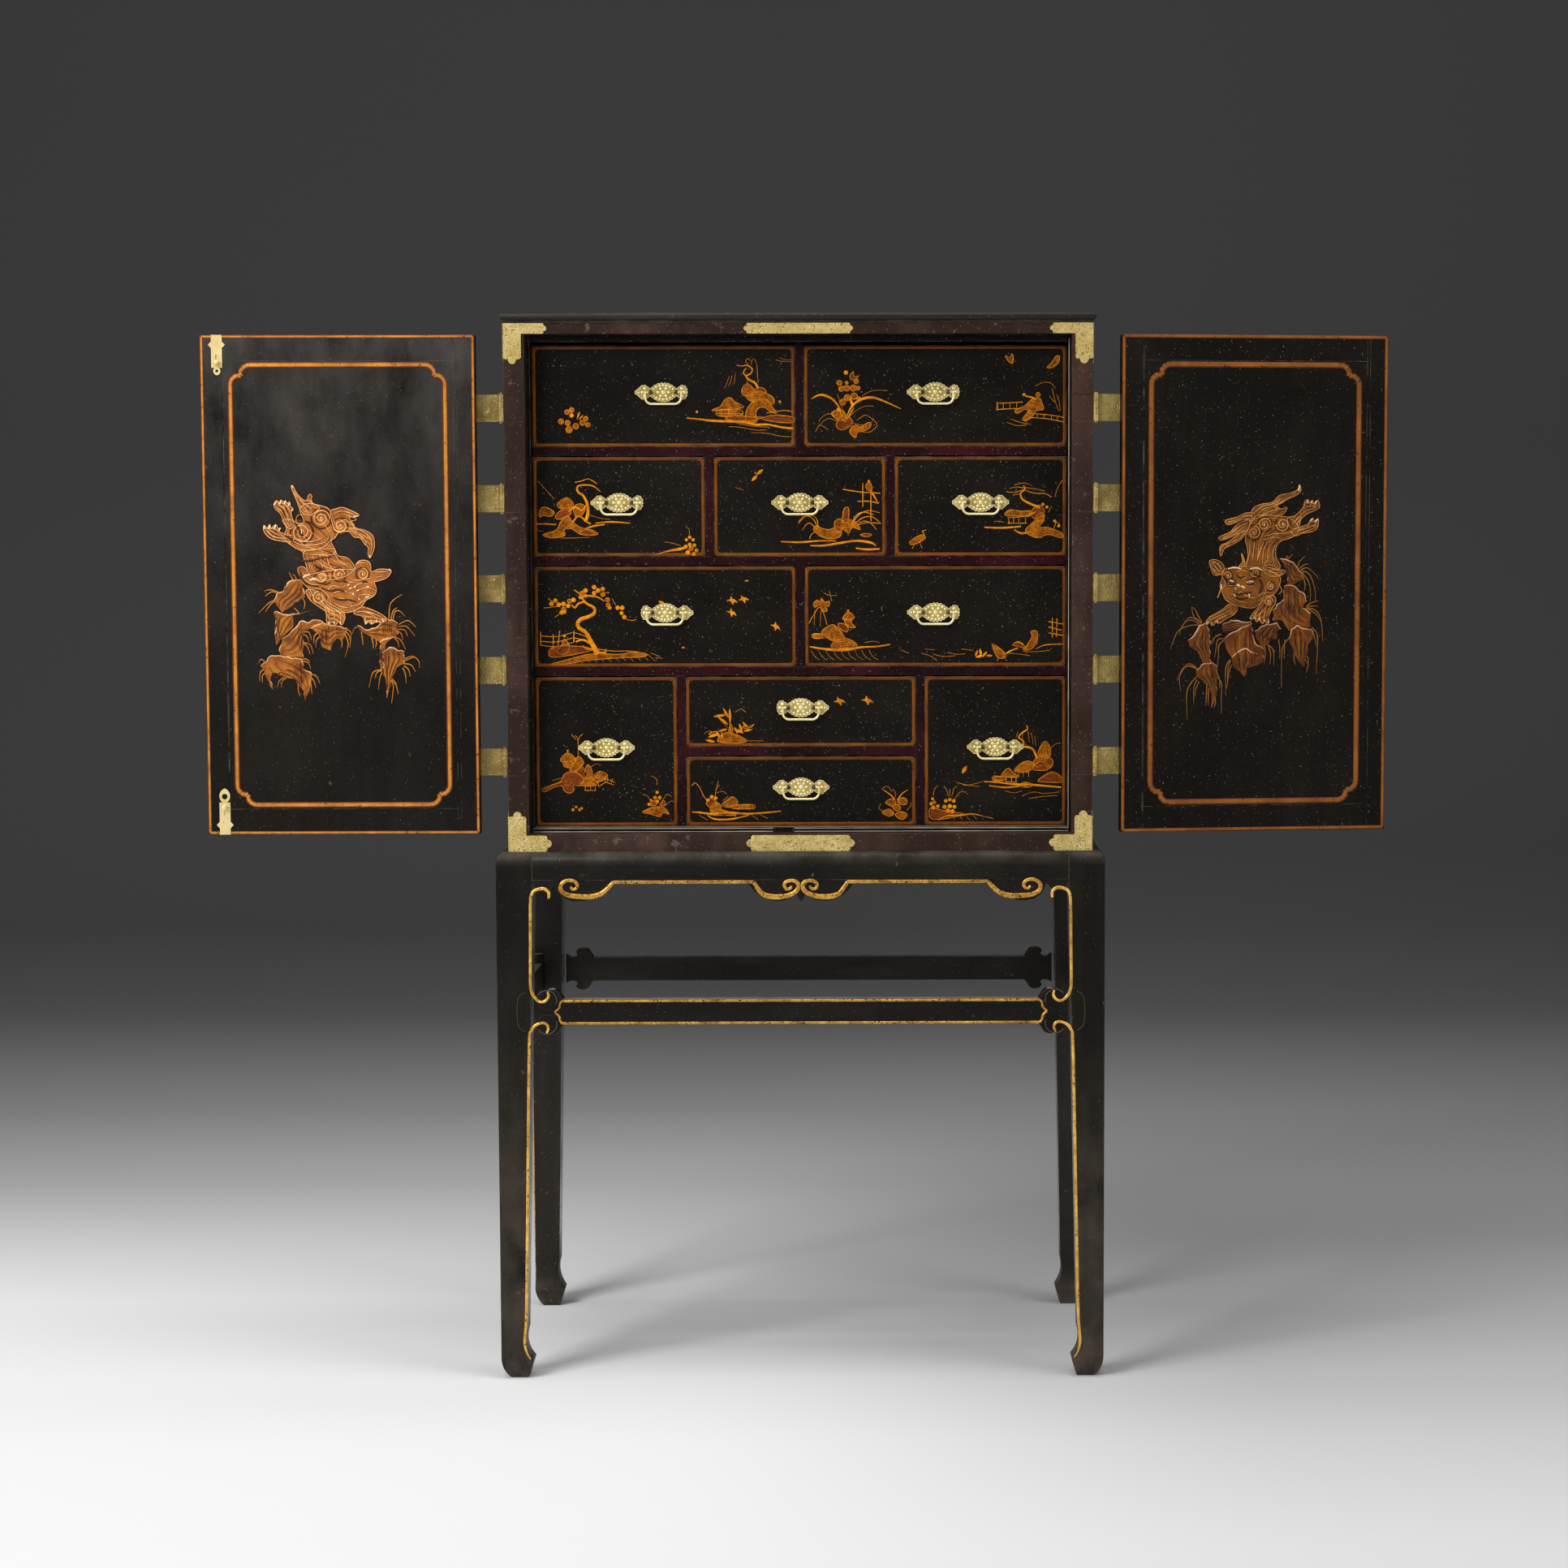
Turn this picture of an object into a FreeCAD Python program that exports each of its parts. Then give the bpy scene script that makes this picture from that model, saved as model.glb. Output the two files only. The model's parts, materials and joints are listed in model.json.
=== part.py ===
import FreeCAD, Part
import math
import os

import Sketcher
from FreeCAD import Placement, Rotation, Vector

# Lacquered cabinet with two doors and eleven drawers, on a carved open stand.
# Frame: origin on the floor under the middle, +Z up, the front faces -Y. Millimetres.

sizes = {
    # stand
    "standHeight": 800.0,
    "ledgeSide": 19.0,  # how far the stand stands out beside the case
    "ledgeDepth": 14.0,  # and in front of and behind it
    "edgeRound": 14.0,
    "legTop": 54.0,
    "legBottom": 40.0,
    "footInset": 13.0,
    "footBase": 27.0,
    "footFlare": 8.0,
    "footTipHeight": 27.0,
    "footCurveHeight": 32.0,
    "ankleHeight": 75.0,
    "friezeHeight": 42.0,
    "friezeThick": 24.0,
    "apronThick": 18.0,
    "apronSetback": 1.5,
    "apronStrip": 6.0,
    "lobeWidth": 78.0,
    "lobeDrop": 26.0,
    "cornerLobe": 17.0,
    "standBoard": 18.0,
    "stretcherLow": 540.0,
    "stretcherHeight": 39.0,
    "stretcherThick": 22.0,
    "stretcherLobe": 14.0,
    "stretcherLobeOut": 30.0,
    # case
    "innerWidth": 800.0,
    "caseDepth": 472.0,
    "sideBoard": 30.5,
    "bottomBoard": 26.0,
    "topBoard": 15.5,
    "backPanel": 14.0,
    "liningSide": 5.5,
    "liningBottom": 8.0,
    "liningTop": 10.5,
    "corniceNeck": 3.5,
    "corniceNeckOut": 1.0,
    "corniceThick": 12.5,
    "corniceOver": 5.0,
    # drawer openings, from the top row down
    "rowOne": 155.0,
    "rowTwo": 150.5,
    "rowThree": 152.5,
    "rowFour": 227.0,
    "railHeight": 13.0,
    "railDepth": 22.0,
    "muntin": 12.0,
    "dustBoard": 8.0,
    "endDrawerWidth": 214.5,
    "lowDrawerHeight": 106.5,
    "drawerSetback": 42.0,
    # drawers
    "drawerFront": 14.0,
    "drawerSide": 8.0,
    "drawerBottom": 6.0,
    "drawerRise": 0.3,
    "drawerGap": 0.7,
    "drawerTopGap": 1.5,
    "topRowGap": 4.5,
    "drawerRearGap": 10.0,
    # drop handles
    "handleHalf": 45.0,
    "handleHigh": 13.5,
    "handlePlate": 1.8,
    "handleAbove": 6.0,
    "postSpan": 38.0,
    "postShank": 2.0,
    "postHead": 3.2,
    "postReach": 6.5,
    "postNut": 2.0,
    "bailWire": 1.7,
    "bailPin": 1.3,
    "bailPinGap": 0.05,
    "bailHalf": 27.0,
    "bailDrop": 17.5,
    "bailCorner": 10.0,
    # doors
    "doorThick": 20.0,
    "doorGap": 1.0,
    "doorMeet": 1.0,
    "doorTopGap": 2.0,
    "doorStopGap": 0.5,
    "doorStile": 32.0,
    "doorRail": 38.0,
    "leftOpen": 180.0,
    "rightOpen": 187.0,
    # hinges
    "leafThick": 1.5,
    "leafHeight": 40.0,
    "leafReach": 78.0,
    "sideLeafReach": 56.0,
    "knuckle": 4.5,
    "knuckleGap": 0.4,
    "knuckleMiddle": 19.0,
    "pinRadius": 1.9,
    "pinGap": 0.05,
    "finialRadius": 3.0,
    "finialHeight": 2.5,
    "notchGap": 0.3,
    "hingeOne": 106.0,
    "hingeTwo": 243.0,
    "hingeThree": 364.5,
    "hingeFour": 498.0,
    "hingeFive": 631.5,
    # brass mounts
    "mountThick": 1.2,
    "cornerReach": 64.0,
    "cornerRise": 60.0,
    "cornerArm": 26.0,
    "centreHalf": 81.0,
    "lowMountHeight": 24.0,
    # bolts on the left door
    "boltInset": 25.0,
    "boltPlateWidth": 16.0,
    "boltPlateLength": 48.0,
    "boltWing": 12.5,
    "boltFinialLow": 21.0,
    "boltFinialHigh": 11.0,
    "boltPlateThick": 1.5,
    "boltWidth": 6.0,
    "boltDepth": 4.0,
    "boltLength": 46.0,
    "boltTravel": 10.0,
    "boltPlay": 0.3,
    "mortisePlay": 1.0,
    "boltKnobAt": 41.0,
    "boltKnob": 4.4,
    "boltNeck": 1.6,
}

doc = FreeCAD.newDocument("CabinetOnStand")
sheet = doc.addObject("Spreadsheet::Sheet", "Sizes")
for row, (alias, number) in enumerate(sizes.items(), 1):
    sheet.set(f"A{row}", alias)
    sheet.set(f"B{row}", str(number))
    sheet.setAlias(f"B{row}", alias)
doc.recompute()


class Dim:
    """A length worked out from the sheet: its formula for FreeCAD and its number."""

    def __init__(self, text, number):
        self.text, self.number = text, number

    def join(self, other, sign, number):
        right = other.text if isinstance(other, Dim) else repr(float(other))
        return Dim(f"({self.text} {sign} {right})", number)

    def __add__(self, other):
        return self.join(other, "+", self.number + numberOf(other))

    def __sub__(self, other):
        return self.join(other, "-", self.number - numberOf(other))

    def __mul__(self, other):
        return self.join(other, "*", self.number * numberOf(other))

    def __truediv__(self, other):
        return self.join(other, "/", self.number / numberOf(other))

    def __neg__(self):
        return self * -1


def numberOf(value):
    return value.number if isinstance(value, Dim) else float(value)


def textOf(value):
    return value.text if isinstance(value, Dim) else repr(float(value))


def dim(alias):
    return Dim("Sizes." + alias, sizes[alias])


zero = Dim("0.0", 0.0)
subParts = []


def keep(obj, label):
    """Mark an object as a finished sub-part, written to its own file."""
    obj.Label = label
    subParts.append(obj)
    return obj


def place(obj, x=zero, y=zero, z=zero, rotation=None):
    if rotation:
        obj.Placement = Placement(Vector(0, 0, 0), rotation)
    for axis, value in zip("xyz", (x, y, z)):
        obj.setExpression("Placement.Base." + axis, textOf(value))
    return obj


def box(name, x, y, z):
    """A board between the low and high limits given along each axis."""
    obj = doc.addObject("Part::Box", name)
    for prop, (low, high) in zip(("Length", "Width", "Height"), (x, y, z)):
        obj.setExpression(prop, textOf(high - low))
    return place(obj, x[0], y[0], z[0])


def side(sign, near, far):
    """Low and high X of a piece between two distances from the middle, on one side."""
    return (near, far) if sign > 0 else (-far, -near)


turns = {
    "x": Rotation(Vector(0, 1, 0), 90),
    "y": Rotation(Vector(1, 0, 0), -90),
    "z": Rotation(),
}


def rod(name, radius, length, x, y, z, along="z"):
    """A cylinder that starts at x, y, z and runs along one axis."""
    obj = doc.addObject("Part::Cylinder", name)
    obj.setExpression("Radius", textOf(radius))
    obj.setExpression("Height", textOf(length))
    return place(obj, x, y, z, turns[along])


def combine(kind, name, parts):
    obj = doc.addObject("Part::" + kind, name)
    if kind == "Cut":
        obj.Base, obj.Tool = parts
    elif kind == "Compound":
        obj.Links = parts
    else:
        obj.Shapes = parts
    return obj


def cutAll(name, base, tools):
    tool = tools[0] if len(tools) == 1 else combine("MultiFuse", name + "Tools", tools)
    return combine("Cut", name, [base, tool])


def mirrored(name, source, normal):
    obj = doc.addObject("Part::Mirroring", name)
    obj.Source, obj.Normal = source, normal
    return obj


def arcBetween(start, end, radius):
    """An arc from start to end; a positive radius has its centre on the left."""
    along = end - start
    left = Vector(-along.y, along.x, 0).normalize()
    sign = 1 if radius > 0 else -1
    rise = math.sqrt(radius * radius - along.Length * along.Length / 4)
    centre = (start + end) * 0.5 + left * (rise * sign)
    first, last = (start, end) if sign > 0 else (end, start)
    angles = [math.atan2(p.y - centre.y, p.x - centre.x) for p in (first, last)]
    return Part.ArcOfCircle(Part.Circle(centre, Vector(0, 0, 1), abs(radius)), *angles)


def outlined(name, plane, outline, thickness):
    """A body padded from a closed outline of (u, v) or (u, v, radius of the next arc)."""
    body = doc.addObject("PartDesign::Body", name)
    sketch = body.newObject("Sketcher::SketchObject", name + "Outline")
    origin = next(f for f in body.Origin.OriginFeatures if f.Role == plane)
    sketch.AttachmentSupport, sketch.MapMode = [(origin, "")], "FlatFace"
    corners = [Vector(numberOf(p[0]), numberOf(p[1]), 0) for p in outline]
    ends = []
    for i, point in enumerate(outline):
        start, end = corners[i], corners[(i + 1) % len(outline)]
        radius = numberOf(point[2]) if len(point) == 3 else 0
        if radius:
            sketch.addGeometry(arcBetween(start, end, radius))
        else:
            sketch.addGeometry(Part.LineSegment(start, end))
        ends.append((2, 1) if radius < 0 else (1, 2))

    def constrain(kind, *places, value):
        index = sketch.addConstraint(Sketcher.Constraint(kind, *places, numberOf(value)))
        sketch.setExpression(f"Constraints[{index}]", textOf(value))

    for i, point in enumerate(outline):
        after = (i + 1) % len(outline)
        joint = (i, ends[i][1], after, ends[after][0])
        sketch.addConstraint(Sketcher.Constraint("Coincident", *joint))
        constrain("DistanceX", i, ends[i][0], value=point[0])
        constrain("DistanceY", i, ends[i][0], value=point[1])
        if len(point) == 3:
            constrain("Radius", i, value=point[2] if numberOf(point[2]) > 0 else -point[2])
    pad = body.newObject("PartDesign::Pad", name + "Pad")
    pad.Profile = sketch
    pad.setExpression("Length", textOf(thickness))
    return body


# ---------------------------------------------------------------- shared places

innerHalf = dim("innerWidth") / 2
openingHalf = innerHalf + dim("liningSide")
caseHalf = openingHalf + dim("sideBoard")
caseFront = -(dim("caseDepth") / 2)
caseBack = dim("caseDepth") / 2
standHalf = caseHalf + dim("ledgeSide")
standFront = caseFront - dim("ledgeDepth")
standBack = -standFront
standTop = dim("standHeight")

openingLow = standTop + dim("bottomBoard")
innerLow = openingLow + dim("liningBottom")
rowFourTop = innerLow + dim("rowFour")
rowThreeLow = rowFourTop + dim("railHeight")
rowThreeTop = rowThreeLow + dim("rowThree")
rowTwoLow = rowThreeTop + dim("railHeight")
rowTwoTop = rowTwoLow + dim("rowTwo")
rowOneLow = rowTwoTop + dim("railHeight")
innerTop = rowOneLow + dim("rowOne")
openingTop = innerTop + dim("liningTop")
boardTop = openingTop + dim("topBoard")
caseTop = boardTop + dim("corniceNeck") + dim("corniceThick")
panelFront = caseBack - dim("backPanel")


# ---------------------------------------------------------------- stand

footEnd = dim("footInset") + dim("footBase")
footTip = dim("legBottom") + dim("footFlare")
legOutline = [  # seen square on, measured inwards from the outer face
    (dim("footInset"), zero),
    (footEnd, zero),
    (footTip, dim("footTipHeight"), -dim("ankleHeight") * 0.7),
    (dim("legBottom"), dim("ankleHeight")),
    (dim("legTop"), standTop - dim("friezeHeight")),
    (dim("legTop"), standTop),
    (dim("edgeRound"), standTop, dim("edgeRound")),
    (zero, standTop - dim("edgeRound")),
    (zero, dim("footCurveHeight"), dim("footCurveHeight") * 1.5),
]
faceOn = outlined("LegFaceOn", "XZ_Plane", legOutline, dim("legTop"))
place(faceOn, -standHalf, standFront + dim("legTop"))
sideOn = outlined("LegSideOn", "YZ_Plane", legOutline, dim("legTop"))
place(sideOn, -standHalf, standFront)
frontLeft = combine("MultiCommon", "LegFrontLeft", [faceOn, sideOn])
frontRight = mirrored("LegFrontRight", frontLeft, Vector(1, 0, 0))
rearLeft = mirrored("LegRearLeft", frontLeft, Vector(0, 1, 0))
keep(frontLeft, "stand_leg_front_left")
keep(frontRight, "stand_leg_front_right")
keep(rearLeft, "stand_leg_rear_left")
keep(mirrored("LegRearRight", frontRight, Vector(0, 1, 0)), "stand_leg_rear_right")

legInner = standHalf - dim("legTop")  # distance from the middle to a leg's inner face
legInnerDeep = standBack - dim("legTop")
friezeLow = standTop - dim("friezeHeight")
apronLow = friezeLow - dim("apronStrip")

friezeSection = [
    (zero, friezeLow),
    (dim("friezeThick"), friezeLow),
    (dim("friezeThick"), standTop),
    (dim("edgeRound"), standTop, dim("edgeRound")),
    (zero, standTop - dim("edgeRound")),
]


def backwards(points):
    """The same outline mirrored left to right; its arcs bulge the same way."""
    before = [()] + [point[2:] for point in points[:-1]]
    return [(-p[0], p[1]) + arc for p, arc in zip(reversed(points), reversed(before))]


def apronOutline(half, middle):
    """Carved board under a frieze: a lobe at each corner and a pair in the middle."""
    width = dim("lobeWidth")
    bracket = dim("cornerLobe") * 2
    outer = half - bracket - width
    corner = [
        (outer, apronLow, width * 0.62),
        (outer + width * 0.58, apronLow - dim("lobeDrop"), width * 0.40),
        (outer + width, apronLow),
        (outer + width + 1.0, apronLow, dim("cornerLobe") * 1.02),
        (half - 1.0, apronLow),
        (half, apronLow),
    ]
    pair = [
        (zero, apronLow),
        (dim("apronSetback"), apronLow, width * 0.40),
        (width * 0.42, apronLow - dim("lobeDrop"), width * 0.62),
        (width, apronLow),
    ]
    lower = (pair if middle else []) + corner
    left = backwards(lower)
    top = [(half, friezeLow), (-half, friezeLow)]
    return left[:-1] + lower + top if middle else left + lower + top


def frieze(name, half, plane, middle):
    """One rail of the stand's top frame with its apron, centred, front face at zero."""
    if plane == "XZ_Plane":
        rail = outlined(name + "Rail", "YZ_Plane", friezeSection, half * 2)
        place(rail, -half, standFront)
        apron = outlined(name + "Apron", plane, apronOutline(half, middle), dim("apronThick"))
        place(apron, zero, standFront + dim("apronSetback") + dim("apronThick"))
    else:
        rail = outlined(name + "Rail", "XZ_Plane", friezeSection, half * 2)
        place(rail, -standHalf, half)
        apron = outlined(name + "Apron", plane, apronOutline(half, middle), dim("apronThick"))
        place(apron, -standHalf + dim("apronSetback"))
    return combine("MultiFuse", name, [rail, apron])


friezeFront = frieze("FriezeFront", legInner, "XZ_Plane", True)
friezeLeft = frieze("FriezeLeft", legInnerDeep, "YZ_Plane", False)
friezes = [
    friezeFront,
    mirrored("FriezeRear", friezeFront, Vector(0, 1, 0)),
    friezeLeft,
    mirrored("FriezeRight", friezeLeft, Vector(1, 0, 0)),
]
keep(combine("Compound", "Frieze", friezes), "stand_frieze")

boardHalf, boardHalfDeep = standHalf - dim("friezeThick"), standBack - dim("friezeThick")
boardZ = (standTop - dim("standBoard"), standTop)
boardParts = [
    box("BoardWide", (-boardHalf, boardHalf), (-legInnerDeep, legInnerDeep), boardZ),
    box("BoardDeep", (-legInner, legInner), (-boardHalfDeep, boardHalfDeep), boardZ),
]
keep(combine("MultiFuse", "StandBoard", boardParts), "stand_top_board")

stretcherZ = (dim("stretcherLow"), dim("stretcherLow") + dim("stretcherHeight"))


def stretcher(name, half, outer, along, legs):
    """A rail shouldered against two legs, with round lobes above and below each end."""
    reach = half + dim("legTop") - dim("legBottom")
    faces = (outer, outer + dim("stretcherThick"))
    lobeAt = half - dim("stretcherLobeOut")
    if along == "x":
        parts = [box(name + "Bar", (-reach, reach), faces, stretcherZ)]
    else:
        parts = [box(name + "Bar", faces, (-reach, reach), stretcherZ)]
    for spot in (-lobeAt, lobeAt):
        for z in stretcherZ:
            disc = name + f"Lobe{len(parts)}"
            size = (dim("stretcherLobe"), dim("stretcherThick"))
            if along == "x":
                parts.append(rod(disc, *size, spot, outer, z, "y"))
            else:
                parts.append(rod(disc, *size, outer, spot, z, "x"))
    return cutAll(name, combine("MultiFuse", name + "Whole", parts), legs)


stretcherSet = dim("apronSetback")
frontLegs, leftLegs = [frontLeft, frontRight], [frontLeft, rearLeft]
frontAt, leftAt = standFront + stretcherSet, -standHalf + stretcherSet
stretcherFront = stretcher("StretcherFront", legInner, frontAt, "x", frontLegs)
stretcherLeft = stretcher("StretcherLeft", legInnerDeep, leftAt, "y", leftLegs)
stretchers = [
    stretcherFront,
    mirrored("StretcherRear", stretcherFront, Vector(0, 1, 0)),
    stretcherLeft,
    mirrored("StretcherRight", stretcherLeft, Vector(1, 0, 0)),
]
keep(combine("Compound", "Stretchers", stretchers), "stand_stretchers")


# ---------------------------------------------------------------- case

doorLow = openingLow + dim("doorTopGap")
doorHigh = openingTop - dim("doorTopGap")
doorOut = caseFront + dim("leafThick")  # outer face of a shut door
doorIn = doorOut + dim("doorThick")
liningFront = doorIn + dim("doorStopGap")
drawerPlane = caseFront + dim("drawerSetback")
boltX = -(dim("doorMeet") / 2) - dim("boltInset")
boltY = (doorIn - dim("boltDepth") + dim("boltPlay"), doorIn - dim("boltPlay"))
hingeNames = ("hingeOne", "hingeTwo", "hingeThree", "hingeFour", "hingeFive")
hingeHeights = [doorLow + dim(name) for name in hingeNames]
pinX = caseHalf + dim("knuckle") + dim("knuckleGap")
pinY = caseFront + dim("knuckle")


def about(middle, half):
    return (middle - half, middle + half)


for sign, word in ((-1, "left"), (1, "right")):
    board = box("Side" + word, side(sign, openingHalf, caseHalf), (caseFront, caseBack),
                (standTop, boardTop))
    notches = []
    for i, height in enumerate(hingeHeights):
        deep = (caseFront - 1.0, caseFront + dim("leafThick") + dim("notchGap"))
        high = about(height, dim("leafHeight") / 2 + dim("notchGap"))
        wide = side(sign, openingHalf - 1.0, caseHalf + 1.0)
        notches.append(box(f"Notch{word}{i}", wide, deep, high))
    keep(cutAll("SideBoard" + word, board, notches), "case_side_" + word)

mortiseX = about(boltX, dim("boltWidth") / 2 + dim("mortisePlay"))
mortiseY = (boltY[0] - dim("mortisePlay"), boltY[1] + dim("mortisePlay"))
acrossOpening = (-openingHalf, openingHalf)
fullDepth = (caseFront, caseBack)
bottomBoard = box("BottomPlank", acrossOpening, fullDepth, (standTop, openingLow))
bottomMortise = box("BottomMortise", mortiseX, mortiseY,
                    (openingLow - dim("boltTravel"), openingLow + 1.0))
keep(cutAll("BottomBoard", bottomBoard, [bottomMortise]), "case_bottom_board")
topBoard = box("TopPlank", acrossOpening, fullDepth, (openingTop, boardTop))
topMortise = box("TopMortise", mortiseX, mortiseY,
                 (openingTop - 1.0, openingTop + dim("boltTravel")))
keep(cutAll("TopBoard", topBoard, [topMortise]), "case_top_board")
keep(box("BackPanel", acrossOpening, (panelFront, caseBack), (openingLow, openingTop)),
     "case_back_panel")

over, corniceRound = dim("corniceOver"), dim("corniceThick") / 2
neckTop = boardTop + dim("corniceNeck")


def cornice(name, plane, half, length):
    """Top slab on a low neck, with half-round long edges, run along one axis."""
    neck = half + dim("corniceNeckOut")
    lip = half + over
    right = [
        (neck, boardTop),
        (neck, neckTop),
        (lip - corniceRound, neckTop, corniceRound),
        (lip, neckTop + corniceRound, corniceRound),
        (lip - corniceRound, caseTop),
    ]
    return outlined(name, plane, right + backwards(right), length * 2)


corniceWide = place(cornice("CorniceWide", "XZ_Plane", caseHalf, caseBack + over),
                    zero, caseBack + over)
corniceDeep = place(cornice("CorniceDeep", "YZ_Plane", caseBack, caseHalf + over),
                    -caseHalf - over)
keep(combine("MultiCommon", "Cornice", [corniceWide, corniceDeep]), "case_cornice")

liningDepth = (liningFront, panelFront)
plateNotch = [  # room for the bolt plates behind the shut left door
    box("PlateNotchLow", about(boltX, dim("boltWing") + 1.0),
        (liningFront - 1.0, liningFront + dim("boltPlateThick") + 0.5),
        (openingLow - 1.0, innerLow + 1.0)),
    box("PlateNotchHigh", about(boltX, dim("boltWing") + 1.0),
        (liningFront - 1.0, liningFront + dim("boltPlateThick") + 0.5),
        (innerTop - 1.0, openingTop + 1.0)),
]
inside = (-innerHalf, innerHalf)
lining = [
    cutAll("LiningBottom", box("LiningBottomPlank", inside, liningDepth, (openingLow, innerLow)),
           plateNotch[:1]),
    cutAll("LiningTop", box("LiningTopPlank", inside, liningDepth, (innerTop, openingTop)),
           plateNotch[1:]),
]
for sign, word in ((-1, "Left"), (1, "Right")):
    lining.append(box("Lining" + word, side(sign, innerHalf, openingHalf), liningDepth,
                      (openingLow, openingTop)))
keep(combine("Compound", "Lining", lining), "case_lining")

# Rails and muntins stand flush with the drawer fronts; thinner boards carry on behind them.
halfMuntin = dim("muntin") / 2
third = (dim("innerWidth") - dim("muntin") * 2) / 3
rowTwoMuntin = third / 2 + halfMuntin
rowFourMuntin = innerHalf - dim("endDrawerWidth") - halfMuntin
smallRailLow = innerLow + dim("lowDrawerHeight")
smallRailTop = smallRailLow + dim("railHeight")
muntins = [  # place across, row low, row high, underside of the board above
    (zero, rowOneLow, innerTop, innerTop),
    (-rowTwoMuntin, rowTwoLow, rowTwoTop, rowOneLow - dim("dustBoard")),
    (rowTwoMuntin, rowTwoLow, rowTwoTop, rowOneLow - dim("dustBoard")),
    (zero, rowThreeLow, rowThreeTop, rowTwoLow - dim("dustBoard")),
    (-rowFourMuntin, innerLow, rowFourTop, rowThreeLow - dim("dustBoard")),
    (rowFourMuntin, innerLow, rowFourTop, rowThreeLow - dim("dustBoard")),
]
betweenMuntins = about(zero, rowFourMuntin - halfMuntin)
betweenBoards = about(zero, rowFourMuntin - dim("dustBoard") / 2)
rails = [  # across the rail, across the board behind it, low, high
    (inside, inside, rowTwoTop, rowOneLow),
    (inside, inside, rowThreeTop, rowTwoLow),
    (inside, inside, rowFourTop, rowThreeLow),
    (betweenMuntins, betweenBoards, smallRailLow, smallRailTop),
]
railDeep = (drawerPlane, drawerPlane + dim("railDepth"))
behindRails = (railDeep[1], panelFront)
railParts, dustParts = [], []
for i, (across, acrossBoard, low, high) in enumerate(rails):
    railParts.append(box(f"Rail{i}", across, railDeep, (low, high)))
    dustParts.append(box(f"Dust{i}", acrossBoard, behindRails, (high - dim("dustBoard"), high)))
for i, (middle, low, high, under) in enumerate(muntins):
    railParts.append(box(f"Muntin{i}", about(middle, halfMuntin), railDeep, (low, high)))
    dustParts.append(box(f"Partition{i}", about(middle, dim("dustBoard") / 2), behindRails,
                         (low, under)))
keep(combine("Compound", "DrawerRails", railParts), "drawer_rails")
keep(combine("Compound", "DustBoards", dustParts), "dust_boards")


# ---------------------------------------------------------------- brass mounts

def cusps(tip, low, high, direction=1, turn=1):
    """A three-lobed end, listed from low to high; turn is -1 in a clockwise outline."""
    half = (high - low) / 2
    notch = tip - half * (0.6 * direction)
    shoulder = tip - half * (0.8 * direction)
    small, large = half * (0.32 * turn), half * (0.55 * turn)
    return [
        (shoulder, low, small),
        (notch, low + half * 0.5, large),
        (tip, low + half, large),
        (notch, high - half * 0.5, small),
        (shoulder, high),
    ]


def tongue(name, plane, base, tip, low, high, thickness, upright=False):
    """A plate, square at its base and lobed at its tip, lying along one axis or upright."""
    direction = 1 if numberOf(tip) > numberOf(base) else -1
    turn = -direction if upright else direction
    points = [(base, low)] + cusps(tip, low, high, direction, turn) + [(base, high)]
    if upright:
        points = [(p[1], p[0]) + p[2:] for p in points]
    return outlined(name, plane, points, thickness)


def doubleEnded(name, half, low, high, thickness):
    right = cusps(half, low, high)
    return outlined(name, "XZ_Plane", right + backwards(right), thickness)


mount = dim("mountThick")
arm, reach, rise = dim("cornerArm"), dim("cornerReach"), dim("cornerRise")
lowMount = standTop + dim("lowMountHeight")
mountX, mountFace = -caseHalf, caseFront
corners = {  # square corner, tip of the upright arm, low and high of the level arm
    "High": (boardTop, boardTop - rise, openingTop, boardTop, openingTop),
    "Low": (standTop, standTop + rise, standTop, lowMount, lowMount),
}
leftMounts = []
for word, (corner, tip, low, high, start) in corners.items():
    level = tongue(f"MountLevel{word}", "XZ_Plane", mountX, mountX + reach, low, high, mount)
    upright = tongue(f"MountUpright{word}", "XZ_Plane", start, tip, mountX, mountX + arm,
                     mount, True)
    sideLevel = tongue(f"MountSideLevel{word}", "YZ_Plane", mountFace, mountFace + reach,
                       low, high, mount)
    sideUpright = tongue(f"MountSideUpright{word}", "YZ_Plane", start, tip, mountFace,
                         mountFace + arm, mount, True)
    leftMounts += [place(level, zero, mountFace), place(upright, zero, mountFace)]
    leftMounts += [place(sideLevel, mountX - mount), place(sideUpright, mountX - mount)]
leftMountSet = combine("Compound", "MountsLeft", leftMounts)
mountParts = [leftMountSet, mirrored("MountsRight", leftMountSet, Vector(1, 0, 0))]
for word, low, high in (("High", openingTop, boardTop), ("Low", standTop, lowMount)):
    centre = doubleEnded("MountCentre" + word, dim("centreHalf"), low, high, mount)
    mountParts.append(place(centre, zero, mountFace))
keep(combine("Compound", "Mounts", mountParts), "case_mounts")


# ---------------------------------------------------------------- hinges

leaf, leafHalf = dim("leafThick"), dim("leafHeight") / 2
middleHalf = dim("knuckleMiddle") / 2
knuckle, bore = dim("knuckle"), dim("pinRadius") + dim("pinGap")
hingeBore = rod("HingeBore", bore, leafHalf * 2 + 2.0, -pinX, pinY, -leafHalf - 1.0)
clearOfKnuckle = knuckle + dim("notchGap")

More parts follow.
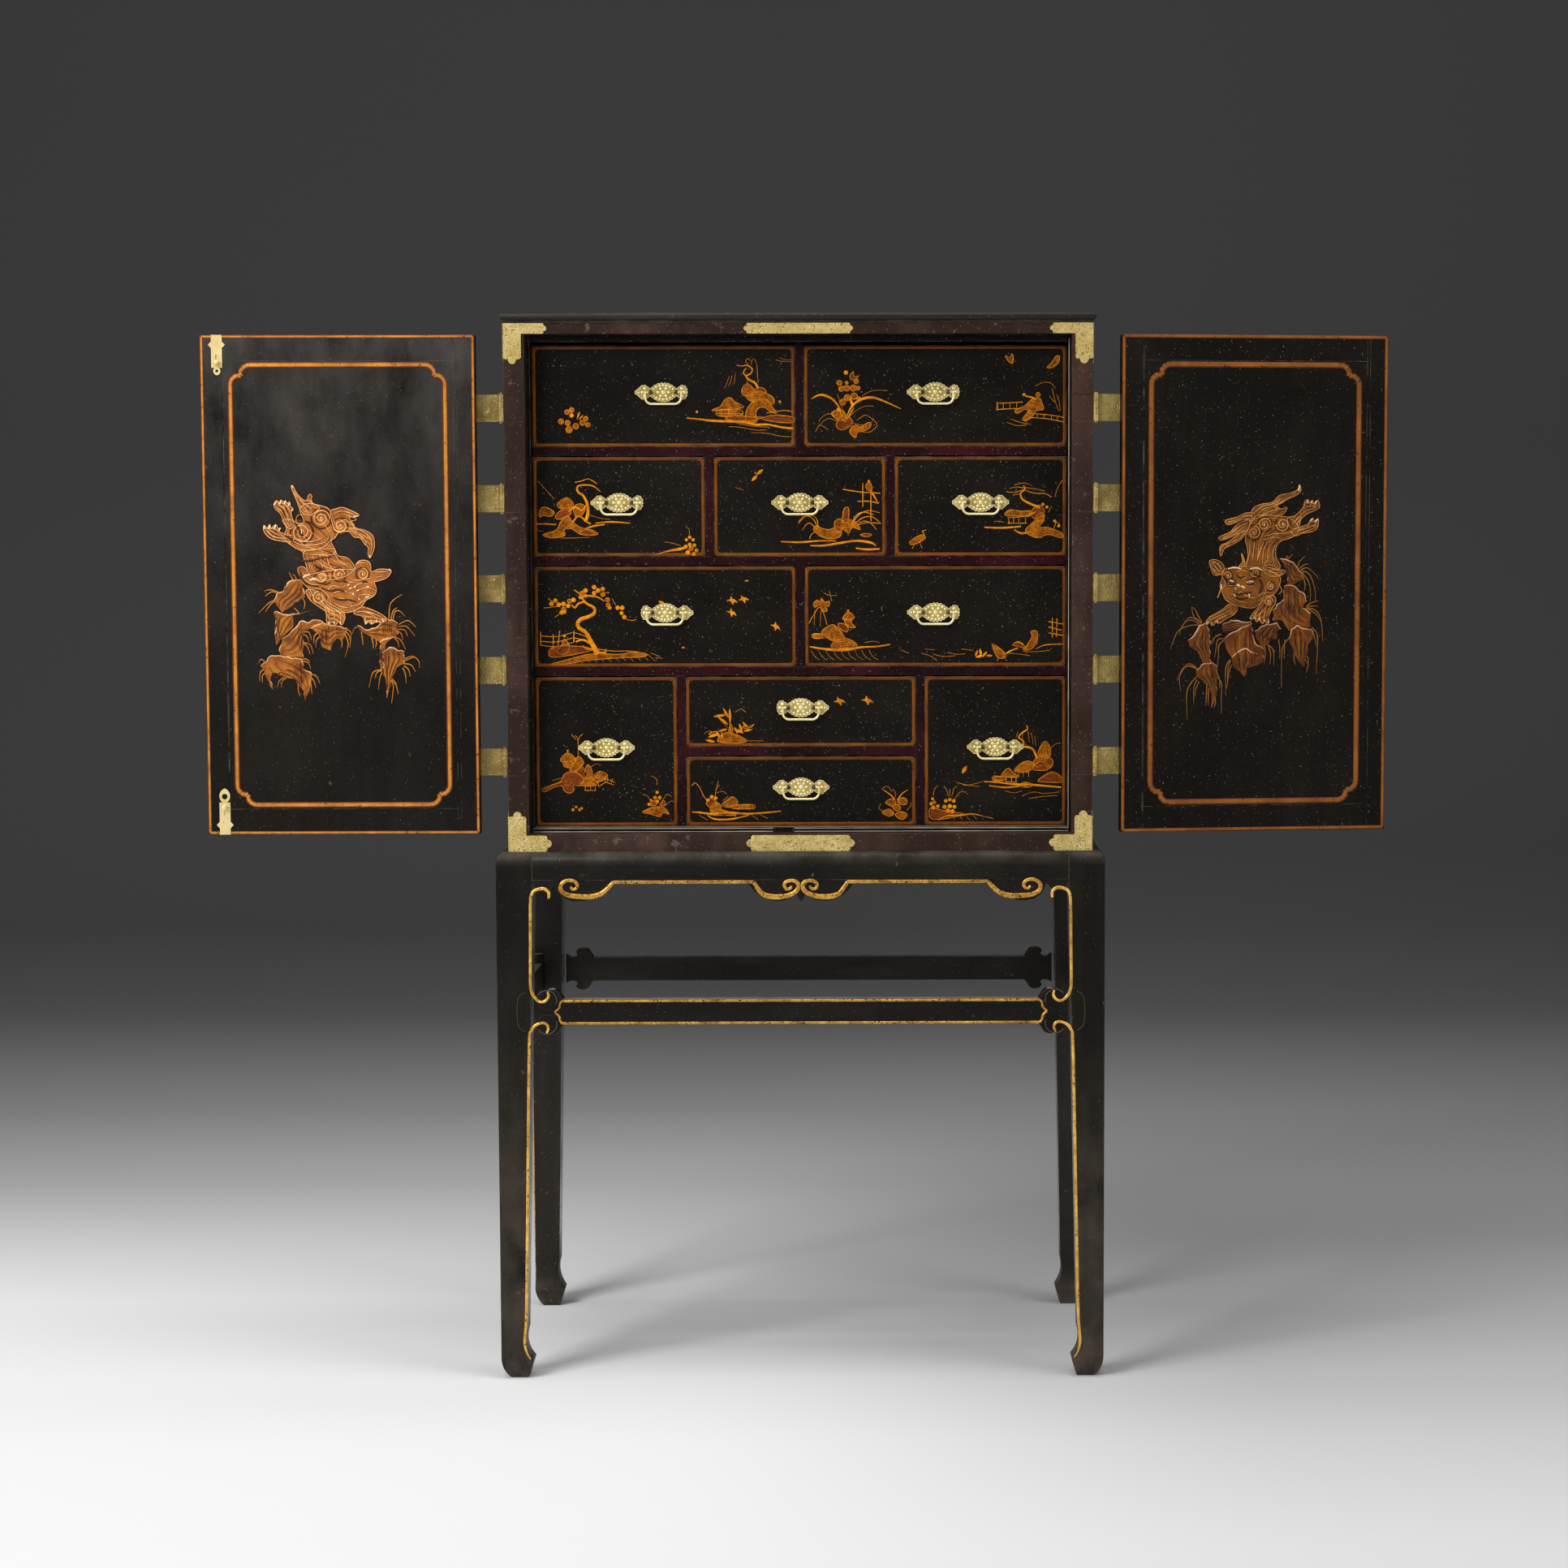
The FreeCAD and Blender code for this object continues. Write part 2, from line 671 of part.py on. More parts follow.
caseLeaf = place(tongue("CaseLeafPlate", "YZ_Plane", pinY, caseFront + dim("sideLeafReach"),
                        -leafHalf, leafHalf, leaf), -caseHalf - leaf)
caseLeafCut = box("CaseLeafCut", (-caseHalf - leaf - 1.0, -caseHalf + 1.0),
                  (pinY - 1.0, pinY + clearOfKnuckle),
                  about(zero, middleHalf + dim("notchGap")))
outerKnuckles = [
    rod("KnuckleLow", knuckle, leafHalf - middleHalf - dim("notchGap"), -pinX, pinY, -leafHalf),
    rod("KnuckleHigh", knuckle, leafHalf - middleHalf - dim("notchGap"), -pinX, pinY,
        middleHalf + dim("notchGap")),
]
caseLeafBody = cutAll("CaseLeafBody", caseLeaf, [caseLeafCut])
caseLeafWhole = combine("MultiFuse", "CaseLeafWhole", [caseLeafBody] + outerKnuckles)
caseHinge = cutAll("CaseHinge", caseLeafWhole, [hingeBore])
finial = (dim("finialRadius"), dim("finialHeight"), -pinX, pinY)
hingePin = combine("MultiFuse", "HingePin", [
    rod("PinShaft", dim("pinRadius"), leafHalf * 2, -pinX, pinY, -leafHalf),
    rod("PinTop", *finial, leafHalf),
    rod("PinFoot", *finial, -leafHalf - dim("finialHeight")),
])
caseHingeMaster = combine("Compound", "CaseHingeMaster", [caseHinge, hingePin])

doorLeafEdge = -pinX + clearOfKnuckle
doorLeafTip = -openingHalf + dim("doorGap") + dim("leafReach")
doorLeafPlate = place(tongue("DoorLeafPlate", "XZ_Plane", doorLeafEdge, doorLeafTip,
                             -leafHalf, leafHalf, leaf), zero, caseFront + leaf)
doorLeafWhole = combine("MultiFuse", "DoorLeafWhole", [
    doorLeafPlate,
    box("DoorLeafStrip", (-pinX, doorLeafEdge), (caseFront, caseFront + leaf),
        about(zero, middleHalf)),
    rod("KnuckleMiddle", knuckle, middleHalf * 2, -pinX, pinY, -middleHalf),
])
doorHingeMaster = cutAll("DoorHingeMaster", doorLeafWhole, [hingeBore])


def repeated(name, master, heights):
    """The same piece set at each of the given heights."""
    copies = []
    for i, height in enumerate(heights):
        copy = combine("Compound", f"{name}{i}", [master])
        copies.append(place(copy, zero, zero, height))
    return combine("Compound", name, copies)


caseHinges = repeated("CaseHinges", caseHingeMaster, hingeHeights)
caseHingesRight = mirrored("CaseHingesRight", caseHinges, Vector(1, 0, 0))
keep(combine("Compound", "CaseHingeLeaves", [caseHinges, caseHingesRight]), "case_hinge_leaves")
doorHinges = repeated("DoorHinges", doorHingeMaster, hingeHeights)


# ---------------------------------------------------------------- doors

def opened(obj, name, sign, alias, label):
    """The pieces of a shut door, swung open about its hinge pins."""
    moved = combine("Compound", name, [obj])
    turn = sizes[alias] * sign
    moved.Placement = Placement(Vector(0, 0, 0), Rotation(Vector(0, 0, sign), sizes[alias]))
    moved.setExpression("Placement.Rotation.Angle", f"Sizes.{alias} * 1deg")
    cosine = Dim(f"cos(Sizes.{alias} * 1deg)", math.cos(math.radians(turn)))
    sine = Dim(f"(sin(Sizes.{alias} * 1deg) * {sign})", math.sin(math.radians(turn)))
    x, y = pinX * sign, pinY
    moved.setExpression("Placement.Base.x", textOf(x - cosine * x + sine * y))
    moved.setExpression("Placement.Base.y", textOf(y - sine * x - cosine * y))
    return keep(moved, label)


def door(sign, word, channels):
    """A shut door: two stiles, two rails and a panel, all flush."""
    near, far = dim("doorMeet") / 2, openingHalf - dim("doorGap")
    stile, rail = dim("doorStile"), dim("doorRail")
    thick, tall = (doorOut, doorIn), (doorLow, doorHigh)
    between = side(sign, near + stile, far - stile)
    free = box(f"{word}StileFree", side(sign, near, near + stile), thick, tall)
    if channels:
        free = cutAll(f"{word}StileCut", free, channels)
    parts = [
        free,
        box(f"{word}StileHinge", side(sign, far - stile, far), thick, tall),
        box(f"{word}RailLow", between, thick, (doorLow, doorLow + rail)),
        box(f"{word}RailHigh", between, thick, (doorHigh - rail, doorHigh)),
        box(f"{word}Panel", between, thick, (doorLow + rail, doorHigh - rail)),
    ]
    return combine("Compound", f"{word}Door", parts)


def bolt(word, edge, direction, finialLength):
    """A flush bolt set in from one end of the door: its plate, its bar and its channel."""
    turn = direction

    def up(distance):
        return edge + distance * direction

    def span(near, far):
        return (up(near), up(far)) if direction > 0 else (up(far), up(near))

    half, length = dim("boltPlateWidth") / 2, dim("boltPlateLength")
    wing, tip = dim("boltWing"), length + finialLength
    right = [
        (half, edge),
        (half, up(length * 0.2)),
        (wing, up(length * 0.3)),
        (half, up(length * 0.4)),
        (half, up(length)),
        (half * 0.4, up(length), finialLength * (0.58 * turn)),
    ]
    outline = right + [(zero, up(tip), finialLength * (0.58 * turn))] + backwards(right)
    outline = [(boltX + p[0],) + p[1:] for p in outline]
    neck, knobAt = dim("boltNeck"), dim("boltKnobAt")
    slot = box(f"Bolt{word}Slot", about(boltX, neck + dim("boltPlay")), (doorIn - 1.0, doorIn + 5.0),
               span(knobAt - dim("boltTravel") - neck - dim("boltPlay"),
                    knobAt + neck + dim("boltPlay")))
    hole = rod(f"Bolt{word}Hole", finialLength * 0.2, 5.0, boltX, doorIn - 1.0,
               up(length + finialLength * 0.42), "y")
    plate = outlined(f"Bolt{word}Outline", "XZ_Plane", outline, dim("boltPlateThick"))
    place(plate, zero, doorIn + dim("boltPlateThick"))
    plate = cutAll(f"Bolt{word}Plate", plate, [slot, hole])
    barWidth = about(boltX, dim("boltWidth") / 2)
    low = dim("boltPlay")
    bar = box(f"Bolt{word}Bar", barWidth, boltY, span(low, low + dim("boltLength")))
    out = doorIn + dim("boltPlateThick") + dim("boltPlay") + dim("boltKnob")
    stem = rod(f"Bolt{word}Stem", neck, out - boltY[1], boltX, boltY[1], up(knobAt), "y")
    knob = doc.addObject("Part::Sphere", f"Bolt{word}Knob")
    knob.setExpression("Radius", textOf(dim("boltKnob")))
    place(knob, boltX, out, up(knobAt))
    moving = combine("MultiFuse", f"Bolt{word}", [bar, stem, knob])
    channel = box(f"Bolt{word}Channel", about(boltX, dim("boltWidth") / 2 + dim("boltPlay")),
                  (doorIn - dim("boltDepth"), doorIn + 1.0),
                  span(-dim("boltPlay"), dim("boltLength") + low * 2))
    return plate, moving, channel


plateLow, boltLow, channelLow = bolt("Low", doorLow, 1, dim("boltFinialLow"))
plateHigh, boltHigh, channelHigh = bolt("High", doorHigh, -1, dim("boltFinialHigh"))
leftDoor = door(-1, "Left", [channelLow, channelHigh])
rightDoor = door(1, "Right", [])
rightHinges = mirrored("DoorHingesRight", doorHinges, Vector(1, 0, 0))
plates = combine("Compound", "BoltPlates", [plateLow, plateHigh])
opened(leftDoor, "LeftDoorOpen", -1, "leftOpen", "door_left_panel")
opened(doorHinges, "LeftHingesOpen", -1, "leftOpen", "door_left_hinge_leaves")
opened(plates, "BoltPlatesOpen", -1, "leftOpen", "bolt_plates")
opened(boltLow, "BoltLowOpen", -1, "leftOpen", "bolt_bottom")
opened(boltHigh, "BoltHighOpen", -1, "leftOpen", "bolt_top")
opened(rightDoor, "RightDoorOpen", 1, "rightOpen", "door_right_panel")
opened(rightHinges, "RightHingesOpen", 1, "rightOpen", "door_right_hinge_leaves")


# ---------------------------------------------------------------- handles

# Modelled about the pivot of the bail, with the drawer face behind it.
postHalf = dim("postSpan") / 2
face = dim("postReach")
high = dim("handleHigh")
plateBlank = place(doubleEnded("HandlePlate", dim("handleHalf"), -high, high, dim("handlePlate")),
                   zero, face)
through = dim("drawerFront")
handleParts, pinHoles = [plateBlank], []
for sign in (-1, 1):
    tag = "Left" if sign < 0 else "Right"
    x = postHalf * sign
    ball = doc.addObject("Part::Sphere", f"Post{tag}Head")
    ball.setExpression("Radius", textOf(dim("postHead")))
    handleParts.append(place(ball, x))
    nut = (dim("postHead"), dim("postNut"), x, face + through, zero, "y")
    handleParts.append(rod(f"Post{tag}Shank", dim("postShank"), face + through, x, zero, zero, "y"))
    handleParts.append(rod(f"Post{tag}Nut", *nut))
boreAcross = rod("BailBore", dim("bailPin") + dim("bailPinGap"), dim("postSpan") * 2,
                 -dim("postSpan"), zero, zero, "x")
handleMaster = cutAll("HandleMaster", combine("MultiFuse", "HandleWhole", handleParts),
                      [boreAcross])

wire, corner = dim("bailWire"), dim("bailCorner")
bailHalf, drop = dim("bailHalf"), dim("bailDrop")
pinStart = postHalf - dim("postHead") * 0.8
bailParts = [rod("BailBottom", wire, (bailHalf - corner) * 2, corner - bailHalf, zero, -drop, "x")]
bendTurn = Rotation(Vector(1, 0, 0), -90)
for sign, turn in ((-1, Rotation(Vector(0, 1, 0), 90) * bendTurn), (1, bendTurn)):
    tag = "Left" if sign < 0 else "Right"
    elbow = doc.addObject("Part::Sphere", f"Bail{tag}Elbow")
    elbow.setExpression("Radius", textOf(wire))
    bend = doc.addObject("Part::Torus", f"Bail{tag}Bend")
    bend.setExpression("Radius1", textOf(corner))
    bend.setExpression("Radius2", textOf(wire))
    bend.Angle3 = 90
    pinFrom = pinStart if sign > 0 else -bailHalf
    bailParts += [
        place(elbow, bailHalf * sign),
        rod(f"Bail{tag}Pin", dim("bailPin"), bailHalf - pinStart, pinFrom, zero, zero, "x"),
        rod(f"Bail{tag}Side", wire, drop - corner, bailHalf * sign, zero, corner - drop),
        place(bend, (bailHalf - corner) * sign, zero, corner - drop, turn),
    ]
bailMaster = combine("MultiFuse", "BailMaster", bailParts)
postHoles = [
    rod(f"PostHole{i}", dim("postShank") + dim("bailPinGap"), dim("drawerFront") + 2.0,
        postHalf * sign, face - 1.0, zero, "y")
    for i, sign in enumerate((-1, 1))
]
postHoleMaster = combine("MultiFuse", "PostHoles", postHoles)


# ---------------------------------------------------------------- drawers

def drawer(number, across, low, high, topGap):
    """One drawer in its opening, with its handle plate and its drop handle."""
    name = f"Drawer{number:02d}"
    left, right = across[0] + dim("drawerGap"), across[1] - dim("drawerGap")
    bottom, top = low + dim("drawerRise"), high - topGap
    front = (drawerPlane, drawerPlane + dim("drawerFront"))
    rear = panelFront - dim("drawerRearGap")
    wall = dim("drawerSide")
    between = (left + wall, right - wall)
    middle = (left + right) / 2
    height = (bottom + top) / 2 + dim("handleAbove")
    pivot = (middle, drawerPlane - face, height)
    holes = place(combine("Compound", name + "Holes", [postHoleMaster]), *pivot)
    board = box(name + "Face", (left, right), front, (bottom, top))
    parts = [
        cutAll(name + "Front", board, [holes]),
        box(name + "SideLeft", (left, left + wall), (front[1], rear), (bottom, top)),
        box(name + "SideRight", (right - wall, right), (front[1], rear), (bottom, top)),
        box(name + "Back", between, (rear - wall, rear), (bottom, top)),
        box(name + "Bottom", between, (front[1], rear - wall),
            (bottom, bottom + dim("drawerBottom"))),
    ]
    label = f"drawer_{number:02d}"
    keep(combine("Compound", name, parts), label)
    for master, ending in ((handleMaster, "_handle_plate"), (bailMaster, "_bail")):
        placed = combine("Compound", name + ending.title().replace("_", ""), [master])
        keep(place(placed, *pivot), label + ending)


leftHalf, rightHalf = (-innerHalf, -halfMuntin), (halfMuntin, innerHalf)
leftEnd = (-innerHalf, -innerHalf + dim("endDrawerWidth"))
rightEnd = (innerHalf - dim("endDrawerWidth"), innerHalf)
usual = dim("drawerTopGap")
openings = [
    (leftHalf, rowOneLow, innerTop, dim("topRowGap")),
    (rightHalf, rowOneLow, innerTop, dim("topRowGap")),
    (leftHalf[:1] + (-innerHalf + third,), rowTwoLow, rowTwoTop, usual),
    (about(zero, third / 2), rowTwoLow, rowTwoTop, usual),
    ((innerHalf - third, innerHalf), rowTwoLow, rowTwoTop, usual),
    (leftHalf, rowThreeLow, rowThreeTop, usual),
    (rightHalf, rowThreeLow, rowThreeTop, usual),
    (leftEnd, innerLow, rowFourTop, usual),
    (betweenMuntins, smallRailTop, rowFourTop, usual),
    (betweenMuntins, innerLow, smallRailLow, usual),
    (rightEnd, innerLow, rowFourTop, usual),
]
for number, opening in enumerate(openings, 1):
    drawer(number, *opening)


# ---------------------------------------------------------------- check and write

doc.recompute()
faulty = [o.Name for o in doc.Objects if "Invalid" in o.State or "Error" in o.State]
if faulty:
    raise RuntimeError("objects in error: " + ", ".join(faulty))
os.makedirs("parts", exist_ok=True)
for part in subParts:
    if part.Shape.isNull() or not part.Shape.isValid():
        raise RuntimeError("bad shape: " + part.Label)
    part.Shape.exportStep(f"parts/{part.Label}.step")
print(len(subParts), "sub-parts written")
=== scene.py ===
import json
import math
import random

import bmesh
import bpy
from mathutils import Matrix, Vector


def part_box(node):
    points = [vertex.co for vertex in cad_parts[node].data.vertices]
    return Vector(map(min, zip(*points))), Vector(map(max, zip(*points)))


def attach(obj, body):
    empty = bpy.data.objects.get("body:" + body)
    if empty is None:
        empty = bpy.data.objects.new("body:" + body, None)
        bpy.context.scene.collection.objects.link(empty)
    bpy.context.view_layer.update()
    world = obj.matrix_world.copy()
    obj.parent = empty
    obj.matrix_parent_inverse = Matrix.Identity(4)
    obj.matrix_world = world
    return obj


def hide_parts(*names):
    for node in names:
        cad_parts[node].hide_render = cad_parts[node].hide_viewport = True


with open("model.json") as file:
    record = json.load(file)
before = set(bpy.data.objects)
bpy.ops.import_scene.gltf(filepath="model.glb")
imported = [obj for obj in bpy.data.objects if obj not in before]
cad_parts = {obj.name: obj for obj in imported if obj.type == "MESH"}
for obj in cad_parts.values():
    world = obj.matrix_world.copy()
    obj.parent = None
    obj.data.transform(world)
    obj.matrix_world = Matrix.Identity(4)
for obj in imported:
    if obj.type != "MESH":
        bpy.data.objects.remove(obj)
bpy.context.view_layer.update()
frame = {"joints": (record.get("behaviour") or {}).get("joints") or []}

# Lacquered cabinet on a stand: finishes, gilding, drawn scenes and brasswork.
# Metres in the scene; outlines and drawings are listed in millimetres.

mm = 0.001
scene = bpy.context.scene
scene.view_settings.view_transform = "Standard"
joints = {joint["name"]: joint for joint in frame["joints"]}


def addNode(tree, kind, inputs=None, **props):
    node = tree.nodes.new("ShaderNode" + kind)
    for prop, value in props.items():
        setattr(node, prop, value)
    for socket, value in (inputs or {}).items():
        if isinstance(value, bpy.types.NodeSocket):
            tree.links.new(value, node.inputs[socket])
        else:
            node.inputs[socket].default_value = value
    return node


def rgb(color):
    return (*color, 1.0)


def newGroup(name, inputs):
    # An effect group with named number or vector inputs and one mask
    tree = bpy.data.node_groups.new(name, "ShaderNodeTree")
    for title, value in inputs.items():
        kind = "NodeSocketVector" if isinstance(value, tuple) else "NodeSocketFloat"
        tree.interface.new_socket(title, in_out="INPUT", socket_type=kind).default_value = value
    tree.interface.new_socket("Mask", in_out="OUTPUT", socket_type="NodeSocketFloat")
    return tree, tree.nodes.new("NodeGroupInput").outputs, tree.nodes.new("NodeGroupOutput").inputs["Mask"]


def mapped(tree, value, low, high):
    return addNode(tree, "MapRange", {"Value": value, "From Min": low, "From Max": high}).outputs[0]


def times(tree, first, second):
    return addNode(tree, "Math", {0: first, 1: second}, operation="MULTIPLY").outputs[0]


def placeOn(tree):
    # X, Y and Z on the piece
    return addNode(tree, "SeparateXYZ", {0: addNode(tree, "TexCoord").outputs["Object"]}).outputs


def groupMask(tree, group, inputs=None):
    return addNode(tree, "Group", inputs, node_tree=group).outputs["Mask"]


def makePatches():
    # 0 to 1 across a band of a noise laid out in object coordinates
    tree, given, result = newGroup("Patches", {"Scale": 10.0, "Low": 0.35, "High": 0.65, "Stretch": (1, 1, 1),
                                               "Detail": 4.0})
    coords = addNode(tree, "TexCoord").outputs["Object"]
    mapping = addNode(tree, "Mapping", {"Vector": coords, "Scale": given["Stretch"]}).outputs[0]
    value = addNode(tree, "TexNoise", {"Vector": mapping, "Scale": given["Scale"], "Detail": given["Detail"],
                                       "Roughness": 0.6}).outputs[0]
    tree.links.new(mapped(tree, value, given["Low"], given["High"]), result)
    return tree


patches = makePatches()


def noiseMask(tree, scale, low, high, stretch=(1, 1, 1), detail=4.0):
    return groupMask(tree, patches, {"Scale": scale, "Low": low, "High": high, "Stretch": stretch,
                                     "Detail": detail})


def mixColor(tree, mask, first, second):
    node = addNode(tree, "Mix", data_type="RGBA")
    for socket, value in ((0, mask), (6, first), (7, second)):
        if isinstance(value, bpy.types.NodeSocket):
            tree.links.new(value, node.inputs[socket])
        else:
            node.inputs[socket].default_value = value if socket == 0 else rgb(value)
    return node.outputs[2]


def surface(name, color, rough, metallic=0.0, gloss=0.3):
    # A material with its shader; color may be filled in later by a node
    material = bpy.data.materials.new(name)
    material.use_nodes = True
    tree = material.node_tree
    shader = tree.nodes["Principled BSDF"]
    shader.inputs["Base Color"].default_value = rgb(color)
    shader.inputs["Roughness"].default_value = rough
    shader.inputs["Metallic"].default_value = metallic
    shader.inputs["Specular IOR Level"].default_value = gloss
    return material, tree, shader


def bump(tree, shader, height, strength, distance=0.0005):
    node = addNode(tree, "Bump", {"Height": height, "Strength": strength, "Distance": distance})
    tree.links.new(node.outputs[0], shader.inputs["Normal"])


def makeEdgeWear():
    # 1 along outside edges, broken up by noise
    tree, given, result = newGroup("Edge wear", {"Radius": 0.001})
    soft = addNode(tree, "Bevel", {"Radius": given["Radius"]}, samples=6)
    flat = addNode(tree, "NewGeometry")
    alike = addNode(tree, "VectorMath", {0: soft.outputs[0], 1: flat.outputs["Normal"]},
                    operation="DOT_PRODUCT").outputs["Value"]
    edge = mapped(tree, alike, 0.985, 0.86)
    tree.links.new(times(tree, edge, noiseMask(tree, scale=38.0, low=0.42, high=0.62, detail=5.0)), result)
    return tree


def makeHollows():
    # 0 in crevices and 1 on open faces
    tree, given, result = newGroup("Hollows", {"Reach": 0.002, "Low": 0.35, "High": 0.85})
    shade = addNode(tree, "AmbientOcclusion", {"Distance": given["Reach"]}, samples=8, only_local=True)
    tree.links.new(mapped(tree, shade.outputs["AO"], given["Low"], given["High"]), result)
    return tree


def makeHeightBand():
    # Clouds that grow from one height to another
    tree, given, result = newGroup("Height band", {"Low": 0.0, "High": 1.0})
    height = placeOn(tree)["Z"]
    lift = mapped(tree, height, given["Low"], given["High"])
    clouds = noiseMask(tree, scale=16.0, low=0.32, high=0.70, stretch=(0.9, 1, 0.5), detail=5.0)
    tree.links.new(times(tree, lift, clouds), result)
    return tree


def makeSheenFaces(way):
    # 1 on faces that look up, or on faces that look toward the middle of the part, where a paler tone is
    # painted as sheen
    tree, given, result = newGroup(way.capitalize() + " faces", {})
    split = addNode(tree, "SeparateXYZ", {0: addNode(tree, "NewGeometry").outputs["Normal"]})
    if way == "upward":
        mask = mapped(tree, split.outputs["Z"], 0.90, 0.98)
    else:
        place = placeOn(tree)
        mask = mapped(tree, times(tree, split.outputs["X"], place["X"]), -0.36, -0.39)
        mask = times(tree, mask, mapped(tree, place["Z"], 0.08, 0.13))  # none near the feet
    tree.links.new(times(tree, mask, noiseMask(tree, scale=30.0, low=0.10, high=0.55)), result)
    return tree


edgeWearGroup, hollowGroup, heightBand = makeEdgeWear(), makeHollows(), makeHeightBand()
sheenFaces = {way: makeSheenFaces(way) for way in ("upward", "inward")}


def hollows(tree, reach, low=0.35, high=0.85):
    return groupMask(tree, hollowGroup, {"Reach": reach * mm, "Low": low, "High": high})


finishes = {
    "lacquer": {"dark": (0.0052, 0.0038, 0.0025), "light": (0.0125, 0.0090, 0.0056), "rough": 0.40},
    "ebonised": {"dark": (0.0060, 0.0048, 0.0034), "light": (0.0215, 0.0172, 0.0120), "rough": 0.42},
    # rearWood: lighter tones, painted light on the rear legs where they stand in shade; the cornice takes them
    # too
    "rearWood": {"dark": (0.0190, 0.0155, 0.0120), "light": (0.0560, 0.0460, 0.0370), "rough": 0.42},
    # rearRail: lighter tones, painted light on the rear stretcher, which stands in the shade of the case
    "rearRail": {"dark": (0.0130, 0.0105, 0.0082), "light": (0.0420, 0.0340, 0.0260), "rough": 0.42},
    "frameRed": {"dark": (0.0260, 0.0135, 0.0095), "light": (0.1150, 0.0600, 0.0430), "rough": 0.42},
    "backWood": {"dark": (0.0300, 0.0190, 0.0125), "light": (0.1100, 0.0700, 0.0460), "rough": 0.50},
    "crimson": {"dark": (0.0100, 0.0016, 0.0026), "light": (0.0560, 0.0050, 0.0110), "rough": 0.38},
    # rim: pale joint lines, and painted highlights on the rims of the bosses
    "rim": {"dark": (0.055, 0.046, 0.036), "light": (0.13, 0.11, 0.085), "rough": 0.4},
    # The pale ledge lines: rubbing and painted highlight
    "rubbedLedgeHighlight": {"dark": (0.34, 0.29, 0.23), "light": (0.80, 0.71, 0.58), "rough": 0.4},
    "wear": (0.10, 0.07, 0.045),
    "edge": (0.16, 0.13, 0.10),
    "dust": (0.22, 0.20, 0.16),
    # upward and inward: painted sheen on faces that look up or toward the middle of the part
    "upward": (0.30, 0.265, 0.21),
    "inward": (0.075, 0.068, 0.060),
}
# Bands of a piece that turn to another tone: heights from and to, and the tone at the second height. top:
# rubbing and a painted sheen along the top of the stand; leg: lighter towards the bottom; foot: lighter towards
# the floor; the door band: lacquer bloom and a painted sheen on the left door.
wear = {
    "top": (0.779, 0.800, (0.088, 0.078, 0.060)),
    "leg": (0.520, 0.220, (0.070, 0.057, 0.041)),
    "foot": (0.050, 0.004, (0.115, 0.090, 0.070)),
    "doorBloomAndSheen": (1.02, 1.60, (0.060, 0.052, 0.046)),
}


def paintedWood(name, tones, streak, wearLow=0.70, gloss=0.11, edgeWear=0.9, bands=(), face=None, pale=None):
    # Dark painted wood with cloudy tone, streaks, rubbed patches and fine pale nicks.
    # bands: heights from and to, and the tone that comes in; face: depths between which the bands show
    material, tree, shader = surface(name, tones["dark"], tones["rough"], gloss=gloss)
    cloud = noiseMask(tree, scale=7.0, low=0.35, high=0.75)
    grain = noiseMask(tree, scale=22.0, low=0.40, high=0.72, stretch=streak)
    color = mixColor(tree, times(tree, cloud, grain), tones["dark"], tones["light"])
    rubbed = noiseMask(tree, scale=46.0, low=wearLow, high=wearLow + 0.06, detail=6.0)
    color = mixColor(tree, rubbed, color, finishes["wear"])
    for low, high, clouded in bands:
        lift = groupMask(tree, heightBand, {"Low": low, "High": high})
        if face:
            lift = times(tree, lift, mapped(tree, placeOn(tree)["Y"], *face))
        color = mixColor(tree, lift, color, clouded)
    # Painted sheen: faces that look up or inward are painted paler, and take a clear coat
    if pale:
        shine = groupMask(tree, sheenFaces[pale])
        color = mixColor(tree, shine, color, finishes[pale])
        tree.links.new(shine, shader.inputs["Coat Weight"])
        shader.inputs["Coat Roughness"].default_value = 0.22
        shader.inputs["Coat IOR"].default_value = 1.7
    if edgeWear:
        edges = groupMask(tree, edgeWearGroup, {"Radius": edgeWear * mm})
        color = mixColor(tree, edges, color, finishes["edge"])
    nicks = noiseMask(tree, scale=600.0, low=0.728, high=0.758, stretch=(1, 1, 0.6), detail=1.0)
    color = mixColor(tree, nicks, color, finishes["dust"])
    tree.links.new(color, shader.inputs["Base Color"])
    rough = addNode(tree, "MapRange", {"Value": cloud, "To Min": tones["rough"] - 0.06,
                                       "To Max": tones["rough"] + 0.12}).outputs[0]
    tree.links.new(rough, shader.inputs["Roughness"])
    bump(tree, shader, noiseMask(tree, scale=90.0, low=0.2, high=0.8, stretch=streak), 0.12)
    return material


def goldMaterial(name, bright, dull, groundAndShade, metallic, rough, wearLow=0.60, scale=60.0, deep=0.0, gloss=0.3):
    # Gold laid over a darker ground that shows where it is rubbed; where deep is set, that tone is also painted
    # as shade in the hollows
    material, tree, shader = surface(name, bright, rough, metallic, gloss)
    tone = mixColor(tree, noiseMask(tree, scale * 0.4, low=0.35, high=0.65), bright, dull)
    tone = mixColor(tree, noiseMask(tree, scale * 3.0, low=wearLow, high=wearLow + 0.08), tone, groundAndShade)
    # Painted shade: the ground tone fills the hollows
    if deep:
        tone = mixColor(tree, hollows(tree, deep), groundAndShade, tone)
    tree.links.new(tone, shader.inputs["Base Color"])
    bump(tree, shader, noiseMask(tree, scale * 6.0, low=0.2, high=0.8), 0.2)
    return material


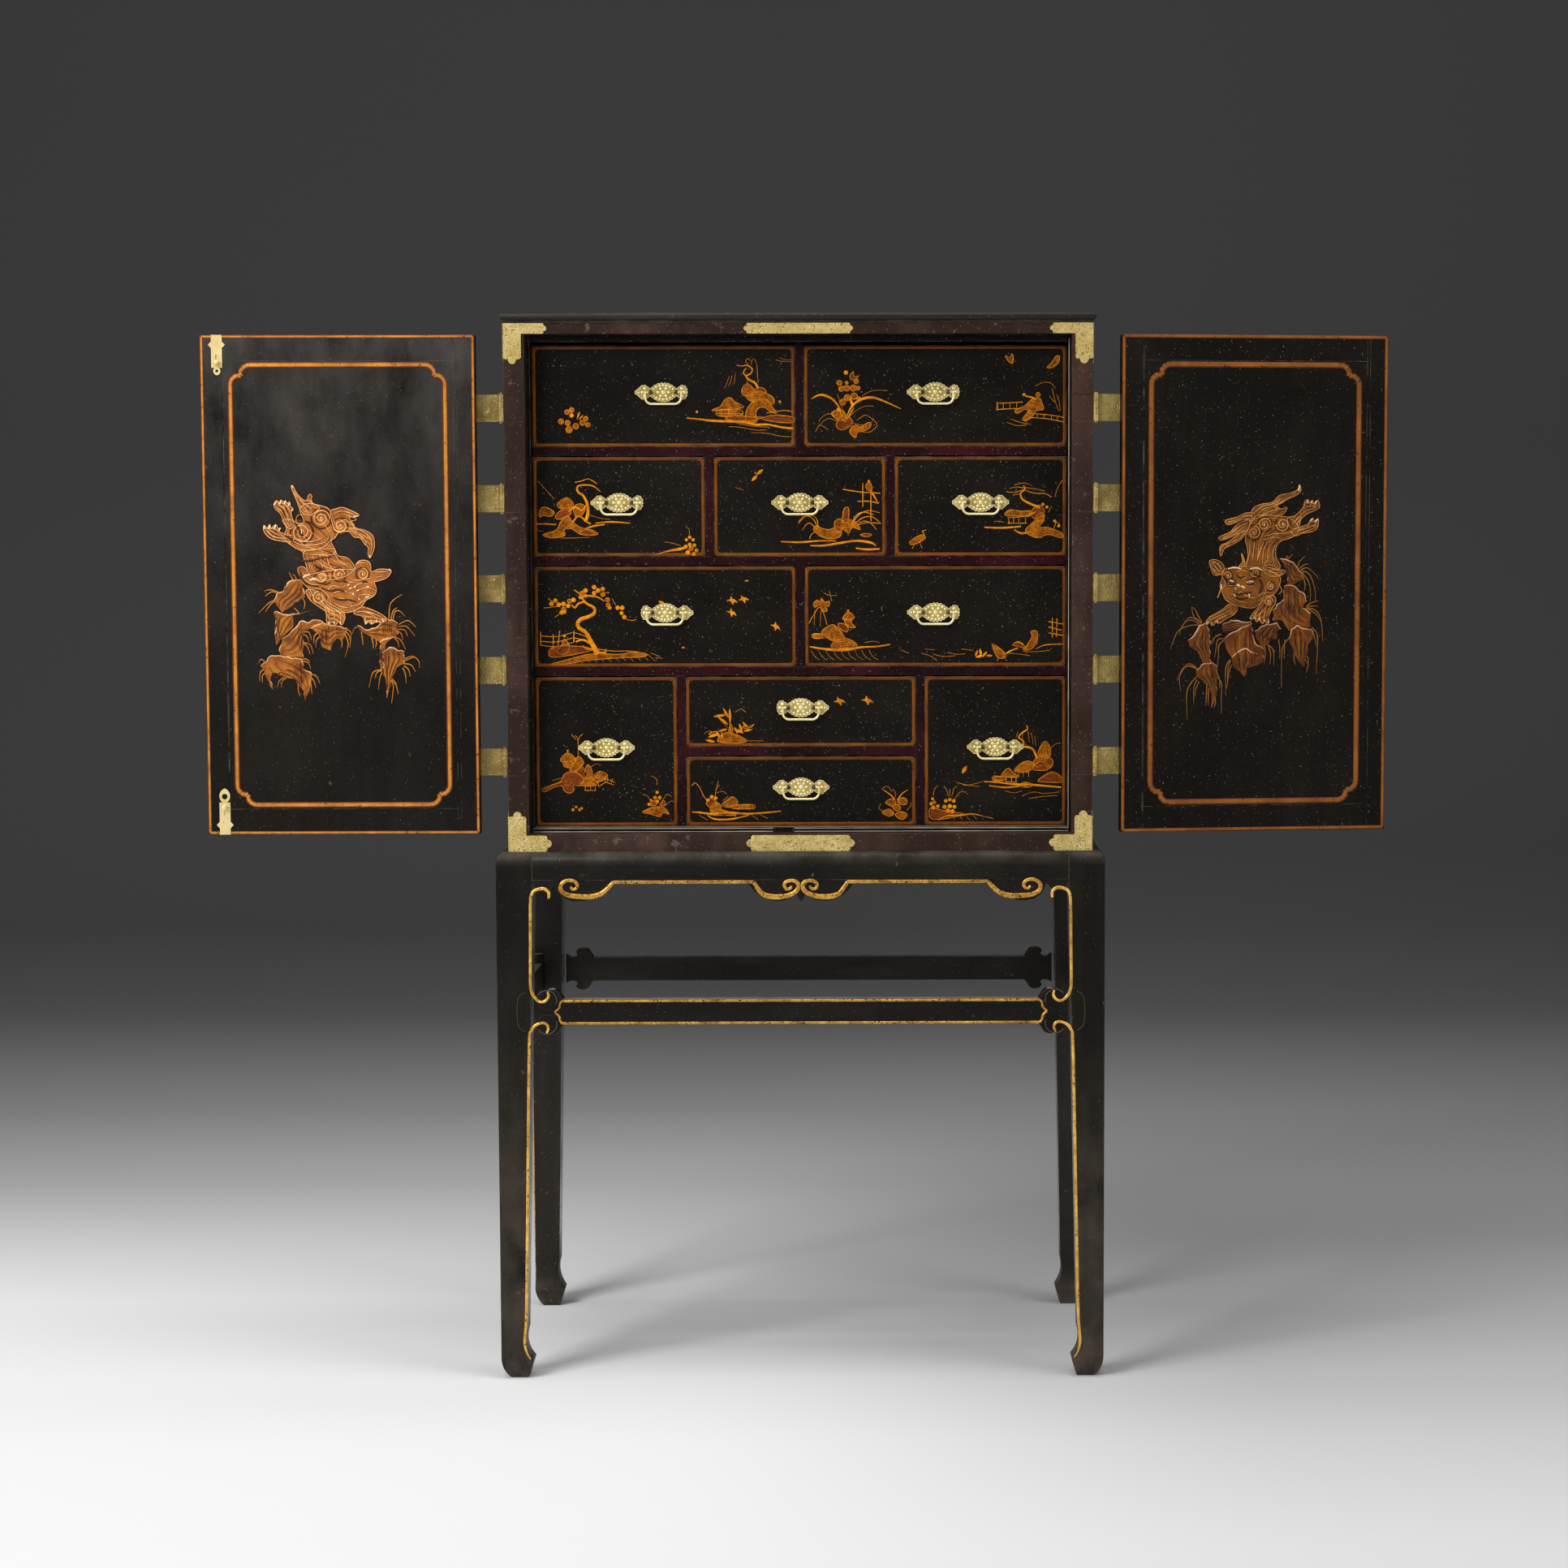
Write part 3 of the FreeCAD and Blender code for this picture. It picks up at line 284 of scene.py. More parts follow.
def brassMaterial(name, engraving, bright=(1.0, 0.82, 0.40), dull=(0.80, 0.60, 0.22)):
    # Yellow brass with painted shade in its hollows; engraving is the scale of the cut pattern, or 0 for plain
    # metal
    material, tree, shader = surface(name, bright, 0.28, 0.45, 0.5)
    tone = mixColor(tree, noiseMask(tree, scale=30.0, low=0.35, high=0.7), bright, dull)
    tone = mixColor(tree, noiseMask(tree, scale=150.0, low=0.66, high=0.76), tone, (0.16, 0.10, 0.05))
    # Painted shade: dark brown in the crevices
    tone = mixColor(tree, hollows(tree, 1.6, 0.45, 0.9), (0.10, 0.06, 0.015), tone)
    if engraving:
        coords = addNode(tree, "TexCoord").outputs["Object"]
        swirl = addNode(tree, "TexNoise", {"Vector": coords, "Scale": engraving, "Detail": 2.0,
                                           "Distortion": 2.5}).outputs[0]
        cut = addNode(tree, "Math", {0: times(tree, swirl, 30.0)}, operation="SINE").outputs[0]
        groove = mapped(tree, cut, -1.0, -0.35)
        tone = mixColor(tree, groove, (0.30, 0.19, 0.05), tone)
        bump(tree, shader, groove, 0.6)
    tree.links.new(tone, shader.inputs["Base Color"])
    return material


lacquer = paintedWood("Black lacquer", finishes["lacquer"], (1, 1, 0.25))
# The lining: painted sheen on the faces that look up
ledgePaint = paintedWood("Rubbed ledge with painted sheen", finishes["lacquer"], (0.25, 1, 0.25), edgeWear=1.4, pale="upward")
drawerLacquer = paintedWood("Drawer lacquer", finishes["lacquer"], (0.25, 1, 1), edgeWear=2.0)
# The left door: lacquer bloom, and a painted sheen that lightens the upper part of its outer face
bloomAndSheen = paintedWood("Black lacquer with bloom and painted sheen", finishes["lacquer"], (1, 1, 0.06), gloss=0.14,
                      bands=[wear["doorBloomAndSheen"]], face=(-0.242, -0.246))
ebonised = paintedWood("Ebonised wood", finishes["ebonised"], (1, 1, 0.12), wearLow=0.72)
# The top board and frieze: lighter towards the top, rubbing and a painted sheen along the rounded top edge
standTop = paintedWood("Ebonised top rail", finishes["ebonised"], (0.12, 0.12, 1), 0.68, 0.14, 1.6,
                       bands=[wear["top"]])
# The front legs: the bands above, and painted sheen on their inner faces
standLeg = paintedWood("Ebonised leg", finishes["ebonised"], (1, 1, 0.12), 0.68, 0.12, 1.6,
                       bands=[wear["top"], wear["leg"], wear["foot"]], pale="inward")
# The rear legs: a lighter copy of the ebonised tones as painted light, and painted sheen on their inner faces
rearLeg = paintedWood("Ebonised rear leg", finishes["rearWood"], (1, 1, 0.12), 0.68, 0.16, 2.4,
                      bands=[wear["foot"]], pale="inward")
# The rails: painted sheen on the faces that look up
ebonisedRail = paintedWood("Ebonised rail", finishes["ebonised"], (0.12, 0.12, 1), 0.68, 0.14, 1.8,
                           pale="upward")
# The rear stretcher: a lighter copy of the ebonised tones as painted light, and painted sheen on its top
rearRail = paintedWood("Rear rail", finishes["rearRail"], (0.12, 0.12, 1), 0.68, 0.14, 1.8, pale="upward")
# Pale hairlines at the joints, and painted highlights on the rims of the bosses
paleRim = paintedWood("Joint lines and painted rim highlight", finishes["rim"], (1, 1, 1), 0.68, 0.14, 0)
# Pale lines on the lining's edges: rubbing and painted highlight
paleLedge = paintedWood("Bare ledge with painted highlight", finishes["rubbedLedgeHighlight"], (0.3, 1, 1), 0.68, 0.14, 0)
cornicePaint = paintedWood("Cornice paint", finishes["rearWood"], (0.12, 0.12, 1), 0.66, 0.14, 1.8)
frameRed = paintedWood("Worn red brown lacquer", finishes["frameRed"], (0.5, 1, 0.12), wearLow=0.62)
backWood = paintedWood("Stained back boards", finishes["backWood"], (1, 1, 0.1), edgeWear=0)
crimson = paintedWood("Crimson lacquer", finishes["crimson"], (0.3, 1, 0.3))
plainWood, plainTree, plainShader = surface("Plain wood", (0.16, 0.085, 0.04), 0.6)
plainGrain = noiseMask(plainTree, scale=12.0, low=0.3, high=0.7, stretch=(1, 0.08, 1))
plainTree.links.new(mixColor(plainTree, plainGrain, (0.20, 0.11, 0.055), (0.09, 0.045, 0.02)),
                    plainShader.inputs["Base Color"])
bump(plainTree, plainShader, noiseMask(plainTree, scale=60.0, low=0.2, high=0.8, stretch=(1, 0.06, 1)), 0.2)

# Gold work: bright, dull and worn ground tones, then what differs from the usual; deep paints the ground tone
# as shade in the hollows.
giltLeaf = {"metallic": 0.45, "rough": 0.30, "scale": 90.0, "deep": 3.0}
paint = {"metallic": 0.1, "rough": 0.45, "scale": 200.0, "gloss": 0.12}
edgePaint = {"metallic": 0.1, "rough": 0.5, "scale": 60.0, "gloss": 0.15}
gilt = goldMaterial("Gilt moulding", (0.80, 0.42, 0.066), (0.27, 0.120, 0.018), (0.05, 0.022, 0.010),
                    wearLow=0.55, **giltLeaf)
giltLeg = goldMaterial("Gilt leg bead", (1.0, 0.58, 0.11), (0.48, 0.235, 0.036), (0.07, 0.030, 0.012),
                       wearLow=0.58, **giltLeaf)
goldPaint = goldMaterial("Gold drawing", (0.90, 0.31, 0.002), (0.50, 0.145, 0.001), (0.10, 0.034, 0.006),
                         **paint)
shadePaint = goldMaterial("Shaded gold", (0.60, 0.175, 0.002), (0.18, 0.044, 0.001), (0.035, 0.014, 0.004),
                          wearLow=0.52, **{**paint, "scale": 230.0})
brushPaint = goldMaterial("Dark brush line", (0.080, 0.026, 0.004), (0.035, 0.012, 0.003), (0.02, 0.01, 0.005),
                          **paint)
borderPaint = goldMaterial("Painted edge", (0.235, 0.066, 0.002), (0.125, 0.032, 0.002), (0.040, 0.016, 0.005),
                           wearLow=0.62, **edgePaint)
borderDark = goldMaterial("Painted edge in shade", (0.170, 0.050, 0.005), (0.090, 0.028, 0.004),
                          (0.025, 0.012, 0.006), **edgePaint)
redPaint = goldMaterial("Red gold ground", (0.30, 0.062, 0.003), (0.13, 0.022, 0.003), (0.05, 0.018, 0.006),
                        metallic=0.15, rough=0.5, wearLow=0.56, scale=150.0, gloss=0.12)
bandRed = goldMaterial("Red band", (0.22, 0.060, 0.010), (0.12, 0.030, 0.007), (0.04, 0.02, 0.012),
                       metallic=0.2, rough=0.5)
# The door bands: the right one is painted darker, as painted shade on the door farther from the key lamp
bandGold = [goldMaterial("Gold band left", (0.78, 0.29, 0.030), (0.44, 0.145, 0.018), (0.12, 0.05, 0.02),
                         metallic=0.3, rough=0.40),
            goldMaterial("Gold band right", (0.33, 0.104, 0.004), (0.20, 0.056, 0.003), (0.05, 0.020, 0.006),
                         metallic=0.12, rough=0.42)]
postMetal = goldMaterial("Dark post", (0.12, 0.09, 0.06), (0.05, 0.035, 0.025), (0.02, 0.015, 0.01),
                         metallic=0.9, rough=0.4)
# The right door's tones are painted darker, as painted shade on the door farther from the key lamp. ridge,
# shine and rim are painted highlights on the raised strands, points and rock tops; groove is painted shade in
# the crevices, and also draws the rock streaks and face lines
lionTones = {  # bright and dull
    "left": {
        "body": ((0.58, 0.195, 0.034), (0.31, 0.086, 0.013)),
        "ridge": ((0.95, 0.50, 0.17), (0.66, 0.26, 0.065)),
        "shine": ((1.0, 0.86, 0.64), (1.0, 0.66, 0.36)),
        "groove": ((0.11, 0.030, 0.006), (0.045, 0.013, 0.004)),
        "rock": ((0.47, 0.155, 0.020), (0.15, 0.040, 0.008)),
        "rim": ((1.0, 0.60, 0.32), (0.62, 0.24, 0.07)),
        "grass": ((0.66, 0.24, 0.022), (0.34, 0.11, 0.012)),
    },
    "right": {
        "body": ((0.27, 0.088, 0.008), (0.14, 0.042, 0.004)),
        "ridge": ((0.60, 0.26, 0.055), (0.31, 0.108, 0.014)),
        "shine": ((0.90, 0.68, 0.42), (0.60, 0.38, 0.18)),
        "groove": ((0.050, 0.018, 0.006), (0.020, 0.008, 0.004)),
        "rock": ((0.22, 0.062, 0.005), (0.085, 0.023, 0.004)),
        "rim": ((0.72, 0.42, 0.26), (0.34, 0.15, 0.06)),
        "grass": ((0.30, 0.120, 0.016), (0.17, 0.062, 0.010)),
    },
}


def lionMaterial(side, part):
    bright, dull = lionTones[side][part]
    polished = part in ("ridge", "shine")
    return goldMaterial(f"{part} gold {side}", bright, dull, lionTones[side]["groove"][1], metallic=0.12,
                        rough=0.30 if polished else 0.42, wearLow=0.62, scale=120.0,
                        gloss=0.3 if polished else 0.16)


lionGold = {side: {part: lionMaterial(side, part) for part in tones} for side, tones in lionTones.items()}
brass = brassMaterial("Brass", 0.0)
engravedBrass = brassMaterial("Engraved brass", 70.0, (0.86, 0.68, 0.27), (0.64, 0.46, 0.14))
# The handle plates take a darker brass, painted shade between the raised work; the raised work and the bails
# take a brighter brass, partly painted highlight
plateBrass = brassMaterial("Handle plate brass", 0.0, (0.66, 0.52, 0.17), (0.40, 0.29, 0.07))
handleBrass = brassMaterial("Handle brass", 0.0, (1.0, 0.90, 0.50), (0.92, 0.74, 0.32))
agedBrass = brassMaterial("Aged brass", 45.0, (0.50, 0.37, 0.12), (0.22, 0.15, 0.04))
print("materials made")


def addPiece(name, mesh, material, body, slot, *nodes):
    # A finished piece on its body; nodes are the solids that it replaces
    obj = bpy.data.objects.new(name, mesh)
    scene.collection.objects.link(obj)
    mesh.materials.clear()
    mesh.materials.append(material)
    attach(obj, body)
    if nodes:
        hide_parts(*nodes)
    return obj


def dress(node, material):
    # A solid keeps its own shape and takes a material
    mesh = bpy.data.objects[node].data
    if not mesh.materials:
        mesh.materials.append(material)
    for index in range(len(mesh.materials)):
        mesh.materials[index] = material


def softened(node, body, material, slot, width=0.8, segments=2):
    # A copy of a solid with its edges eased, shown in place of it
    mesh = bpy.data.objects[node].data.copy()
    shape = bmesh.new()
    shape.from_mesh(mesh)
    bmesh.ops.remove_doubles(shape, verts=shape.verts, dist=1e-5)
    bmesh.ops.dissolve_limit(shape, angle_limit=math.radians(1.0), verts=shape.verts, edges=shape.edges)
    shape.to_mesh(mesh)
    shape.free()
    obj = addPiece(node + "_eased", mesh, material, body, slot, node)
    bevel = obj.modifiers.new("Eased edges", "BEVEL")
    bevel.width = width * mm
    bevel.segments = segments
    bevel.limit_method = "ANGLE"
    bevel.angle_limit = math.radians(40)
    bevel.harden_normals = False
    return obj


def curveMesh(curve):
    holder = bpy.data.objects.new("holder", curve)
    scene.collection.objects.link(holder)
    graph = bpy.context.evaluated_depsgraph_get()
    mesh = bpy.data.meshes.new_from_object(holder.evaluated_get(graph))
    bpy.data.objects.remove(holder)
    bpy.data.curves.remove(curve)
    return mesh


def rounded(points, closed, steps=4):
    # A smooth line that passes through the given points
    count = len(points)
    if count < 3:
        return points
    result = []
    for i in range(count if closed else count - 1):
        p = [points[(i + k) % count] if closed else points[min(max(i + k, 0), count - 1)]
             for k in (-1, 0, 1, 2)]
        for step in range(steps):
            t = step / steps
            result.append(tuple(
                0.5 * (2 * p[1][axis] + (p[2][axis] - p[0][axis]) * t
                       + (2 * p[0][axis] - 5 * p[1][axis] + 4 * p[2][axis] - p[3][axis]) * t * t
                       + (3 * p[1][axis] - p[0][axis] - 3 * p[2][axis] + p[3][axis]) * t ** 3)
                for axis in (0, 1)))
    return result if closed else result + [points[-1]]


def addSpline(curve, points, widths, closed=False, straight=False):
    # A run of points in millimetres whose width goes evenly through the given widths
    if not straight:
        points = rounded(points, closed)
    spline = curve.splines.new("POLY")
    spline.points.add(len(points) - 1)
    if not isinstance(widths, (list, tuple)):
        widths = [widths]
    for i, ((x, y), knot) in enumerate(zip(points, spline.points)):
        knot.co = (x * mm, y * mm, 0, 1)
        share = i / max(1, len(points) - 1) * (len(widths) - 1)
        low = min(int(share), max(len(widths) - 2, 0))
        high = min(low + 1, len(widths) - 1)
        knot.radius = (widths[low] + (widths[high] - widths[low]) * (share - low)) * mm / 2
    spline.use_cyclic_u = closed
    return spline


def strokes(name, lines, flatness=0.25, sides=1):
    # Lines drawn as low rounded ridges; each line is (points, width or widths, closed)
    curve = bpy.data.curves.new(name, "CURVE")
    curve.dimensions = "3D"
    curve.bevel_depth = 1.0
    curve.bevel_resolution = sides
    curve.use_fill_caps = True
    for line in lines:
        addSpline(curve, line[0], line[1], len(line) > 2 and line[2])
    mesh = curveMesh(curve)
    mesh.transform(Matrix.Diagonal((1, 1, flatness, 1)))
    return mesh


def shapes(name, outlines, thick, edge=0.0, straight=False):
    # Flat filled shapes of the given thickness, with rounded edges; they may overlap
    meshes = []
    for step, outline in enumerate(outlines):
        curve = bpy.data.curves.new(name, "CURVE")
        curve.dimensions = "2D"
        curve.fill_mode = "BOTH"
        curve.extrude = (max(thick / 2 - edge, 0.01) + 0.01 * step) * mm
        curve.bevel_depth = edge * mm
        curve.bevel_resolution = 1
        curve.offset = -edge * mm
        addSpline(curve, outline, 2.0 / mm, True, straight)
        meshes.append(curveMesh(curve))
    return joined(name, meshes)


def facing(origin, right=(1, 0, 0)):
    # Turns a drawing's x, y and height into a place on an upright face
    across, up = Vector(right).normalized(), Vector((0, 0, 1))
    out = across.cross(up)
    matrix = Matrix((across, up, out)).transposed().to_4x4()
    return Matrix.Translation(Vector(origin)) @ matrix


def moved(points, at, scale=1.0, turn=0.0):
    c, s = math.cos(math.radians(turn)), math.sin(math.radians(turn))
    return [(at[0] + scale * (x * c - y * s), at[1] + scale * (x * s + y * c)) for x, y in points]


def mirrored(lines):
    # The same lines on the other side of the middle
    return [([(-x, y) for x, y in line[0]],) + line[1:] for line in lines]


def joined(name, meshes):
    shape = bmesh.new()
    for mesh in meshes:
        shape.from_mesh(mesh)
    result = bpy.data.meshes.new(name)
    shape.to_mesh(result)
    shape.free()
    return result


def smoothed(mesh, angle=40):
    mesh.polygons.foreach_set("use_smooth", [True] * len(mesh.polygons))
    mesh.set_sharp_from_angle(angle=math.radians(angle))
    return mesh


def pairs(flat):
    return list(zip(flat[::2], flat[1::2]))


def ring(x, y, radius, count=8):
    angles = [2 * math.pi * i / count for i in range(count)]
    return [(x + radius * math.cos(angle), y + radius * math.sin(angle)) for angle in angles]


def leafShape(x, y, long, wide, turn):
    half = [(-0.5, 0), (-0.2, 0.42), (0.12, 0.5), (0.5, 0)]
    points = half + [(u, -v) for u, v in half[-2:0:-1]]
    return moved([(u * long, v * wide) for u, v in points], (x, y), turn=turn)


def spiral(x, y, radius, turns, start=0.0, flip=1, count=16):
    # A line that winds in to 15 % of its radius
    points = []
    for i in range(count + 1):
        reach = radius * (1 - 0.85 * i / count)
        angle = math.radians(start) + turns * 2 * math.pi * i / count
        points.append((x + flip * reach * math.cos(angle), y + reach * math.sin(angle)))
    return points


stand = {
    "half": 455.0, "front": -250.0, "inner": 401.0, "innerDeep": 196.0, "friezeLow": 758.0, "top": 800.0,
    "bead": 4.6, "beadProud": 0.4, "beadLevel": 755.1, "round": 13.0,
}


def outerTop(edge, slack=1.0):
    # Whether an edge of a leg runs along the outside of the stand at its top
    one, two = (v.co for v in edge.verts)
    half, deep, top = stand["half"], -stand["front"], (stand["top"] - slack) * mm
    outside = all(abs(co.x) > (half - slack / 2) * mm or abs(co.y) > (deep - slack / 2) * mm
                  for co in (one, two))
    along = abs(one.x + two.x) > 2 * (half - slack) * mm or abs(one.y + two.y) > 2 * (deep - slack) * mm
    return one.z > top and two.z > top and outside and along


for leg in ("front_left", "front_right", "rear_left", "rear_right"):
    material = rearLeg if "rear" in leg else standLeg
    piece = softened("stand_leg_" + leg, "case", material, "ebonised_wood", 1.2, 3)
    shape = bmesh.new()
    shape.from_mesh(piece.data)
    bmesh.ops.bevel(shape, geom=[edge for edge in shape.edges if outerTop(edge)], offset=stand["round"] * mm,
                    segments=6, affect="EDGES", profile=0.5, material=-1)
    shape.to_mesh(piece.data)
    shape.free()
softened("stand_top_board", "case", standTop, "ebonised_wood", 0.5, 1)
softened("stand_frieze", "case", standTop, "ebonised_wood", 0.8)

# A stretcher end going inward from the leg: distance from the leg, height above the bar.
bracket = [(0, 4), (4, 1.5), (9, 0), (14, 0), (17.5, 1.5), (18.6, 4), (18, 6.5), (16, 8.8), (18.5, 12),
           (22, 14), (27, 15), (32, 14.3), (36, 12.2), (39.5, 8.5), (42, 4), (45, 0)]
rails = {"low": 540.0, "high": 579.0, "thick": 22.0, "middle": 237.5, "deepMiddle": 442.5, "edge": 1.2}


def railOutline(half):
    # A stretcher seen from its side, with a scrolled bracket above and below at each end
    upper = [(-half + d, rails["high"] + h) for d, h in bracket]
    upper += [(-x, z) for x, z in upper[::-1]]
    return upper + [(x, rails["low"] + rails["high"] - z) for x, z in upper[::-1]]


def rail(half, right, origin):
    # One stretcher, that runs to the right from its middle and back
    mesh = shapes("rail", [railOutline(half)], rails["thick"], rails["edge"], True)
    mesh.transform(facing(Vector(origin) * mm, right))
    return mesh


front, back = [rail(stand["inner"], (1, 0, 0), (0, side * rails["middle"], 0)) for side in (-1, 1)]
ends = [rail(stand["innerDeep"], (0, 1, 0), (side * rails["deepMiddle"], 0, 0)) for side in (-1, 1)]
addPiece("stretchers_scrolled", smoothed(joined("stretchers", [front] + ends), 35), ebonisedRail, "case",
         "ebonised_wood", "stand_stretchers")
addPiece("stretchers_scrolled_rear", smoothed(joined("stretchers", [back]), 35), rearRail, "case",
         "ebonised_wood")

# A scroll from where it leaves the straight bead to the eye of its volute, x out and y down.
scroll = [(0, 0), (8, 9), (18, 17), (32, 21.4), (52, 21.4), (68, 19), (77, 13), (78, 4), (70, -2.6),
          (59, -2.2), (53.4, 3.4), (55.2, 9), (60.5, 10.6), (63.4, 6.6)]
pairScroll = [(0, 0), (4.6, 7.7), (13.8, 18.5), (29, 22.5), (47.7, 21.5), (63, 14.5), (67, 4.6),
              (60.5, -1.6), (50.4, -1.0), (45.4, 4), (48, 10.4), (54.5, 10), (56, 6)]
scrollWidths = [5.2, 6.4, 7.6, 7.8, 7.4, 7.0, 6.6, 6.0, 5.6, 5.2, 5.0, 4.6, 4.2, 3.6]
scrollStart = {"corner": -280.0, "pair": -70.0}
# The beads of the left front leg: hooked at both ends above the stretcher, then down to the foot.
legUpper = [(-376.5, 731), (-376, 739), (-381.5, 745), (-389.5, 745.5), (-398.5, 742), (-403, 733),
            (-404, 712), (-404.5, 663), (-404.8, 630), (-405, 602), (-403.5, 591), (-398.5, 581.5),
            (-390.5, 575.5), (-382.5, 577), (-378, 584), (-379.5, 591)]
legLower = [(-381.5, 528), (-379, 534.5), (-381.5, 541.5), (-388.5, 543.5), (-398.5, 539.5), (-405, 530.5),
            (-407.5, 516), (-410.3, 400), (-413.4, 250), (-416.1, 120), (-417.3, 85), (-418.7, 70),
            (-419.6, 58.5), (-418.6, 48), (-415.4, 38.5), (-410.8, 31)]
# The beads of the front stretcher: heights of both, then the notch where they meet at its end.
railBead = {"high": 576.3, "low": 542.7, "wide": 3.8, "endWide": 3.4,
            "end": [(-358, 576.3), (-361, 572), (-362.5, 565.5), (-368.6, 559.5)]}


def headBeads():
    # Gilt beads along the left half of the front frieze: corner scroll, scroll of the pair, straight
    level, corner, pair = stand["beadLevel"], scrollStart["corner"], scrollStart["pair"]
    return [([(corner - x, level - y) for x, y in scroll], scrollWidths),
            ([(pair + x, level - y) for x, y in pairScroll], scrollWidths),
            ([(corner, level), (-200, level), (-150, level), (pair, level)], scrollWidths[0])]


def railBeads():
    end = railBead["end"]
    lines = [([(end[0][0], z), (-300, z), (-150, z), (0, z)], railBead["wide"])
             for z in (railBead["high"], railBead["low"])]
    lower = [(x, railBead["high"] + railBead["low"] - z) for x, z in end[::-1]]
    return lines + [(end, railBead["endWide"]), (lower, railBead["endWide"])]


def legBeads():
    return [(legUpper, [3.6] + [stand["bead"]] * 14 + [3.6]),
            (legLower, [3.6] + [stand["bead"]] * 12 + [3.8, 3.0, 2.4])]


def onSide(lines):
    # The same beads for a side, which is narrower than the front
    shift = stand["inner"] - stand["innerDeep"]
    return [([(min(x + shift, 0), z) for x, z in line[0]],) + line[1:] for line in lines]


def beads(left, right=(1, 0, 0)):
    # The left half of a set of beads and its mirror image, on the side of the stand that runs to the right
    mesh = strokes("beads", left + mirrored(left), 0.5, 2)
    out = Vector(right).cross(Vector((0, 0, 1)))
    reach = (-stand["front"] if abs(out.y) > 0.5 else stand["half"]) - stand["beadProud"]
    mesh.transform(facing(out * reach * mm, right))
    return smoothed(mesh)


addPiece("front_gilt_beads", beads(headBeads() + railBeads()), gilt, "case", "ebonised_wood")
addPiece("front_leg_beads", beads(legBeads()), giltLeg, "case", "ebonised_wood")
corner, level = scrollStart["corner"], stand["beadLevel"]
sideHead = [headBeads()[0], ([(corner, level), (corner + 75, level)], scrollWidths[0])]
for word, right in (("left", (0, -1, 0)), ("right", (0, 1, 0))):
    addPiece(f"side_{word}_gilt_beads", beads(onSide(sideHead + railBeads()), right), gilt, "case",
             "ebonised_wood")
    addPiece(f"side_{word}_leg_beads", beads(onSide(legBeads()), right), giltLeg, "case", "ebonised_wood")

jointMarks = {"octagon": [(-413, 590), (-424, 579), (-424, 541), (-413, 530)],
              "mitre": [(-401, 758), (-401, 799)], "boss": (-381.0, 577.5, 15.0), "rim": 1.5}


def jointLines():
    # Hairlines where the stand's parts meet, and painted highlights on the rims of its bosses
    x, z, radius = jointMarks["boss"]
    lines = [(jointMarks["octagon"], 0.9), (jointMarks["mitre"], 0.7)]
    turns = [math.radians(turn) for turn in range(-20, 150, 15)]
    for at, way in ((z, 1), (rails["low"] + rails["high"] - z, -1)):
        rim = [(x + radius * math.cos(turn), at + way * radius * math.sin(turn)) for turn in turns]
        lines.append((rim, jointMarks["rim"]))
    mesh = strokes("joints", lines + mirrored(lines), 0.4, 1)
    mesh.transform(facing((0, (stand["front"] - 0.1) * mm, 0)))
    return mesh


def jointBosses():
    # Low round swellings at the inner corners of the front legs
    x, z, radius = jointMarks["boss"]
    rings = [ring(way * x, at, radius, 24) for way in (-1, 1) for at in (z, rails["low"] + rails["high"] - z)]
    mesh = shapes("bosses", rings, 2.0, 0.8, True)
    mesh.transform(facing((0, (stand["front"] + 0.9) * mm, 0)))
    return mesh


addPiece("front_joint_bosses", smoothed(jointBosses(), 35), ebonised, "case", "ebonised_wood")
addPiece("front_joint_lines", smoothed(jointLines()), paleRim, "case", "ebonised_wood")
dropOutline = [(-3.5, 0), (-6, -6), (-5, -11), (0, -17), (5, -11), (6, -6), (3.5, 0)]
dropAt = {"y": -243.5, "below": 16.0, "thick": 9.0, "edge": 3.0}
drop = shapes("drop", [dropOutline], dropAt["thick"], dropAt["edge"])
drop.transform(facing((0, dropAt["y"] * mm, (stand["friezeLow"] - dropAt["below"]) * mm)))
addPiece("frieze_drop", smoothed(drop), ebonisedRail, "case", "ebonised_wood")
print("stand dressed")


for board in ("case_side_left", "case_side_right", "case_bottom_board", "case_top_board"):
    softened(board, "case", frameRed, "black_lacquer", 0.7)
softened("case_cornice", "case", cornicePaint, "black_lacquer", 0.8)
softened("case_lining", "case", ledgePaint, "worn_red_lacquer", 0.5, 1)
softened("drawer_rails", "case", crimson, "crimson_lacquer", 0.8)
dress("case_back_panel", backWood)
dress("dust_boards", plainWood)
dress("case_mounts", engravedBrass)
for node in ("case_hinge_leaves", "door_left_hinge_leaves", "door_right_hinge_leaves",
             "bolt_plates", "bolt_top", "bolt_bottom"):
    dress(node, agedBrass if "leaves" in node else brass)

ledge = {"bottom": 6.1, "side": 3.6, "low": 1.4, "width": (1.0, 1.9), "flat": 0.25, "notch": (-42.0, -10.0),
         "step": 20.0, "start": 3}


def rubbedAndHighlitEdge(first, last, chance):
    # A pale line of uneven width along a rubbed edge, partly a painted highlight
    count = max(2, round(math.dist(first, last) / ledge["step"]))
    points = [tuple(a + (b - a) * i / count for a, b in zip(first, last)) for i in range(count + 1)]
    return points, [chance.uniform(*ledge["width"]) for _ in points]


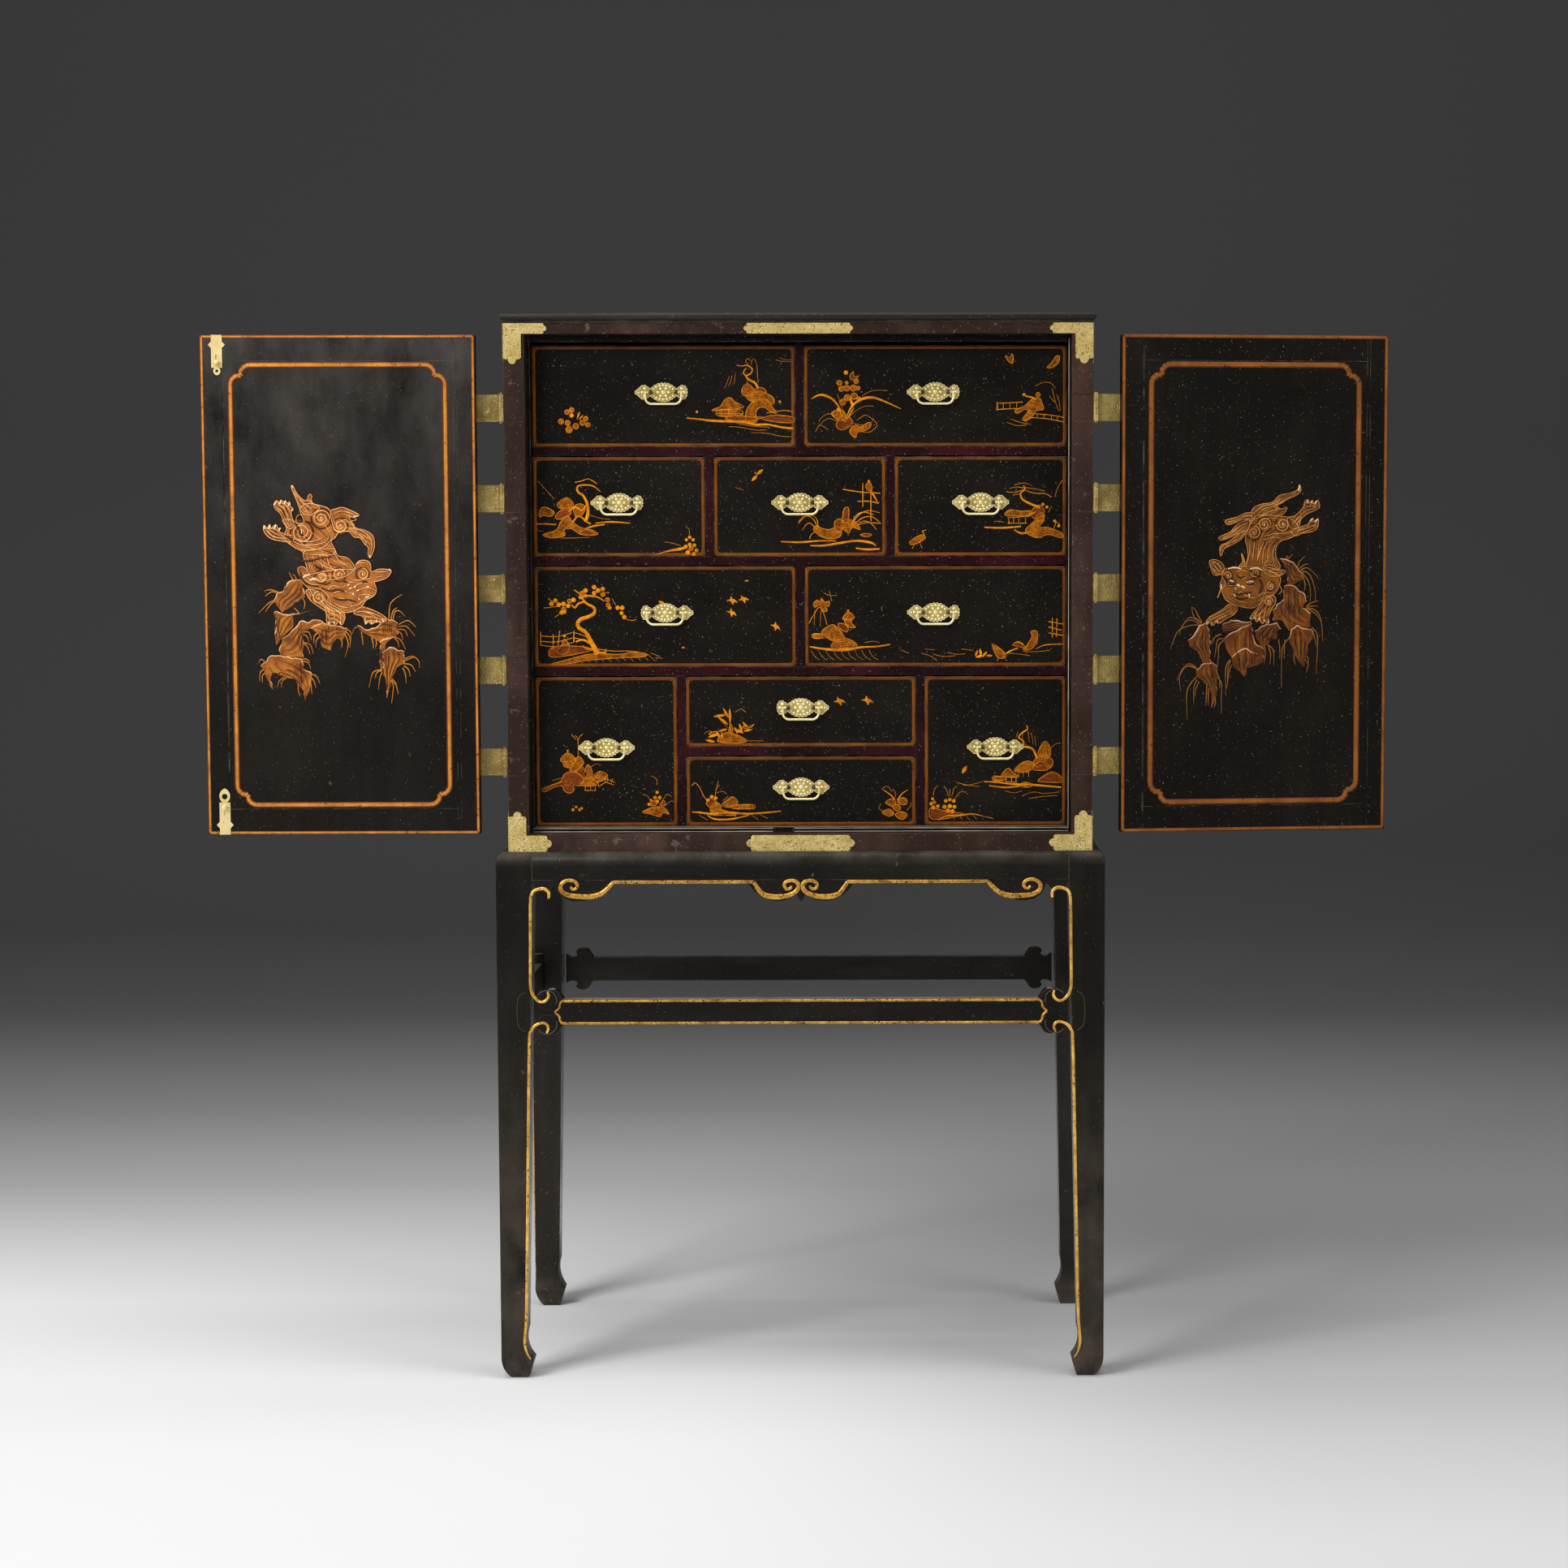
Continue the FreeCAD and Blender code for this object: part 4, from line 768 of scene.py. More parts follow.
def ledgeLines():
    # The rubbed inner edges of the lining, drawn as pale lines that are partly painted highlight, below and on
    # the right, but not at the notch for the bolt plate
    low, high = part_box("case_lining")
    chance = random.Random(ledge["start"])
    side, bottom = high[0] / mm - ledge["side"], low[2] / mm + ledge["bottom"]
    lines = [rubbedAndHighlitEdge((side, bottom), (side, high[2] / mm - ledge["bottom"]), chance)]
    for height in (bottom, low[2] / mm + ledge["low"]):
        lines.append(rubbedAndHighlitEdge((-side, height), (ledge["notch"][0], height), chance))
        lines.append(rubbedAndHighlitEdge((ledge["notch"][1], height), (side, height), chance))
    curve = bpy.data.curves.new("edges", "CURVE")
    curve.dimensions = "3D"
    curve.bevel_depth = 1.0
    curve.bevel_resolution = 0
    for points, widths in lines:
        addSpline(curve, points, widths, False, True)
    mesh = curveMesh(curve)
    mesh.transform(facing((0, low[1], 0)) @ Matrix.Diagonal((1, 1, ledge["flat"], 1)))
    return mesh


addPiece("lining_rubbed_and_highlit_edges", ledgeLines(), paleLedge, "case", "worn_red_lacquer")
print("case dressed")


doors = {"width": 404.0, "height": 738.5, "low": 828.0, "edge": 5.0, "band": 8.5, "inset": 44.0,
         "hingeEdge": 404.5, "innerFace": -214.5, "open": {-1: 180, 1: 187}, "seams": (33.0, 27.0)}


def doorPlace(side):
    # Where the inner face of an open door lies: its lower left corner as seen
    joint = joints["door_left_hinge" if side < 0 else "door_right_hinge"]
    pin = Vector((joint["pos_m"][0], joint["pos_m"][1], 0))
    turn = Matrix.Rotation(side * math.radians(doors["open"][side]), 3, "Z")
    shut = Vector((side * doors["hingeEdge"] * mm, doors["innerFace"] * mm, 0)) - pin
    hingeEdge = turn @ shut + pin
    away = turn @ Vector((-side, 0, 0))
    right = away if side > 0 else -away
    corner = hingeEdge if side > 0 else hingeEdge + away * doors["width"] * mm
    return facing((corner.x, corner.y, doors["low"] * mm), right)


def bandOutline(inset):
    # A frame line whose corners bend inwards
    right, high = doors["width"] - inset, doors["height"] - inset
    half = [(0, 28), (1.2, 23), (5, 18), (10.5, 15.2)]
    bend = half + [(15.8, 15.8)] + [(y, x) for x, y in half[::-1]]
    points = []
    for cx, sx, cy, sy in ((inset, 1, inset, 1), (right, -1, inset, 1), (right, -1, high, -1),
                           (inset, 1, high, -1)):
        corner = [(cx + sx * x, cy + sy * y) for x, y in bend]
        points += corner if sx == sy else corner[::-1]
    return points


def frameLine(width, height, inset):
    # The corners of a rectangle drawn inside a board
    return [(inset, inset), (width - inset, inset), (width - inset, height - inset), (inset, height - inset)]


def lineLoop(points, width):
    # A flat closed line with sharp turns, as separate straight strokes
    count = len(points)
    return [([points[i], points[(i + 1) % count]], width) for i in range(count)]


def doorLines(side):
    place = doorPlace(side)
    word = "left" if side < 0 else "right"
    border = frameLine(doors["width"], doors["height"], doors["edge"] / 2)
    band = bandOutline(doors["inset"])
    for name, size, material, flat in (("under", 1.0, bandRed, 0.03), ("over", 0.72, bandGold[side > 0], 0.07)):
        lines = lineLoop(border, doors["edge"] * size) + lineLoop(band, doors["band"] * size)
        mesh = strokes(name, lines, flat, 1)
        mesh.transform(place)
        addPiece(f"door_{word}_lines_{name}", mesh, material, "door_" + word, "black_lacquer")


# The lions are laid out in two enlarged views of the open doors, x to the right and y down. zoom: how much
# a view is enlarged; start: its first column; edge: the column of the door's left edge; lean: how far that
# shifts in a row; pixel: millimetres in one. The rows are the same for both; top: the row of the door's top.
doorViews = {
    "left": {"zoom": 4.2, "start": 230, "edge": 247.5, "lean": 0.0098, "pixel": 1.192},
    "right": {"zoom": 4.6, "start": 1420, "edge": 1379.6, "lean": -0.0115, "pixel": 1 / 0.807},
    "rows": {"start": 570, "top": 413, "pixel": 1.202, "swirl": 1.2},
}
# Raised lions on rocks. body and rock: outlines; ridge, shine, dark and grass: lines; swirl: place, radius,
# turns, start, direction; heads: the body shapes without strands.
relief = {"rock": 1.4, "body": 2.4, "ridge": 2.0, "strand": 1.15, "rim": 1.5, "grass": 1.7}
lions = {
    "left": {
        "body": [
            [520, 400, 505, 370, 520, 330, 500, 290, 545, 290, 575, 305, 610, 300, 590, 240, 605, 215, 640, 205,
             690, 215, 735, 230, 755, 260, 765, 300, 790, 335, 775, 375, 750, 400, 770, 450, 745, 470, 620, 465,
             600, 450, 560, 430],
            [610, 455, 700, 440, 765, 440, 785, 475, 840, 490, 870, 545, 800, 590, 700, 600, 640, 575, 620,
             520],
            [484, 250, 462, 235, 456, 210, 470, 190, 485, 205, 490, 188, 505, 200, 515, 190, 522, 205, 536, 200,
             540, 222, 556, 235, 545, 250, 550, 290, 560, 320, 530, 335, 510, 300],
            [545, 400, 470, 395, 425, 375, 402, 340, 402, 318, 418, 335, 432, 312, 440, 335, 465, 315, 475, 335,
             488, 330, 480, 350, 520, 365, 555, 370],
            [615, 260, 590, 235, 575, 195, 545, 125, 553, 116, 570, 150, 600, 180, 625, 190, 640, 160, 652, 168,
             650, 200, 690, 225, 650, 260],
            [750, 250, 775, 235, 810, 228, 850, 242, 895, 266, 870, 275, 845, 275, 860, 305, 880, 330, 930, 345,
             968, 372, 975, 430, 955, 480, 945, 470, 945, 430, 925, 415, 905, 385, 870, 378, 845, 350, 800, 350,
             765, 330],
            [575, 545, 600, 530, 620, 545, 640, 570, 700, 560, 790, 545, 870, 545, 880, 515, 905, 498, 940, 502,
             955, 525, 960, 560, 1000, 545, 1060, 550, 1040, 585, 1000, 605, 975, 610, 985, 650, 970, 680, 930,
             705, 905, 740, 850, 765, 790, 765, 720, 745, 665, 700, 640, 650, 600, 610, 588, 580],
            [620, 655, 640, 700, 690, 740, 720, 765, 725, 815, 740, 830, 752, 815, 770, 832, 785, 815, 802, 830,
             822, 790, 800, 755, 740, 720, 690, 670, 650, 650],
            [865, 770, 905, 740, 960, 755, 1010, 780, 1038, 802, 1010, 822, 985, 812, 960, 828, 945, 812, 925,
             828, 915, 790]],
        "rock": [
            [505, 640, 540, 605, 600, 600, 600, 640, 610, 690, 560, 715, 530, 745, 490, 770, 470, 735, 450, 705,
             470, 665, 500, 660],
            [450, 770, 460, 760, 490, 775, 550, 775, 580, 770, 550, 790, 545, 850, 500, 890, 485, 905, 460, 935,
             455, 900, 460, 840, 455, 790],
            [490, 905, 530, 880, 560, 850, 590, 815, 620, 820, 650, 805, 700, 815, 715, 835, 640, 850, 600, 870,
             605, 930, 600, 1000, 540, 1000, 480, 990, 480, 950],
            [700, 820, 740, 835, 800, 840, 830, 850, 820, 880, 800, 915, 780, 900, 755, 930, 745, 965, 700, 945,
             690, 900, 670, 870, 640, 850],
            [380, 1045, 410, 1020, 435, 990, 480, 990, 540, 1005, 590, 1010, 600, 1060, 640, 1080, 640, 1130,
             625, 1190, 610, 1230, 605, 1180, 580, 1150, 560, 1110, 500, 1105, 470, 1080, 440, 1080, 430, 1120,
             440, 1165, 425, 1150, 400, 1090],
            [885, 835, 940, 860, 980, 850, 1035, 800, 1095, 825, 1095, 880, 1080, 895, 1040, 905, 1000, 920,
             960, 900, 930, 880, 895, 860],
            [1020, 970, 1050, 950, 1130, 970, 1130, 1035, 1090, 1050, 1060, 1110, 1045, 1180, 1035, 1200, 1030,
             1120, 1020, 1070],
            [1003, 920, 1040, 905, 1075, 895, 1040, 920, 1020, 970, 1015, 1065, 1003, 1060]],
        "ridge": [
            [530, 405, 570, 435, 640, 445, 720, 425, 757, 375],
            [548, 398, 600, 420, 660, 420, 720, 400, 745, 355], [575, 388, 620, 400, 670, 396, 712, 375],
            [625, 470, 640, 540], [655, 470, 668, 550], [690, 470, 708, 555], [725, 465, 745, 530, 790, 560],
            [760, 450, 795, 505, 850, 535], [560, 150, 595, 190, 630, 215, 650, 245],
            [600, 215, 625, 240, 635, 270], [645, 180, 655, 205], [765, 258, 805, 245, 850, 255, 880, 266],
            [790, 300, 830, 290, 850, 320], [850, 330, 915, 350, 955, 385, 962, 430, 955, 465],
            [870, 350, 910, 375, 935, 410], [505, 215, 515, 250, 530, 300], [490, 240, 515, 290],
            [420, 345, 455, 375, 520, 385], [470, 350, 510, 375], [456, 212, 468, 192], [485, 210, 490, 190],
            [508, 208, 515, 192], [528, 215, 536, 202], [545, 242, 556, 236], [404, 336, 404, 316],
            [428, 334, 432, 312], [458, 334, 464, 315], [478, 345, 488, 332],
            [600, 560, 630, 590, 680, 600, 730, 590], [610, 600, 650, 620, 700, 625],
            [650, 640, 700, 650, 740, 690, 750, 735], [735, 650, 760, 628, 800, 640, 830, 625],
            [760, 665, 800, 655, 850, 668, 885, 695], [780, 690, 830, 700, 860, 730],
            [860, 640, 900, 618, 945, 620], [900, 650, 940, 640, 985, 655], [890, 680, 930, 675, 965, 680],
            [860, 600, 900, 600, 960, 590], [830, 600, 850, 610, 880, 612], [980, 560, 1010, 560, 1045, 555],
            [985, 585, 1015, 578], [880, 520, 900, 508, 935, 512], [700, 720, 735, 750, 735, 800],
            [730, 740, 765, 770, 765, 815], [760, 745, 795, 775, 797, 815], [880, 765, 930, 765, 990, 795],
            [925, 790, 930, 820], [955, 800, 958, 822], [985, 800, 988, 815], [765, 715, 800, 735, 850, 745],
            [850, 735, 890, 725, 930, 695]],
        "swirl": [
            (700, 282, 46, 2, 0, 1), (597, 352, 52, 2, 180, -1), (797, 322, 36, 1.8, 180, 1),
            (912, 570, 30, 1.6, 90, -1), (790, 572, 32, 1.6, 0, 1), (700, 582, 30, 1.4, 180, 1),
            (686, 690, 34, 1.7, 90, 1)],
        "grass": [
            [470, 660, 430, 650, 400, 655], [470, 665, 440, 660, 405, 685], [455, 705, 420, 720, 370, 770],
            [455, 710, 430, 730, 405, 765], [560, 610, 545, 585, 528, 560], [570, 605, 560, 580, 548, 570],
            [600, 695, 612, 720, 605, 750], [555, 745, 575, 760, 585, 780], [600, 870, 630, 870, 645, 910],
            [600, 880, 620, 890, 630, 920], [600, 920, 640, 935, 652, 980], [600, 925, 625, 945, 635, 985],
            [820, 850, 850, 870, 850, 905], [820, 860, 848, 900, 845, 950], [815, 870, 835, 930, 820, 1000],
            [800, 900, 805, 930, 800, 950], [680, 870, 660, 890, 655, 930], [690, 890, 670, 910, 668, 950],
            [400, 1020, 380, 1010, 370, 1030], [395, 1060, 375, 1080, 372, 1125],
            [400, 1080, 385, 1095, 388, 1130], [590, 1010, 620, 1010, 635, 1025],
            [592, 1020, 625, 1025, 640, 1060], [635, 1085, 670, 1095, 685, 1135],
            [635, 1095, 655, 1120, 665, 1160], [632, 1110, 640, 1150, 645, 1190],
            [500, 1105, 475, 1120, 465, 1155], [510, 1108, 490, 1125, 485, 1155],
            [575, 1140, 575, 1170, 580, 1200], [1050, 800, 1060, 720, 1120, 672],
            [1060, 805, 1070, 760, 1090, 745], [1070, 805, 1080, 765, 1105, 760, 1135, 790],
            [1100, 830, 1150, 810, 1192, 845], [1098, 840, 1140, 840, 1185, 890],
            [1095, 855, 1130, 860, 1145, 890], [1095, 865, 1115, 880, 1120, 910],
            [890, 840, 870, 850, 858, 880], [905, 865, 910, 900, 912, 935], [960, 900, 965, 930, 965, 955],
            [980, 905, 985, 930, 978, 950], [1080, 895, 1110, 910, 1135, 960],
            [1075, 897, 1095, 920, 1100, 950], [1130, 1010, 1170, 995, 1205, 1020, 1208, 1055],
            [1130, 1020, 1160, 1005, 1185, 1000], [1130, 1035, 1165, 1040, 1188, 1075],
            [1125, 1045, 1150, 1065, 1160, 1100], [1120, 1055, 1135, 1085, 1138, 1135],
            [1010, 1065, 965, 1080, 943, 1155], [1012, 1070, 985, 1080, 975, 1110],
            [1015, 1075, 1000, 1110, 995, 1165], [1055, 1120, 1070, 1150, 1062, 1240],
            [1060, 1115, 1085, 1145, 1095, 1190], [1062, 1110, 1080, 1130, 1090, 1150],
            [1045, 1150, 1040, 1180, 1035, 1210]],
        "shine": [
            [404, 336, 404, 316], [428, 334, 432, 312], [458, 334, 464, 315], [478, 345, 488, 332],
            [456, 212, 468, 192], [485, 210, 490, 190], [508, 208, 515, 192], [528, 215, 536, 202],
            [545, 242, 556, 236], [735, 815, 735, 830], [765, 812, 766, 826], [797, 812, 797, 826],
            [930, 812, 930, 826], [958, 815, 958, 828], [985, 808, 986, 822], [1015, 800, 1020, 812],
            [838, 628, 845, 622], [845, 645, 858, 640], [868, 640, 880, 632], [884, 655, 895, 650],
            [860, 665, 866, 678], [890, 690, 896, 702], [935, 640, 945, 632], [930, 690, 945, 684],
            [548, 112, 553, 125], [868, 276, 885, 270], [950, 472, 956, 484], [1050, 546, 1062, 550],
            [605, 588, 618, 575, 640, 572], [640, 600, 660, 592, 680, 598]],
        "dark": [
            [812, 612, 822, 606, 834, 610], [915, 615, 925, 606, 938, 612],
            [700, 640, 740, 655, 780, 650, 820, 660], [760, 690, 800, 702, 840, 700, 880, 712],
            [690, 615, 720, 622, 745, 612], [560, 480, 600, 500, 640, 500, 700, 485, 750, 480],
            [590, 560, 600, 600, 640, 625, 680, 630], [660, 520, 680, 535, 720, 545],
            [560, 300, 580, 330, 600, 380], [505, 370, 530, 380, 560, 410]],
        "heads": [6],
    },
    "right": {
        "body": [
            [530, 290, 545, 255, 590, 235, 650, 225, 690, 185, 740, 175, 790, 155, 803, 125, 810, 160, 780, 185,
             740, 205, 700, 230, 660, 250, 700, 262, 730, 255, 715, 285, 680, 300, 600, 300, 545, 320],
            [545, 290, 500, 288, 450, 310, 385, 330, 395, 350, 440, 340, 490, 320, 540, 330],
            [520, 325, 450, 350, 410, 395, 345, 425, 360, 440, 410, 425, 450, 405, 505, 380],
            [500, 395, 470, 435, 420, 465, 375, 490, 358, 533, 350, 500, 356, 470, 390, 455, 440, 420, 490,
             385],
            [735, 315, 780, 300, 825, 255, 832, 225, 850, 210, 860, 228, 878, 215, 885, 235, 905, 215, 915, 250,
             890, 270, 850, 290, 812, 322, 795, 362, 755, 375],
            [755, 395, 795, 372, 850, 350, 862, 330, 880, 315, 885, 335, 910, 320, 905, 370, 870, 392, 820, 402,
             780, 415],
            [495, 430, 510, 380, 545, 312, 600, 295, 680, 305, 745, 312, 795, 362, 790, 405, 740, 430, 700, 442,
             670, 480, 668, 540, 690, 600, 600, 610, 500, 600, 510, 540, 505, 480],
            [365, 615, 400, 600, 500, 592, 580, 598, 620, 610, 690, 650, 685, 700, 660, 745, 600, 785, 550, 822,
             500, 826, 430, 806, 385, 780, 360, 735, 352, 700, 362, 655],
            [293, 558, 335, 553, 370, 585, 366, 625, 320, 637, 300, 600],
            [595, 600, 635, 582, 690, 608, 724, 615, 702, 640, 650, 648, 612, 635],
            [400, 808, 445, 822, 430, 860, 380, 890, 345, 912, 330, 900, 310, 925, 295, 905, 275, 922, 270, 905,
             290, 878, 340, 850, 370, 830],
            [600, 770, 650, 758, 665, 790, 640, 842, 628, 872, 620, 918, 600, 900, 588, 916, 570, 895, 555, 906,
             545, 888, 522, 890, 532, 865, 560, 830, 585, 800],
            [470, 515, 485, 545, 490, 585, 460, 590, 478, 560]],
        "rock": [
            [690, 545, 730, 555, 770, 570, 790, 600, 825, 630, 825, 660, 790, 680, 760, 710, 735, 690, 730,
             610],
            [715, 705, 750, 700, 790, 720, 830, 750, 840, 790, 820, 830, 865, 860, 865, 940, 800, 935, 740, 960,
             720, 930, 700, 900, 650, 900, 650, 840, 690, 800, 710, 780],
            [740, 1000, 760, 950, 790, 930, 830, 950, 875, 960, 880, 1000, 850, 1040, 840, 1100, 825, 1170, 800,
             1140, 770, 1090, 750, 1040],
            [545, 960, 600, 930, 670, 915, 695, 950, 670, 960, 670, 1010, 640, 1000, 620, 1040, 590, 1050, 560,
             1010],
            [375, 1000, 400, 980, 440, 960, 480, 935, 530, 912, 535, 980, 560, 1040, 595, 1060, 590, 1140, 540,
             1160, 500, 1170, 490, 1220, 470, 1200, 450, 1170, 420, 1160, 410, 1100, 385, 1060],
            [365, 920, 410, 900, 470, 905, 525, 903, 530, 930, 480, 935, 430, 950, 370, 965],
            [170, 1010, 200, 985, 235, 930, 265, 915, 290, 960, 295, 1030, 290, 1120, 300, 1140, 250, 1140, 230,
             1090, 200, 1060, 175, 1045],
            [215, 1180, 245, 1150, 300, 1140, 330, 1160, 330, 1240, 325, 1330, 310, 1390, 300, 1340, 290, 1280,
             250, 1240, 215, 1215],
            [415, 1110, 440, 1085, 490, 1060, 520, 1080, 560, 1090, 555, 1140, 520, 1150, 495, 1170, 485, 1220,
             460, 1190, 430, 1165]],
        "ridge": [
            [560, 300, 600, 262, 660, 245, 730, 205, 785, 170],
            [545, 285, 590, 248, 650, 238, 700, 205, 770, 170], [570, 310, 640, 275, 700, 262],
            [395, 340, 450, 325, 500, 302, 540, 300], [360, 430, 415, 405, 460, 365, 510, 340],
            [370, 436, 430, 410, 490, 365], [355, 505, 365, 475, 410, 455, 460, 430, 495, 395],
            [600, 420, 660, 405, 730, 400, 780, 395], [600, 440, 650, 425, 700, 430],
            [520, 450, 515, 520, 500, 590], [545, 450, 540, 520, 530, 590], [570, 470, 565, 540],
            [600, 450, 580, 500, 560, 560], [625, 445, 600, 500, 590, 580], [650, 450, 625, 500, 620, 570],
            [662, 470, 650, 520, 660, 590], [760, 350, 800, 310, 850, 265], [780, 360, 810, 320, 860, 275],
            [790, 385, 840, 375, 890, 355], [833, 245, 850, 212], [862, 250, 878, 218], [885, 255, 906, 218],
            [850, 368, 880, 318], [880, 372, 910, 322], [808, 290, 805, 275], [365, 655, 380, 690, 360, 720],
            [385, 690, 412, 684, 440, 700], [500, 700, 530, 682, 560, 690], [400, 700, 425, 700],
            [515, 702, 545, 698], [440, 720, 460, 708, 480, 712, 485, 730],
            [415, 750, 450, 745, 470, 735, 500, 760, 545, 738], [430, 775, 470, 790, 510, 800],
            [400, 770, 440, 800], [480, 740, 520, 770, 560, 770], [512, 750, 515, 775], [435, 750, 437, 768],
            [560, 760, 600, 740, 640, 740], [560, 790, 600, 765], [600, 690, 610, 730, 590, 760],
            [440, 620, 480, 612, 520, 625], [460, 640, 480, 660, 500, 645], [305, 565, 340, 575, 355, 610],
            [310, 600, 335, 625], [620, 598, 660, 605, 700, 618], [625, 620, 660, 632],
            [285, 900, 340, 870, 400, 845], [300, 915, 350, 885, 400, 862], [335, 912, 335, 890],
            [305, 925, 300, 905], [570, 830, 545, 870, 535, 890], [590, 835, 570, 880, 560, 905],
            [610, 840, 598, 880, 600, 910], [335, 770, 345, 740, 360, 705], [690, 700, 700, 730, 680, 750]],
        "swirl": [
            (605, 352, 38, 1.8, 0, 1), (708, 352, 40, 1.9, 180, 1), (545, 397, 38, 1.8, 90, -1),
            (550, 625, 26, 1.4, 180, 1), (395, 642, 24, 1.4, 0, -1), (638, 702, 24, 1.5, 90, 1),
            (625, 790, 28, 1.6, 0, 1)],
        "grass": [
            [245, 910, 200, 870, 190, 820], [250, 910, 225, 870, 210, 835, 190, 822],
            [245, 915, 180, 880, 130, 940, 120, 980], [240, 925, 180, 925, 110, 960, 70, 1060],
            [238, 920, 190, 895, 150, 910], [730, 560, 740, 545, 765, 525], [725, 555, 730, 535, 740, 530],
            [790, 600, 800, 565, 835, 530], [800, 605, 830, 580, 855, 578], [810, 610, 850, 600, 905, 650],
            [815, 615, 860, 640, 890, 720, 893, 790], [815, 625, 850, 670, 862, 720, 862, 790],
            [818, 640, 835, 690, 830, 730], [840, 820, 870, 800, 912, 788], [838, 825, 870, 820, 905, 820],
            [838, 830, 890, 840, 925, 900, 935, 1020], [845, 835, 890, 860, 920, 900],
            [870, 940, 900, 980, 905, 1060, 893, 1210], [865, 945, 885, 990, 895, 1050],
            [845, 1100, 850, 1140, 840, 1200], [830, 1120, 850, 1150, 848, 1180],
            [770, 1090, 770, 1120, 775, 1155], [740, 1000, 710, 1040, 700, 1100, 697, 1285],
            [680, 1010, 690, 1060, 688, 1120], [600, 1040, 605, 1090, 600, 1150],
            [620, 1040, 650, 1070, 655, 1160], [620, 1045, 635, 1090, 630, 1150],
            [720, 1010, 715, 1060, 712, 1120], [375, 1010, 345, 1040, 340, 1100, 330, 1180],
            [370, 1000, 335, 1010, 325, 1070, 318, 1110], [350, 980, 310, 1000, 300, 1040],
            [355, 975, 320, 990, 310, 1030], [410, 1120, 385, 1150, 378, 1200, 380, 1330],
            [408, 1130, 395, 1170, 390, 1270], [415, 1150, 400, 1190, 385, 1290],
            [220, 1170, 170, 1145, 130, 1180, 105, 1240], [215, 1175, 160, 1160, 120, 1220, 125, 1300],
            [215, 1165, 170, 1155, 140, 1165], [215, 1220, 180, 1260, 160, 1320, 160, 1465],
            [220, 1235, 200, 1280, 200, 1380], [230, 1245, 210, 1290, 205, 1330],
            [275, 1260, 270, 1330, 265, 1390], [285, 1280, 282, 1340, 280, 1385],
            [330, 1220, 355, 1260, 355, 1340, 352, 1430], [330, 1200, 345, 1230, 345, 1290],
            [318, 1340, 320, 1370, 315, 1395], [305, 1350, 300, 1390, 300, 1395]],
        "shine": [
            [800, 160, 803, 130], [850, 228, 850, 212], [868, 228, 878, 217], [890, 232, 904, 217],
            [862, 332, 880, 317], [890, 335, 908, 322], [280, 905, 272, 918], [302, 912, 300, 926],
            [335, 898, 332, 910], [520, 880, 524, 890], [545, 880, 548, 892], [572, 885, 574, 898],
            [597, 890, 600, 902], [622, 900, 624, 912], [402, 668, 418, 672, 430, 678],
            [500, 680, 520, 672, 540, 676], [444, 700, 454, 696, 462, 702], [470, 700, 482, 706, 490, 712],
            [436, 712, 440, 724], [430, 745, 434, 762], [512, 745, 516, 764], [395, 605, 430, 598, 470, 604],
            [520, 604, 560, 600, 590, 610], [360, 690, 358, 720]],
        "dark": [
            [398, 662, 420, 660, 440, 676], [498, 676, 525, 664, 552, 662], [400, 684, 424, 690, 436, 686],
            [504, 690, 530, 690, 545, 682], [425, 742, 455, 750, 490, 742, 530, 736],
            [440, 768, 470, 776, 505, 768], [445, 640, 466, 655, 490, 645], [375, 640, 385, 665, 390, 690],
            [575, 660, 590, 700, 570, 745], [540, 620, 552, 640, 585, 650]],
        "heads": [7],
    },
}


def onDoor(flat, word):
    # Places of a view in whole millimetres from the lower left corner of its door
    view, rows = doorViews[word], doorViews["rows"]
    places = []
    for x, y in pairs(flat):
        down = rows["start"] + y / view["zoom"] - rows["top"]
        across = view["start"] + x / view["zoom"] - view["edge"] - down * view["lean"]
        places.append((round(across * view["pixel"]), round(doors["height"] - down * rows["pixel"])))
    return places


def topEdges(outline):
    # The parts of an outline that face upward, as open lines
    area = sum(x1 * y2 - x2 * y1 for (x1, y1), (x2, y2) in zip(outline, outline[1:] + outline[:1]))
    turn = 1 if area > 0 else -1
    lines, current = [], []
    for (x1, y1), (x2, y2) in zip(outline, outline[1:] + outline[:1]):
        rise = -turn * (x2 - x1) / max(math.dist((x1, y1), (x2, y2)), 0.1)
        if rise > 0.15:
            current = (current or [(x1, y1)]) + [(x2, y2)]
        elif current:
            lines.append(current)
            current = []
    return lines + [current] if current else lines


def jagged(outline, chance, rough=1.3):
    # The outline of a rock with small uneven steps
    points = []
    for (x1, y1), (x2, y2) in zip(outline, outline[1:] + outline[:1]):
        steps = max(1, int(math.dist((x1, y1), (x2, y2)) / 4.5))
        for step in range(steps):
            share = step / steps
            shift = rough if step else 0.0
            points.append((x1 + (x2 - x1) * share + chance.uniform(-shift, shift),
                           y1 + (y2 - y1) * share + chance.uniform(-shift, shift)))
    return points


def flowLines(outline, shares, samples=7):
    # Lines that run along a shape between its two farthest points
    count = len(outline)
    _, i, j = max((math.dist(outline[i], outline[j]), i, j) for i in range(count) for j in range(i))
    first, second = outline[j:i + 1], (outline[i:] + outline[:j + 1])[::-1]

    def sampled(side):
        points = []
        for k in range(samples):
            at = k / (samples - 1) * (len(side) - 1)
            low = min(int(at), len(side) - 2)
            points.append([side[low][axis] + (side[low + 1][axis] - side[low][axis]) * (at - low)
                           for axis in (0, 1)])
        return points

    between = list(zip(sampled(first), sampled(second)))[1:-1]
    return [[tuple(p[axis] + (q[axis] - p[axis]) * share for axis in (0, 1)) for p, q in between]
            for share in shares]


